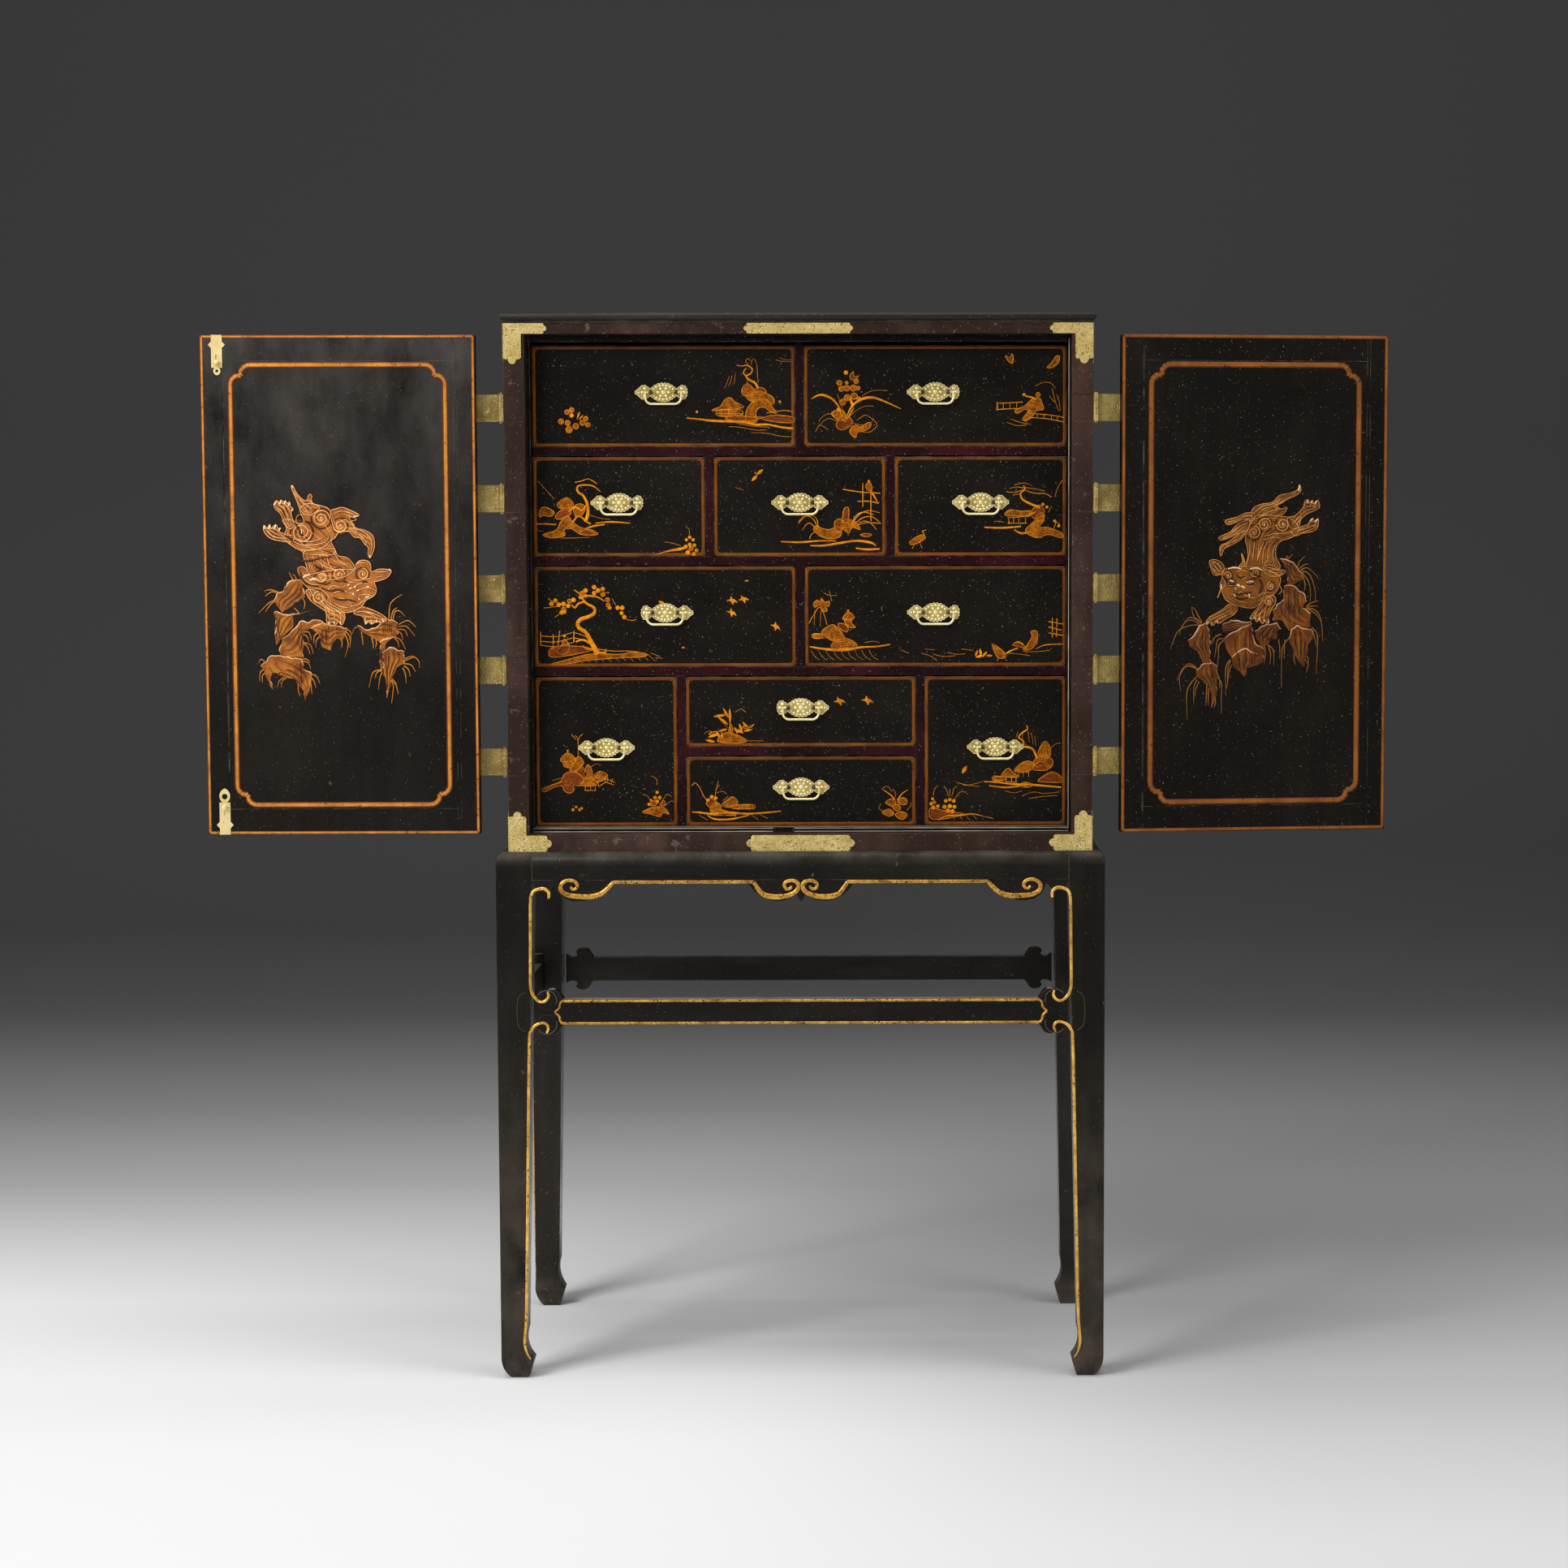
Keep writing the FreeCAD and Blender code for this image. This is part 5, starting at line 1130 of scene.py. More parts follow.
def inside(outline, x, y):
    # Whether a place lies within an outline
    hit = False
    for i, (x1, y1) in enumerate(outline):
        x2, y2 = outline[i - 1]
        if (y1 > y) != (y2 > y) and x < (x2 - x1) * (y - y1) / (y2 - y1) + x1:
            hit = not hit
    return hit


def lionPieces(side):
    # Everything that is raised on the inner face of a door, from the rocks up to the bright points
    word = "left" if side < 0 else "right"
    lion, place, gold = lions[word], doorPlace(side), lionGold[word]
    chance = random.Random(7 + side)
    laid = {part: [onDoor(flat, word) for flat in lion[part]]
            for part in ("body", "rock", "ridge", "shine", "dark", "grass")}
    rocks = [jagged(outline, chance) for outline in laid["rock"]]
    rockRims, rockStreaks, rockLights, grooves, ridges, shine = [], [], [], [], [], []
    for outline in rocks:
        # Painted highlights along the upper edges of the rocks
        rockRims += [(line, [0.9, relief["rim"] * 1.5, relief["rim"] * 1.2, 0.9]) for line in topEdges(outline)]
        rockStreaks += [(line, [0.8, 1.9, 0.8]) for line in flowLines(outline, (0.22, 0.48, 0.74))]
        rockLights += [(line, [0.6, 1.3, 0.6]) for line in flowLines(outline, (0.35, 0.62))]
        xs, ys = [x for x, y in outline], [y for x, y in outline]
        x = min(xs) + 2
        while x < max(xs):
            high = max(ys) - 2 - chance.random() * 10
            low = min(ys) + (high - min(ys)) * chance.uniform(0.0, 0.5)
            if inside(outline, x, high) and inside(outline, x + 1, low):
                bend = chance.uniform(-2, 2)
                streak = ([(x, high), (x + bend, (high + low) / 2), (x + 1, low)], [0.8, 1.7, 0.5])
                (rockLights if chance.random() < 0.22 else rockStreaks).append(streak)
            x += chance.uniform(2.0, 3.8)
    for number, outline in enumerate(laid["body"]):
        # Painted shade: dark grooves along the outlines and beside the ridges
        grooves.append((outline, relief["rim"] + 1.6, True))
        ridges.append((outline, relief["rim"], True))
        if number not in lion["heads"]:
            ridges += [(line, [0.7, relief["strand"], 0.7]) for line in flowLines(outline, (0.25, 0.55, 0.85))]
            grooves += [(line, [0.8, 2.1, 0.8]) for line in flowLines(outline, (0.1, 0.4, 0.7))]
    for line in laid["ridge"]:
        grooves.append((line, [relief["ridge"] + 1.2] * 2))
        ridges.append((line, [relief["ridge"] * 0.8, relief["ridge"], relief["ridge"] * 0.6]))
    for right, down, wide, turns, start, flip in lion["swirl"]:
        x, y = onDoor((right, down), word)[0]
        radius = round(wide * doorViews["rows"]["swirl"] / doorViews[word]["zoom"], 1)
        line = spiral(x, y, radius, turns, start, flip, 20)
        grooves.append((ring(x, y, radius * 1.12, 12), radius * 0.14 + 1.2, True))
        grooves.append((spiral(x, y, radius * 0.86, turns, start, flip, 20), [1.6, 1.6, 1.4, 1.2]))
        ridges.append((line, [2.2, 2.2, 2.0, 1.7]))
        shine.append(([(x - 0.5, y), (x + 0.5, y)], [radius * 0.38] * 2))
    shine += [(line, [2.0, 2.6, 1.4]) for line in laid["shine"]]
    dark = [(line, [2.0, 3.2, 1.6]) for line in laid["dark"]]
    grass = [(line, [relief["grass"], relief["grass"] * 0.9, 0.6]) for line in laid["grass"]]
    top, rockTop = relief["body"] / 2, relief["rock"] / 2
    pieces = [("rocks", shapes("rock", rocks, relief["rock"], 0.4, True), "rock", 0),
              ("rock_streaks", strokes("streaks", rockStreaks, 0.5, 1), "groove", rockTop),
              ("rock_lights", strokes("lights", rockLights, 0.5, 1), "grass", rockTop),
              ("rock_rims", strokes("rims", rockRims, 0.7, 1), "rim", rockTop + 0.1),
              ("grasses", strokes("grass", grass, 0.5, 1), "grass", rockTop),
              ("lion", shapes("body", laid["body"], relief["body"], 0.7, True), "body", 0),
              ("lion_grooves", strokes("grooves", grooves, 0.25, 1), "groove", top),
              ("lion_ridges", strokes("ridges", ridges, 0.9, 2), "ridge", top + 0.1),
              ("lion_lines", strokes("lines", dark, 0.5, 1), "groove", top + 0.9),
              ("lion_shine", strokes("shine", shine, 0.6, 2), "shine", top + 0.8)]
    for name, mesh, finish, lift in pieces:
        mesh.transform(place @ Matrix.Translation((0, 0, lift * mm)))
        addPiece(f"door_{word}_{name}", smoothed(mesh, 50), gold[finish], "door_" + word, "black_lacquer")


def doorSeams(side):
    # Hairlines where the end boards of a door meet its panel
    word, height = "left" if side < 0 else "right", doors["height"]
    first, last = doors["seams"]
    lines = [([(x, 4), (x + 0.5, 250), (x, 520), (x, height - 4)], 0.5) for x in (first, doors["width"] - last)]
    mesh = strokes("seams", lines, 0.15, 0)
    mesh.transform(doorPlace(side))
    addPiece(f"door_{word}_seams", mesh, ebonised, "door_" + word, "black_lacquer")


for side, word in ((-1, "left"), (1, "right")):
    softened(f"door_{word}_panel", "door_" + word, bloomAndSheen if side < 0 else lacquer, "black_lacquer", 0.5, 1)
    doorLines(side)
    lionPieces(side)
for side in (-1, 1):
    doorSeams(side)
print("doors dressed")


drawers = {"border": 4.8, "inset": 3.0, "corner": 5.0, "cornerWidth": 3.2, "rim": 0.9, "round": 3.4}

# The drawings are laid out in one view of the front of the case, x to the right and y down. middle: the
# column of its middle in the row middleRow; lean: how far that shifts in a row; level and height: a row and
# its millimetres above the floor; across and up: pixels in a millimetre; brush: the share of a width drawn.
frontView = {"middle": 984.2, "middleRow": 425.0, "lean": 0.0049, "level": 424.8, "height": 1553.5,
             "across": 0.8245, "up": 0.8237, "brush": 0.9}
# line: width or widths, then points; fill and red: outlines; dot: place and radius; leaf: place, length,
# width, turn; bird: place, size, turn.
drawings = {
    1: {
        "line": [
            ([1.2, 3, 3.2, 2.6, 3], [846, 513, 862, 515, 875, 516, 893, 517, 914, 518, 930, 521, 946, 521, 962,
             525, 977, 526]), (0.5, [898, 524, 912, 525, 930, 528, 944, 528]),
            (0.5, [925, 531, 945, 532, 960, 535, 975, 536]), (0.5, [905, 519, 925, 523, 948, 525]),
            ([3.4, 3, 2.2, 1.8, 1.6, 1.2], [934, 477, 930, 470, 922, 466, 919, 462, 925, 459, 926, 453, 920,
             449, 914, 450, 907, 449]), ([1.8, 1.4], [920, 463, 916, 458, 919, 452]),
            (0.45, [922, 448, 918, 444, 921, 441, 925, 444]),
            (0.45, [925, 448, 928, 441, 932, 448, 933, 462, 934, 470]), (0.45, [921, 466, 920, 474, 919, 482]),
            (0.4, [898, 462, 895, 470, 893, 477]), (0.4, [902, 461, 900, 468, 898, 474]),
            (0.4, [906, 458, 905, 465, 904, 471]), (0.4, [955, 442, 963, 444, 976, 445]),
            (0.4, [960, 440, 968, 442, 977, 442]), (0.8, [944, 507, 955, 506, 966, 504, 977, 506]),
            (0.9, [883, 507, 914, 508]), (0.7, [889, 503, 889, 511]), (0.7, [897, 503, 897, 511]),
            (0.7, [905, 503, 905, 511])],
        "fill": [
            [877, 504, 887, 499, 893, 491, 899, 488, 905, 493, 915, 501],
            [885, 503, 912, 503, 912, 511, 885, 511],
            [919, 516, 919, 505, 924, 497, 931, 491, 944, 490, 951, 500, 956, 507, 949, 506, 942, 501, 935, 501,
             931, 507, 932, 518],
            [920, 485, 926, 480, 938, 481, 946, 484, 952, 488, 954, 494, 950, 497, 940, 489, 929, 493, 921,
             490], [913, 479, 920, 471, 927, 477, 926, 484, 917, 486]],
        "red": [
            [927, 479, 938, 476, 944, 482, 936, 484],
            [893, 514, 905, 510, 925, 512, 940, 512, 925, 516, 905, 516],
            [938, 514, 955, 510, 976, 512, 976, 519, 955, 518]],
        "dot": [
            (704, 503, 3.4), (698, 506, 3.2), (704, 510, 2.6), (691, 517, 3.8), (699, 519, 3.6),
            (701, 527, 4.6), (709, 523, 4), (717, 519, 3.6), (721, 514, 3.2), (724, 521, 3.2), (960, 493, 1.6),
            (858, 506, 1.6)],
        "leaf": [(712, 510, 10, 2, 70), (716, 512, 8, 1.5, 50)],
    },
    2: {
        "line": [
            ([0.6, 2.6, 3.2, 0.6], [1037, 514, 1032, 498, 1022, 488, 1010, 485, 999, 490]),
            ([0.8, 3, 3.4, 2.6, 0.5], [1042, 515, 1049, 500, 1060, 491, 1074, 488, 1090, 493, 1110, 502]),
            (0.5, [1062, 487, 1072, 481, 1082, 479, 1093, 480]),
            (0.5, [1045, 512, 1056, 503, 1066, 499, 1076, 499]), (0.5, [1040, 508, 1034, 492, 1031, 484]),
            (0.5, [1033, 518, 1020, 514, 1008, 523]), (0.5, [1034, 516, 1022, 508, 1012, 512, 1008, 518]),
            (0.5, [1055, 516, 1066, 510, 1076, 516]), (0.5, [1050, 520, 1064, 522, 1074, 518]),
            (0.5, [1060, 530, 1072, 530, 1080, 522, 1074, 514]), (0.45, [1020, 528, 1010, 522, 1004, 530]),
            (1, [1228, 496, 1246, 495, 1260, 494]), (1, [1229, 503, 1246, 502, 1256, 502]),
            (1.6, [1228, 494, 1228, 504]), (0.6, [1236, 496, 1236, 502]), (0.6, [1244, 496, 1244, 502]),
            (0.6, [1252, 495, 1252, 501]), (1, [1268, 508, 1290, 510, 1311, 513]),
            (1, [1268, 513, 1290, 515, 1311, 519]), (0.6, [1278, 509, 1278, 514]),
            (0.6, [1286, 510, 1286, 515]), (0.6, [1295, 511, 1295, 516]), (0.6, [1303, 512, 1303, 517]),
            ([3, 2.4, 1.4], [1276, 491, 1270, 488, 1263, 487]),
            (0.45, [1275, 474, 1285, 470, 1294, 471, 1300, 478]), (0.45, [1296, 478, 1299, 492, 1304, 506]),
            (0.45, [1302, 485, 1305, 495, 1306, 505]), (0.45, [1293, 487, 1299, 495]),
            (0.45, [1245, 515, 1256, 519, 1270, 521]), (0.45, [1240, 519, 1252, 523, 1265, 522])],
        "fill": [
            [1271, 491, 1280, 489, 1284, 496, 1285, 503, 1277, 505, 1271, 512, 1264, 517, 1260, 515, 1266, 506,
             1262, 503, 1253, 508, 1251, 504, 1262, 499],
            [1238, 437, 1243, 440, 1246, 435, 1248, 442, 1246, 447, 1241, 444],
            [1289, 452, 1295, 446, 1301, 438, 1305, 438, 1303, 446, 1296, 452],
            [1024, 508, 1032, 503, 1040, 506, 1042, 514, 1034, 516],
            [1046, 530, 1052, 522, 1060, 524, 1070, 519, 1073, 523, 1066, 529, 1056, 531, 1054, 538]],
        "red": [
            [1047, 461, 1051, 457, 1052, 463, 1057, 462, 1054, 466, 1048, 466],
            [1030, 521, 1035, 514, 1041, 518, 1045, 512, 1050, 518, 1046, 524, 1038, 528, 1032, 526]],
        "dot": [
            (1042, 458, 2.6), (1043, 470, 2.2), (1034, 470, 3.4), (1054, 469, 3.4), (1036, 478, 3.6),
            (1043, 477, 4.2), (1051, 477, 4.4), (1057, 477, 3), (1038, 494, 4.4), (1044, 488, 4.4),
            (1052, 487, 4.6), (1058, 490, 3), (1279, 485, 3), (1261, 485, 1.8), (1028, 508, 3),
            (1033, 503, 2.6)],
        "leaf": [(1049, 494, 14, 3, -75), (1048, 507, 16, 2, 60)],
    },
    3: {
        "line": [
            ([4.6, 4, 3, 2.6, 2, 1.6, 1], [720, 640, 724, 630, 723, 618, 718, 608, 712, 604, 710, 599, 713, 596,
             722, 595, 731, 597, 739, 603]), (0.9, [708, 592, 716, 590, 724, 588, 735, 593]),
            (2.4, [700, 628, 708, 622, 716, 626, 722, 620]), (2.2, [705, 641, 712, 633, 722, 640, 727, 643]),
            (1.6, [660, 643, 672, 643, 684, 644]), ([1.4, 2, 1.4], [733, 642, 752, 640, 776, 642]),
            ([1, 2.6, 1.4], [720, 649, 732, 645, 744, 644]),
            ([0.8, 2, 4, 3], [808, 681, 822, 677, 836, 674, 846, 672]), (0.5, [849, 656, 848, 650, 845, 646]),
            (0.5, [838, 670, 828, 667, 818, 665]), (0.4, [660, 650, 668, 652]),
            (0.45, [662, 590, 672, 602, 682, 612]), (0.5, [726, 632, 740, 636, 752, 637]),
            (0.5, [690, 660, 705, 660, 725, 659])],
        "fill": [
            [686, 618, 697, 611, 705, 617, 702, 623, 690, 624],
            [663, 628, 668, 622, 676, 624, 682, 629, 677, 634, 668, 632, 664, 635],
            [668, 656, 684, 650, 690, 640, 698, 633, 706, 642, 716, 648, 728, 650, 736, 655, 725, 657, 712, 654,
             703, 649, 694, 650, 695, 657, 680, 660], [706, 622, 714, 618, 720, 622, 716, 632, 708, 634]],
        "red": [
            [683, 634, 690, 626, 700, 624, 703, 630, 696, 635, 687, 637],
            [712, 654, 722, 650, 732, 655, 722, 657]],
        "dot": [
            (849, 659, 2.1), (845, 663, 2), (853, 663, 2), (849, 668, 2.4), (855, 669, 2.1), (844, 671, 2.4),
            (851, 673, 3), (857, 676, 2.4), (847, 678, 2.8), (854, 680, 2.4)],
    },
    4: {
        "line": [
            (1.2, [1063, 593, 1063, 607, 1063, 622]), (1.3, [1038, 601, 1060, 604, 1084, 606]),
            (1.3, [1056, 616, 1070, 616, 1083, 618]), (1.2, [1073, 606, 1073, 624, 1073, 640]),
            ([2.6, 2, 1.2], [1073, 603, 1078, 611, 1082, 619]),
            ([1.4, 1.2, 0.8], [1007, 648, 1002, 638, 993, 634, 983, 643]),
            ([1.4, 1, 0.6], [1006, 650, 996, 642, 988, 651]), (0.8, [1006, 652, 1000, 656, 997, 662]),
            (1, [1008, 646, 1006, 638, 1000, 633, 990, 635, 984, 640]),
            ([1.4, 1.2, 0.6], [1050, 643, 1058, 632, 1070, 627, 1084, 630]),
            ([1.4, 1, 0.6], [1051, 645, 1062, 636, 1074, 635, 1084, 641]),
            ([1.2, 0.8], [1052, 647, 1066, 642, 1085, 643]), (1, [1052, 648, 1062, 640, 1072, 642, 1080, 650]),
            (1, [1048, 646, 1054, 634, 1064, 629, 1076, 632]),
            ([1.4, 2.4, 2, 1.4], [962, 665, 985, 666, 1008, 664, 1030, 664]),
            ([1.4, 3, 2.6, 3, 1], [998, 670, 1015, 670, 1036, 667, 1056, 664, 1074, 667, 1079, 671]),
            ([1.4, 3, 2], [1054, 673, 1068, 675, 1084, 674]), (0.5, [1022, 661, 1021, 666]),
            (0.5, [1027, 661, 1027, 666]), (0.5, [1044, 652, 1045, 658]), (0.45, [905, 598, 915, 602])],
        "fill": [
            [1002, 651, 1005, 645, 1012, 649, 1022, 650, 1032, 646, 1037, 652, 1034, 659, 1024, 662, 1012, 659],
            [1037, 641, 1044, 638, 1054, 641, 1060, 650, 1050, 648, 1046, 654, 1039, 650, 1036, 646],
            [1066, 597, 1070, 592, 1074, 596, 1074, 603, 1069, 602]],
        "red": [
            [1028, 642, 1034, 637, 1038, 643, 1037, 652, 1030, 652],
            [1038, 632, 1040, 625, 1045, 623, 1046, 632, 1044, 641, 1038, 640],
            [1060, 657, 1067, 655, 1074, 657, 1067, 659]],
        "dot": [(1070, 591, 1.6)],
        "leaf": [(936, 579, 10, 3.6, 40), (929, 587, 10, 3.6, 45), (931, 581, 5, 1.2, -40)],
    },
    5: {
        "line": [
            (0.9, [1137, 660, 1139, 656, 1136, 653, 1141, 651]), (0.5, [1133, 666, 1136, 673]),
            (0.5, [1128, 667, 1124, 674]), ([1.4, 2.6, 2], [1213, 648, 1235, 649, 1258, 647]),
            ([1.6, 2.8, 2], [1250, 651, 1258, 655, 1268, 654]),
            ([3.2, 2.6, 2, 1.4], [1282, 624, 1270, 619, 1260, 613, 1258, 606, 1263, 602, 1261, 597]),
            (0.9, [1240, 604, 1250, 605, 1261, 602]), (0.9, [1262, 602, 1274, 606, 1288, 607, 1296, 611]),
            (0.6, [1244, 600, 1254, 598, 1264, 600]), (0.6, [1264, 599, 1276, 601, 1288, 603]),
            (0.6, [1248, 608, 1256, 607]), (0.5, [1250, 596, 1262, 593, 1272, 597]),
            (0.8, [1242, 636, 1265, 635]), (0.7, [1243, 636, 1243, 644]), (0.7, [1249, 636, 1249, 644]),
            (0.7, [1256, 636, 1256, 644]), (0.7, [1264, 636, 1264, 643]), (0.8, [1242, 643, 1266, 643]),
            (0.5, [1300, 610, 1304, 598, 1309, 590]), (0.5, [1225, 640, 1237, 641]),
            (0.5, [1292, 630, 1296, 622]), (0.6, [1299, 652, 1302, 642, 1306, 644])],
        "fill": [
            [1238, 631, 1245, 626, 1258, 628, 1271, 628, 1268, 635, 1254, 634, 1242, 634],
            [1264, 651, 1274, 641, 1282, 634, 1287, 639, 1281, 648, 1290, 648, 1300, 651, 1309, 655, 1309, 661,
             1292, 657, 1280, 661, 1268, 657],
            [1121, 666, 1130, 659, 1137, 657, 1140, 661, 1133, 666, 1124, 669],
            [1276, 636, 1283, 630, 1288, 634, 1283, 640]],
        "red": [[1271, 628, 1280, 621, 1287, 627, 1284, 635, 1274, 637]],
        "dot": [(1285, 620, 2), (1290, 623, 1.8), (1300, 640, 1.8), (1305, 646, 1.8)],
        "leaf": [(1270, 632, 16, 3, 25)],
    },
    6: {
        "line": [
            ([8, 6.4, 5, 5, 5, 4.6, 3.6, 3, 2.6, 2, 1.4], [735, 804, 730, 795, 725, 786, 720, 777, 712, 771,
             710, 765, 714, 760, 724, 757, 731, 753, 731, 746, 723, 742, 718, 738, 717, 733, 724, 731, 735, 733,
             743, 738]), ([2.4, 2.6, 1.6], [718, 739, 711, 741, 707, 746, 703, 742]),
            ([2, 1.2], [717, 733, 712, 728, 706, 724]), (0.6, [668, 746, 678, 745, 688, 744]),
            (0.6, [674, 735, 680, 739]), (0.6, [688, 754, 682, 758]), (0.6, [768, 759, 775, 762, 783, 761]),
            (0.6, [753, 735, 757, 743]), (0.6, [742, 728, 750, 727]), (1.4, [664, 776, 664, 792]),
            (0.9, [664, 781, 684, 782, 704, 777]), (0.9, [664, 787, 684, 788, 704, 783]),
            (0.9, [664, 792, 684, 794, 704, 789]), (1.2, [680, 778, 680, 797]), (1.2, [688, 774, 686, 794]),
            (1.4, [705, 775, 705, 789]), (0.9, [705, 777, 716, 780, 726, 786]),
            (0.9, [705, 783, 716, 786, 724, 791]), ([3, 2], [726, 790, 716, 786, 708, 788]),
            ([3, 1.6], [730, 797, 722, 797, 716, 793]), ([3, 1.6], [736, 801, 744, 801, 745, 797]),
            (0.8, [735, 797, 755, 800, 775, 800, 792, 802]), ([0.5, 0.5], [797, 804, 806, 812]),
            (0.5, [800, 802, 812, 806]), (0.5, [806, 808, 815, 809]), (0.45, [700, 809.0, 707, 814.6]),
            (0.45, [709, 808.55, 716, 814.24]), (0.45, [718, 808.1, 725, 813.88]),
            (0.45, [727, 807.65, 734, 813.52]), (0.45, [736, 807.2, 743, 813.16]),
            (0.45, [745, 806.75, 752, 812.8]), (0.45, [754, 806.3, 761, 812.44]),
            (0.45, [763, 805.85, 770, 812.08]), (0.45, [772, 805.4, 779, 811.72]),
            (0.45, [781, 804.95, 788, 811.36]), (0.45, [790, 804.5, 797, 811.0])],
        "fill": [
            [676, 816, 700, 810, 722, 804, 740, 803, 762, 804, 776, 801, 786, 801, 796, 804, 790, 807, 765, 808,
             740, 810, 716, 812, 697, 815], [684, 800, 690, 793, 693, 785, 699, 791, 699, 799, 692, 804]],
        "red": [[676, 797, 690, 793, 720, 795, 727, 799, 710, 803, 690, 806, 676, 806]],
        "dot": [
            (678, 741, 2.8), (683, 737, 2.6), (687, 742, 2.8), (693, 741, 2.8), (700, 738, 3), (705, 736, 2.8),
            (699, 744, 2.6), (693, 748, 3), (694, 751, 2.4), (690, 752, 2.6), (716, 728, 3), (720, 725, 2.8),
            (714, 733, 2.6), (720, 731, 2.4), (731, 721, 2.8), (736, 725, 2.8), (741, 723, 2.8),
            (731, 728, 2.6), (741, 730, 3), (747, 736, 3), (748, 743, 3), (750, 746, 2.4), (760, 746, 2.6),
            (765, 746, 2.8), (765, 753, 2.4), (768, 758, 2.6), (694, 781, 1.8)],
        "leaf": [(814, 740, 8, 3, -20), (841, 796, 4, 2, 0), (919, 713, 5, 1.6, 10)],
        "bird": [(901, 738, 1, 0), (915, 736, 1, 15), (901, 753, 1, -10), (955, 770, 1, -15)],
    },
    7: {
        "line": [
            (0.8, [996, 766, 1002, 756, 1008, 747, 1012, 748, 1016, 758, 1019, 768]),
            (0.5, [1004, 750, 1003, 768]), (0.5, [1011, 750, 1010, 770]),
            ([1.4, 3, 4, 3, 2, 1.6], [997, 795, 1012, 797, 1030, 799, 1048, 798, 1062, 796, 1080, 795, 1097,
             792]), (0.7, [1028, 778, 1028, 787]), (0.7, [1022, 778, 1022, 786]), (0.9, [1001, 779, 1014, 779]),
            (0.9, [1001, 784, 1016, 784]), (0.7, [1003, 779, 1003, 784]),
            (0.5, [1014, 728, 1022, 731, 1032, 731]), (0.5, [1022, 726, 1024, 738]),
            (0.5, [1066, 790, 1076, 788, 1084, 790]), (1.3, [1298, 759, 1298, 784]),
            (1.3, [1304, 760, 1303, 783]), (1.2, [1293, 764, 1312, 768]), (1.2, [1293, 771, 1310, 775]),
            (1.2, [1293, 778, 1312, 782]), ([0.6, 1.4, 0.8], [1278, 798, 1290, 793, 1312, 792]),
            (0.45, [1245, 803, 1258, 805, 1270, 806]), (0.45, [1262, 801, 1280, 801, 1296, 800]),
            (0.45, [1110, 799, 1120, 803]), (0.45, [1136, 803, 1148, 807, 1155, 812]),
            (0.45, [1150, 804, 1162, 807, 1178, 806]), (0.45, [1168, 802, 1180, 805, 1190, 804]),
            (0.45, [1185, 798, 1200, 800]), (0.45, [1140, 798, 1152, 799]), (0.5, [1232, 808, 1230, 813]),
            (0.5, [1238, 809, 1242, 813]), (0.5, [1266, 799, 1266, 804]),
            ([2.4, 1.6, 2.4], [1241, 804, 1248, 800, 1255, 797]),
            ([1.2, 1.6], [1251, 791, 1256, 789, 1262, 792]), (0.4, [999, 799, 1003, 806, 1010, 811]),
            (0.4, [1008, 799, 1012, 806, 1019, 811]), (0.4, [1017, 799, 1021, 806, 1028, 811]),
            (0.4, [1026, 799, 1030, 806, 1037, 811]), (0.4, [1035, 799, 1039, 806, 1046, 811]),
            (0.4, [1044, 799, 1048, 806, 1055, 811]), (0.4, [1053, 799, 1057, 806, 1064, 811]),
            (0.4, [1062, 799, 1066, 806, 1073, 811]), (0.4, [1071, 799, 1075, 806, 1082, 811])],
        "fill": [
            [1038, 759, 1045, 752, 1052, 758, 1050, 761, 1040, 761],
            [1041, 761, 1049, 761, 1049, 766, 1054, 771, 1047, 771, 1042, 766],
            [1012, 777, 1025, 768, 1034, 774, 1041, 784, 1039, 788, 1029, 788, 1020, 785],
            [1024, 794, 1030, 787, 1044, 785, 1056, 792, 1052, 797, 1030, 798],
            [1002, 742, 1006, 737, 1010, 740, 1012, 735, 1016, 740, 1022, 739, 1021, 745, 1016, 744, 1019, 750,
             1013, 751, 1010, 744, 1004, 746], [1230, 808, 1223, 792, 1231, 796, 1240, 804, 1239, 809],
            [1262, 799, 1267, 793, 1273, 783, 1272, 777, 1278, 776, 1280, 786, 1275, 796, 1268, 800],
            [1001, 779, 1012, 779, 1012, 784, 1001, 784]],
        "red": [
            [1033, 767, 1040, 767, 1045, 772, 1043, 777, 1036, 773],
            [1249, 793, 1255, 790, 1262, 793, 1266, 797, 1258, 796]],
        "dot": [(1045, 750, 1.4)],
        "leaf": [
            (1204, 803, 8, 2.6, 70), (1209, 802, 10, 2.8, 100), (1214, 805, 9, 2.8, 50), (1208, 807, 9, 3, 15),
            (1220, 806, 8, 2.6, 0)],
    },
    8: {
        "line": [
            (0.6, [709, 933, 710, 920, 709, 908, 706, 904]), (0.6, [709, 914, 712, 906, 716, 903]),
            (0.6, [708, 909, 704, 906, 702, 903]), (0.8, [717, 967, 731, 967]), (0.7, [719, 967, 719, 973]),
            (0.7, [725, 967, 725, 973]), (0.7, [731, 967, 731, 973]), (0.8, [718, 973, 732, 973]),
            (0.7, [733, 962, 743, 958]), (0.7, [735, 968, 743, 963]), (0.7, [734, 961, 735, 968]),
            (0.7, [743, 957, 743, 963]), (0.9, [743, 958, 756, 963]), (0.7, [747, 956, 746, 963]),
            (0.7, [752, 958, 751, 965]), (0.7, [743, 962, 754, 966]), (0.5, [808, 966, 807, 959, 801, 955]),
            (0.45, [814, 986, 820, 978, 826, 981]), (0.45, [800, 988, 796, 980, 790, 978]),
            (0.45, [818, 992, 826, 986, 832, 990]), (0.5, [725, 944, 732, 940, 738, 941]),
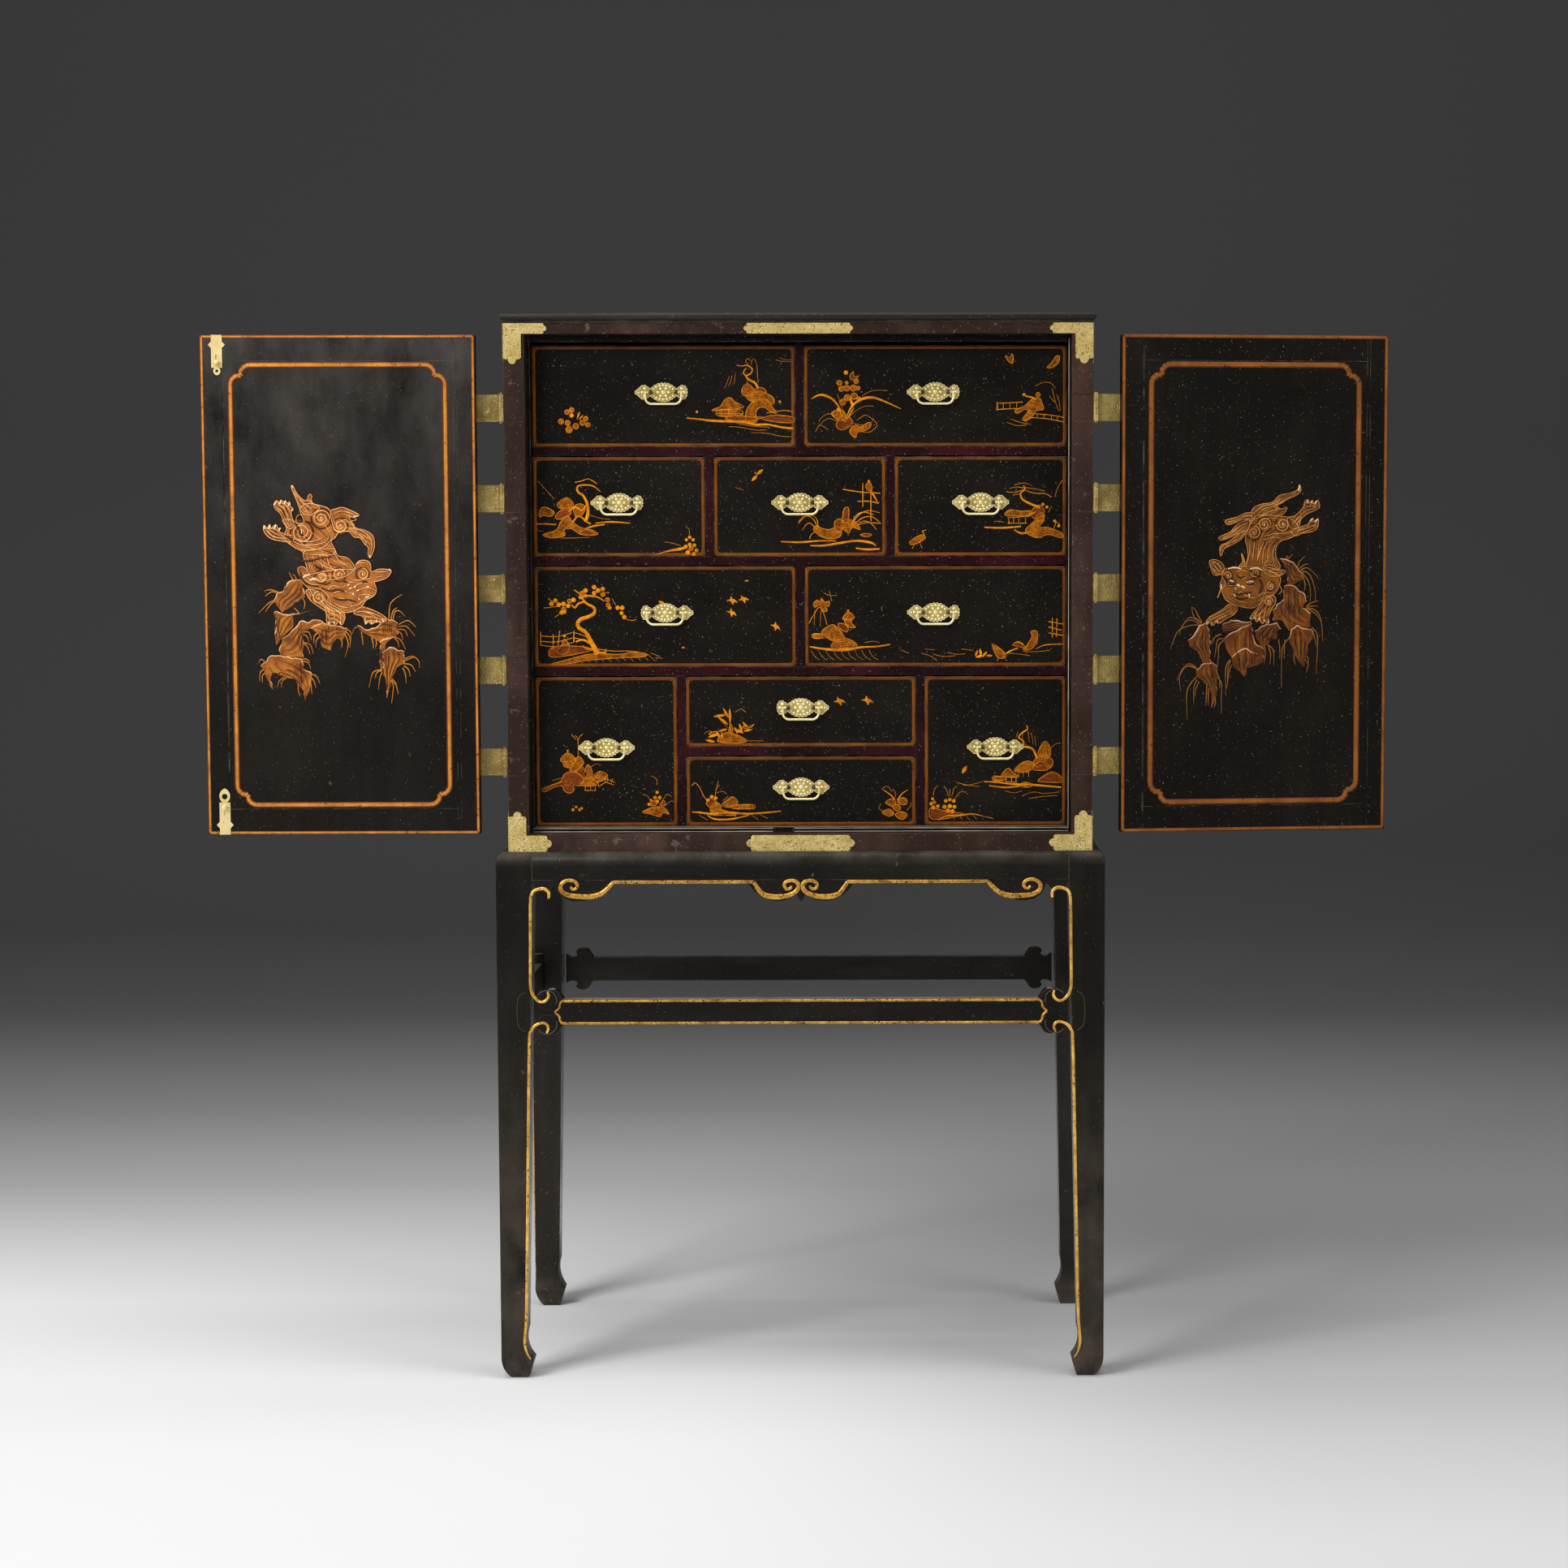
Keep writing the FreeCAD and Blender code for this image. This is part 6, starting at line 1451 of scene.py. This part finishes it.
            ([1, 1], [668, 972, 680, 965, 690, 962]), (0.45, [677, 960, 690, 957])],
        "fill": [
            [688, 934, 697, 926, 707, 933, 702, 936, 692, 937], [692, 937, 703, 937, 701, 944, 693, 943],
            [701, 944, 706, 936, 711, 930, 717, 938, 713, 944, 705, 950, 700, 948],
            [718, 950, 722, 941, 727, 947, 727, 956, 719, 958], [714, 963, 726, 956, 733, 966, 716, 967],
            [728, 957, 737, 949, 747, 955, 736, 962],
            [790, 1000, 797, 996, 806, 993, 816, 994, 823, 1002, 815, 1001, 811, 1006, 800, 1002]],
        "red": [
            [665, 971, 676, 966, 688, 961, 692, 953, 700, 950, 711, 952, 717, 960, 712, 967, 704, 966, 705, 972,
             700, 976, 692, 973, 690, 967, 680, 969, 668, 974],
            [708, 949, 714, 943, 720, 951, 719, 958, 711, 953], [800, 992, 804, 985, 807, 991],
            [811, 991, 816, 985, 818, 992]],
        "dot": [
            (697, 923, 1.4), (808, 975, 2), (805, 982, 2.2), (811, 982, 2.2), (808, 987, 2.4), (798, 990, 2),
            (800, 985, 1.6), (703, 997, 1.8), (707, 993, 1.6), (711, 997, 1.8), (714, 995, 1.6)],
    },
    9: {
        "line": [
            ([1.6, 1], [899, 900, 898, 886, 898, 872]), (0.45, [905, 876, 912, 872, 918, 876]),
            (0.45, [880, 902, 872, 899, 866, 903]), (0.45, [920, 911, 940, 911]), (0.45, [895, 895, 889, 888])],
        "fill": [[883, 911, 888, 904, 896, 901, 904, 903, 911, 906, 919, 911, 912, 914, 900, 915, 890, 914]],
        "red": [
            [897, 900, 899, 891, 902, 896, 901, 902], [915, 893, 924, 893, 928, 891, 924, 895, 916, 896],
            [872, 902, 880, 900, 884, 904, 877, 905]],
        "leaf": [
            (886, 880, 16, 3.2, 8), (890, 887, 15, 3.2, -38), (893, 877, 13, 3, -62), (898, 880, 17, 3.2, -88),
            (912, 895, 11, 2.8, -70), (917, 892, 10, 2.8, -48), (921, 898, 11, 2.6, 12), (909, 899, 13, 3, -25),
            (889, 898, 12, 2.8, 15), (878, 905, 14, 3, 18), (874, 911, 12, 3, -12), (884, 903, 10, 2.8, -66),
            (889, 905, 9, 2.8, -80), (906, 898, 9, 2.4, -62)],
        "bird": [(1034, 863, 1.1, 10), (1069, 862, 1.1, 0)],
    },
    10: {
        "line": [
            (0.8, [851, 967, 855, 964, 860, 969, 866, 980, 870, 986]), (0.6, [879, 990, 881, 975, 884, 961]),
            (0.5, [881, 972, 886, 966]), (0.5, [881, 976, 890, 974, 894, 978]),
            (0.5, [880, 980, 872, 984, 868, 990]),
            ([1.4, 2.6, 2.6, 2.8, 2, 1.4], [851, 1000, 862, 1001, 876, 1002, 896, 1001, 920, 1002, 945, 1001,
             962, 999]), ([0.8, 2.2, 2.4, 1], [870, 1004, 880, 1009, 900, 1009, 922, 1004]),
            (0.8, [903, 992, 927, 991]), (0.8, [903, 996, 927, 996]), (0.7, [910, 992, 910, 996]),
            (0.7, [918, 992, 918, 996]), (0.7, [927, 990, 927, 997]), (0.5, [890, 986, 896, 980]),
            (0.45, [860, 1004, 870, 1010]), (0.45, [925, 1004, 934, 1010]), (0.45, [935, 1003, 945, 1008]),
            ([2.4, 1.6, 0.5], [1103, 986, 1098, 979, 1088, 972]),
            ([2.4, 1.6, 0.5], [1107, 986, 1112, 978, 1120, 973]), (0.5, [1100, 975, 1094, 969, 1088, 971]),
            (0.45, [1118, 998, 1124, 992, 1122, 988]), (0.45, [1090, 1000, 1084, 996, 1086, 990]),
            (0.45, [1102, 988, 1104, 978, 1101, 972])],
        "fill": [
            [888, 991, 894, 986, 901, 981, 908, 987, 905, 992, 896, 994],
            [903, 992, 927, 991, 927, 996, 903, 996],
            [873, 1003, 882, 997, 892, 998, 906, 1004, 892, 1004, 882, 1003],
            [874, 999, 876, 991, 882, 988, 887, 993, 884, 1000],
            [1092, 988, 1098, 984, 1105, 988, 1100, 993, 1094, 991],
            [1107, 986, 1113, 983, 1118, 985, 1117, 991, 1110, 991],
            [1100, 994, 1106, 991, 1111, 996, 1106, 999],
            [1088, 1001, 1096, 997, 1103, 1002, 1097, 1006, 1092, 1004],
            [1104, 1003, 1112, 1000, 1119, 1004, 1113, 1010, 1107, 1007]],
        "red": [
            [869, 989, 874, 983, 880, 985, 882, 991, 874, 994],
            [876, 1003, 884, 999, 892, 1000, 898, 1003, 886, 1004]],
        "dot": [(876, 981, 2.2), (871, 985, 2), (881, 983, 2)],
    },
    11: {
        "line": [
            ([3.2, 2.8, 2.4, 2, 1.6], [1280, 934, 1275, 923, 1269, 920, 1263, 919, 1263, 913, 1257, 908, 1262,
             902, 1268, 898, 1267, 893]), (0.4, [1262, 904, 1261, 912]), (0.4, [1269, 900, 1270, 914]),
            (0.4, [1273, 902, 1275, 917]), (0.4, [1256, 900, 1254, 908]), (0.4, [1277, 906, 1279, 918]),
            ([1.4, 2.4, 2.4, 2.8, 2.2], [1214, 963, 1232, 964, 1250, 966, 1274, 967, 1310, 970]),
            ([1, 2.4, 1.6], [1220, 968, 1240, 970, 1258, 969]), (0.45, [1240, 974, 1252, 977, 1262, 974]),
            (0.45, [1262, 981, 1275, 976, 1290, 978, 1308, 976]), (0.45, [1270, 984, 1285, 982, 1305, 980]),
            (0.45, [1180, 964, 1195, 967, 1212, 963]), (0.45, [1188, 967, 1206, 969]),
            (0.8, [1256, 951, 1270, 951]), (0.7, [1257, 951, 1257, 957]), (0.7, [1263, 951, 1263, 957]),
            (0.7, [1270, 950, 1270, 957]), (0.8, [1242, 957, 1255, 957]), (0.7, [1242, 957, 1242, 963]),
            (0.7, [1248, 957, 1248, 963]), (0.7, [1254, 957, 1254, 964]), (0.8, [1241, 963, 1255, 964]),
            (0.8, [1226, 956, 1240, 957]), (0.8, [1226, 961, 1240, 961]), (0.7, [1227, 955, 1227, 961]),
            (0.5, [1297, 922, 1303, 916, 1309, 915]), (0.45, [1170, 981, 1168, 973, 1164, 969]),
            (0.45, [1172, 981, 1172, 972]), (0.45, [1174, 981, 1177, 972, 1181, 969]),
            (0.45, [1178, 984, 1184, 976, 1192, 976]), (0.45, [1151, 980, 1153, 972, 1157, 968]),
            ([0.8, 2.4, 2.2, 1, 0.5], [1158, 1011, 1168, 1006, 1184, 1005, 1200, 1003, 1212, 1006, 1226, 1009]),
            (0.4, [1184, 1005, 1188, 1011]), (0.4, [1192, 1005, 1197, 1011]), (0.4, [1200, 1004, 1206, 1010]),
            (0.4, [1176, 1006, 1178, 1011])],
        "fill": [
            [1282, 931, 1284, 921, 1290, 913, 1296, 920, 1297, 930, 1291, 935],
            [1276, 937, 1284, 931, 1294, 932, 1300, 938, 1296, 946, 1288, 942, 1279, 945],
            [1252, 950, 1260, 941, 1268, 937, 1275, 940, 1275, 946, 1266, 951],
            [1236, 955, 1244, 946, 1250, 951, 1257, 957, 1241, 957],
            [1226, 956, 1239, 957, 1239, 961, 1226, 961], [1258, 968, 1266, 964, 1276, 967, 1268, 970]],
        "red": [
            [1274, 946, 1284, 938, 1296, 944, 1291, 949, 1280, 949],
            [1281, 962, 1292, 954, 1301, 951, 1310, 957, 1310, 964, 1292, 964],
            [1148, 996, 1165, 999, 1190, 1003, 1175, 1007, 1160, 1010, 1148, 1008]],
        "dot": [
            (1150, 984, 1.8), (1149, 990, 2.2), (1153, 988, 2), (1151, 995, 2.4), (1157, 993, 2.2),
            (1167, 987, 2.2), (1172, 985, 2.2), (1177, 987, 2.2), (1165, 994, 2.6), (1172, 993, 2.6),
            (1178, 994, 2.4), (1169, 999, 2.6), (1175, 1000, 2.6)],
        "leaf": [(1190, 948, 11, 4.4, 60)],
    },
}

birdShape = [(-8, 1), (-3, 2.5), (-2, 7), (1, 3), (4, 2), (8, -3), (3, -1.5), (1, -6), (-2, -1)]


def drawerFace(number):
    # Both corners of a drawer and the place of its lower left corner in front
    low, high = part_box(f"drawer_{number:02d}")
    return low, high, facing((low[0], low[1], low[2]))


def onDrawer(flat, low):
    # Places of the view in whole millimetres from the lower left corner of a drawer
    left, bottom = round(low[0] / mm, 1), round(low[2] / mm, 1)
    places = []
    for x, y in pairs(flat):
        middle = frontView["middle"] + (y - frontView["middleRow"]) * frontView["lean"]
        height = frontView["height"] - (y - frontView["level"]) / frontView["up"]
        places.append((round((x - middle) / frontView["across"] - left), round(height - bottom)))
    return places


def drawnSize(size, share=1.0):
    # A length of the view in millimetres
    return round(size / frontView["across"] * share, 1)


def borderMesh(number):
    # The painted edge of a drawer: a flat band with its inner corners cut across
    low, high, place = drawerFace(number)
    width, height = (high[0] - low[0]) / mm, (high[2] - low[2]) / mm
    sides = lineLoop(frameLine(width, height, drawers["inset"]), drawers["border"])
    lines = sides[:2] + sides[3:]
    reach, corner = drawers["inset"] + drawers["border"] / 2 - 0.5, drawers["corner"]
    turns = ((1, 1), (-1, 1), (-1, -1), (1, -1))
    for (x, y), (sx, sy) in zip(frameLine(width, height, reach), turns):
        lines.append(([(x + sx * corner, y), (x, y), (x, y + sy * corner)], drawers["cornerWidth"]))
    meshes = [strokes("border", lines, 0.06, 1), strokes("border_top", sides[2:3], 0.07, 1)]
    for mesh in meshes:
        mesh.transform(place)
    return meshes


def filled(name, outlines, thick, edge):
    # Filled shapes; outlines of six points or fewer, such as roofs and walls, keep their corners
    return joined(name, [shapes(name, [outline], thick + 0.01 * (step % 8), edge, len(outline) < 7)
                         for step, outline in enumerate(outlines)])


def drawerArt(number):
    # The gold scene on a drawer: fills, shading strokes, lines and red grounds
    art = drawings[number]
    low, high, place = drawerFace(number)
    name = f"drawer_{number:02d}"
    fills, reds = [[onDrawer(flat, low) for flat in art[part]] for part in ("fill", "red")]
    dots = [(*onDrawer(dot[:2], low)[0], drawnSize(dot[2])) for dot in art.get("dot", [])]
    fills += [ring(x, y, radius * 0.85) for x, y, radius in dots if radius > drawers["round"]]
    outlines = [ring(x, y, radius) for x, y, radius in dots if radius <= drawers["round"]]
    for x, y, long, wide, turn in art.get("leaf", []):
        outlines.append(leafShape(*onDrawer((x, y), low)[0], drawnSize(long), drawnSize(wide), turn))
    for x, y, size, turn in art.get("bird", []):
        outlines.append(moved(birdShape, onDrawer((x, y), low)[0], size, turn))
    lines = []
    for widths, flat in art["line"]:
        widths = widths if isinstance(widths, list) else [widths]
        lines.append((onDrawer(flat, low), [drawnSize(width, frontView["brush"]) for width in widths]))
    lines += [(outline, drawers["rim"], True) for outline in fills + reds]
    brush = [(line, [0.4, 0.9, 0.4]) for outline in fills + reds if len(outline) > 4
             and len(outline) != 8 for line in flowLines(outline, (0.28, 0.52, 0.76))]
    bright = joined("gold", [shapes("spots", outlines, 0.24, 0.08), strokes("lines", lines, 0.45, 1)])
    pieces = (("", bright, goldPaint), ("_shade", filled("shade", fills, 0.2, 0.06), shadePaint),
              ("_brush", strokes("brush", brush, 0.6, 1), brushPaint),
              ("_red", filled("red", reds, 0.22, 0.06), redPaint))
    for word, mesh, material in pieces:
        mesh.transform(place)
        addPiece(name + "_drawing" + word, smoothed(mesh), material, name, "black_lacquer")


handle = {"thick": 1.3, "edge": 0.35, "scallop": 1.5, "narrow": 0.935, "post": 19.0, "front": -194.0,
          "postFoot": -195.5}
# Whether the left and the right end of each plate have their tip.
handleTips = {1: (1, 0), 2: (1, 0), 3: (1, 0), 4: (1, 1), 5: (1, 1), 6: (0, 1), 7: (1, 0), 8: (1, 1),
              9: (0, 1), 10: (1, 1), 11: (1, 1)}
handleCusps = [(0, 12.6), (5.5, 12.4), (11, 10.6), (15.5, 7.8), (19.5, 4.8), (23, 4.2), (26.5, 8.2), (32, 9.8),
               (36.5, 7.2), (39, 4.6), (41.8, 2.8), (45, 0)]


def scalloped(cusps, tips, bulge):
    # A closed outline of outward arcs between cusps; an end without its tip is short and round
    around = []
    for side, tip in ((1, tips[1]), (-1, tips[0])):
        quarter = cusps if tip else cusps[:-4] + [(35.9, 6.4), (37.0, 2.2)]
        half = quarter + [(x, -y) for x, y in (quarter[-2::-1] if tip else quarter[::-1])]
        half = [(side * x, y) for x, y in half]
        around += half if side > 0 else half[-2:0:-1]
    points = []
    for i, (x, y) in enumerate(around):
        nx, ny = around[(i + 1) % len(around)]
        dx, dy = nx - x, ny - y
        length = math.hypot(dx, dy)
        out = (-dy / length, dx / length)
        for share in (0, 0.2, 0.5, 0.8):
            rise = bulge * math.sin(math.pi * share) * min(1, length / 4)
            points.append((x + dx * share + out[0] * rise, y + dy * share + out[1] * rise))
    return points


def turned(profile, steps=14):
    # A round part spun from its profile of radius and height; a radius of 0 is a single point
    places, faces, rings = [], [], []
    for radius, height in profile:
        angles = [2 * math.pi * step / steps for step in range(steps if radius else 1)]
        rings.append(range(len(places), len(places) + len(angles)))
        places += [(radius * math.cos(angle) * mm, radius * math.sin(angle) * mm, height * mm)
                   for angle in angles]
    for low, high in zip(rings, rings[1:]):
        for step in range(steps):
            after = (step + 1) % steps
            corners = [low[step % len(low)], low[after % len(low)],
                       high[after % len(high)], high[step % len(high)]]
            faces.append(list(dict.fromkeys(corners)))
    mesh = bpy.data.meshes.new("turned")
    mesh.from_pydata(places, [], faces)
    return mesh


def boss(x, y, wide, tall, rise):
    # A low embossed swelling
    mesh = turned([(1.0, 0.0), (0.92, 0.45), (0.66, 0.80), (0.30, 0.96), (0.0, 1.0)], 10)
    mesh.transform(Matrix.Translation((x * mm, y * mm, 0)) @ Matrix.Diagonal((wide, tall, rise, 1)))
    return mesh


def handlePlateMesh(tips):
    # The plate of a handle, and the bosses and ridges raised on it
    outline = scalloped(handleCusps, tips, handle["scallop"])
    plate = shapes("plate", [outline], handle["thick"], handle["edge"], True)
    # Each boss: place, half width, half height and rise
    bosses = [(0, 0, 3.4, 3.4, 1.5), (0, 10.6, 2.4, 1.8, 0.9), (0, -10.6, 2.4, 1.8, 0.9)]
    ridges = [(outline, 1.2, True), (ring(0, 0, 4.8, 12), 0.9, True)]
    for step in range(6):
        angle = math.radians(60 * step)
        bosses.append((8.6 * math.cos(angle), 6.4 * math.sin(angle), 2.4, 2.1, 1.2))
    for side, tip in ((1, tips[1]), (-1, tips[0])):
        for up in (-1, 1):
            bosses += [(side * 5.6, up * 10.0, 2.3, 1.7, 1.0), (side * 11.0, up * 8.0, 2.3, 1.7, 1.0),
                       (side * 15.4, up * 5.0, 2.0, 1.6, 1.0), (side * 29.5, up * 5.6, 2.9, 2.5, 1.1)]
            ridges += [([(side * 14, up * 2), (side * 18, up * 1.2), (side * 23, up * 1.8)], 1.0),
                       (spiral(side * 29.5, up * 5.6, 3.6, 1.1, 90 * up, side), 0.9)]
        bosses += [(side * 24.4, 0, 2.2, 2.0, 1.0), (side * 33.4, 0, 2.8, 2.3, 1.1)]
        if tip:
            bosses.append((side * 39.6, 0, 2.4, 1.2, 0.9))
            ridges.append(([(side * 36.6, 3.8), (side * 39.6, 2.6), (side * 43, 0.4), (side * 39.6, -2.6),
                            (side * 36.6, -3.8)], 0.9))
    raised = joined("raised", [strokes("ridges", ridges, 1.0, 1)] + [boss(*place) for place in bosses])
    raised.transform(Matrix.Translation((0, 0, handle["thick"] / 2 * mm)))
    for mesh in (plate, raised):
        mesh.transform(Matrix.Diagonal((handle["narrow"], 1, 1, 1)))
    return plate, raised


postProfile = [(0.0, -1.0), (3.2, -1.0), (3.3, 0.2), (2.2, 0.9), (1.9, 2.4), (2.7, 3.8), (3.0, 5.4), (2.6, 7.0),
               (1.5, 7.9), (0.0, 8.2)]


def dressHandle(number):
    name = f"drawer_{number:02d}"
    low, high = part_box(name + "_handle_plate")
    middle = ((low[0] + high[0]) / 2, (handle["front"] - handle["thick"] / 2) * mm, (low[2] + high[2]) / 2)
    plate, raised = handlePlateMesh(handleTips[number])
    for mesh in (plate, raised):
        mesh.transform(facing(middle))
    posts = []
    for side in (-1, 1):
        post = turned(postProfile)
        post.transform(facing((middle[0] + side * handle["post"] * mm, handle["postFoot"] * mm, middle[2])))
        posts.append(post)
    addPiece(name + "_handle_back", smoothed(plate, 35), plateBrass, name, "brass", name + "_handle_plate")
    addPiece(name + "_handle_ornament", smoothed(raised), handleBrass, name, "brass")
    addPiece(name + "_handle_posts", smoothed(joined("posts", posts)), postMetal, name, "brass")
    dress(name + "_bail", handleBrass)


for number in range(1, 12):
    name = f"drawer_{number:02d}"
    softened(name, name, drawerLacquer, "black_lacquer", 0.8)
    border, borderTop = borderMesh(number)
    addPiece(name + "_border", border, borderPaint, name, "black_lacquer")
    addPiece(name + "_border_top", borderTop, borderDark, name, "black_lacquer")
    drawerArt(number)
    dressHandle(number)
print("drawers dressed")


# Each lamp: place, size, power and what it looks at.
studio = {
    "floorFront": -40.0, "floorBack": 3.4, "wall": 12.0, "half": 40.0, "curve": 1.6, "world": 0.30,
    "lamps": {"Key": ((-3.2, -3.6, 3.4), (2.2, 2.2), 175.0, (0, 0, 0.9)),
              "Fill": ((5.0, -3.0, 2.6), (2.6, 2.6), 60.0, (0, 0, 0.9)),
              "Top": ((0.0, -0.6, 4.2), (3.2, 2.0), 75.0, (0, 0.2, 0.6))},
}
# The tone of the floor from the front of it to the top of the wall, on the left and on the right: a painted
# falloff of light from pale in front to dark at the wall, and a painted shadow over the right of the floor
floorTone = {
    "from": -2.0, "to": 14.0, "turn": (-0.25, 0.75),
    "left": [(0.06, 0.87), (0.10, 0.91), (0.14, 0.97), (0.17, 0.75), (0.20, 0.52), (0.25, 0.34), (0.31, 0.22),
             (0.36, 0.12), (0.39, 0.08), (0.60, 0.07)],
    "right": [(0.06, 0.79), (0.11, 0.60), (0.17, 0.39), (0.20, 0.41), (0.25, 0.36), (0.31, 0.23), (0.36, 0.13),
              (0.39, 0.09), (0.42, 0.073), (0.60, 0.073)],
}


def parts(geometry, kind):
    return [part for part in geometry if isinstance(part, kind)]


def backdrop():
    # A floor that bends up into a wall
    shape = bmesh.new()
    start = [shape.verts.new((side * studio["half"], studio["floorFront"], 0)) for side in (-1, 1)]
    forward = bmesh.ops.extrude_edge_only(shape, edges=[shape.edges.new(start)])["geom"]
    reach = studio["floorBack"] - studio["floorFront"]
    bmesh.ops.translate(shape, vec=(0, reach, 0), verts=parts(forward, bmesh.types.BMVert))
    bend = bmesh.ops.spin(shape, geom=parts(forward, bmesh.types.BMEdge),
                          cent=(0, studio["floorBack"], studio["curve"]), axis=(1, 0, 0), dvec=(0, 0, 0),
                          angle=math.radians(90), steps=16)
    top = parts(bend["geom_last"], bmesh.types.BMEdge)
    rise = bmesh.ops.extrude_edge_only(shape, edges=top)["geom"]
    bmesh.ops.translate(shape, vec=(0, 0, studio["wall"]), verts=parts(rise, bmesh.types.BMVert))
    bmesh.ops.recalc_face_normals(shape, faces=shape.faces)
    mesh = bpy.data.meshes.new("backdrop")
    shape.to_mesh(mesh)
    shape.free()
    obj = bpy.data.objects.new("backdrop", smoothed(mesh))
    scene.collection.objects.link(obj)
    material, tree, shader = surface("Backdrop paper", (0.8, 0.8, 0.8), 0.9)
    shader.inputs["Specular IOR Level"].default_value = 0.0
    place = placeOn(tree)
    run = addNode(tree, "Math", {0: place["Y"], 1: place["Z"]}, operation="ADD").outputs[0]
    share = mapped(tree, run, floorTone["from"], floorTone["to"])
    tones = []
    for side in ("left", "right"):
        ramp = addNode(tree, "ValToRGB", {0: share})
        elements = ramp.color_ramp.elements
        while len(elements) < len(floorTone[side]):
            elements.new(0.5)
        for element, (at, tone) in zip(elements, floorTone[side]):
            element.position = at
            element.color = (tone, tone, tone, 1)
        tones.append(ramp.outputs[0])
    # Painted shadow: the floor turns darker towards the right
    first, last = floorTone["turn"]
    across = addNode(tree, "MapRange", {"Value": place["X"], "From Min": first, "From Max": last},
                     interpolation_type="SMOOTHSTEP")
    tree.links.new(mixColor(tree, across.outputs[0], *tones), shader.inputs["Base Color"])
    mesh.materials.append(material)


def lamp(name, place, size, power, target):
    data = bpy.data.lights.new(name, "AREA")
    data.shape = "RECTANGLE"
    data.size, data.size_y = size
    data.energy = power
    obj = bpy.data.objects.new(name, data)
    scene.collection.objects.link(obj)
    obj.location = place
    obj.rotation_euler = (Vector(target) - Vector(place)).to_track_quat("-Z", "Y").to_euler()


backdrop()
for name, values in studio["lamps"].items():
    lamp(name, *values)
world = bpy.data.worlds.new("Studio")
scene.world = world
world.use_nodes = True
world.node_tree.nodes["Background"].inputs[0].default_value = (1, 1, 1, 1)
world.node_tree.nodes["Background"].inputs[1].default_value = studio["world"]

# The camera: place in metres; focal length, frame width and middle of the view across in pixels of the
# frame; turns in degrees; sensor in millimetres.
view = {"place": (0.1278, -4.8601, 1.2543), "focal": 3822.4, "frame": 1932.0, "centre": 1120.0,
        "pitch": 4.379, "yaw": -0.428, "roll": -0.104, "sensor": 36.0}
cameraData = bpy.data.cameras.new("Camera")
cameraData.sensor_width = view["sensor"]
cameraData.lens = view["focal"] / view["frame"] * view["sensor"]
cameraData.shift_x = (view["frame"] / 2 - view["centre"]) / view["frame"]
camera = bpy.data.objects.new("Camera", cameraData)
scene.collection.objects.link(camera)
camera.location = view["place"]
tilt = Matrix.Rotation(math.radians(90 - view["pitch"]), 4, "X")
camera.rotation_euler = (Matrix.Rotation(math.radians(view["yaw"]), 4, "Z") @ tilt
                         @ Matrix.Rotation(math.radians(view["roll"]), 4, "Z")).to_euler()
scene.camera = camera
print("studio set")
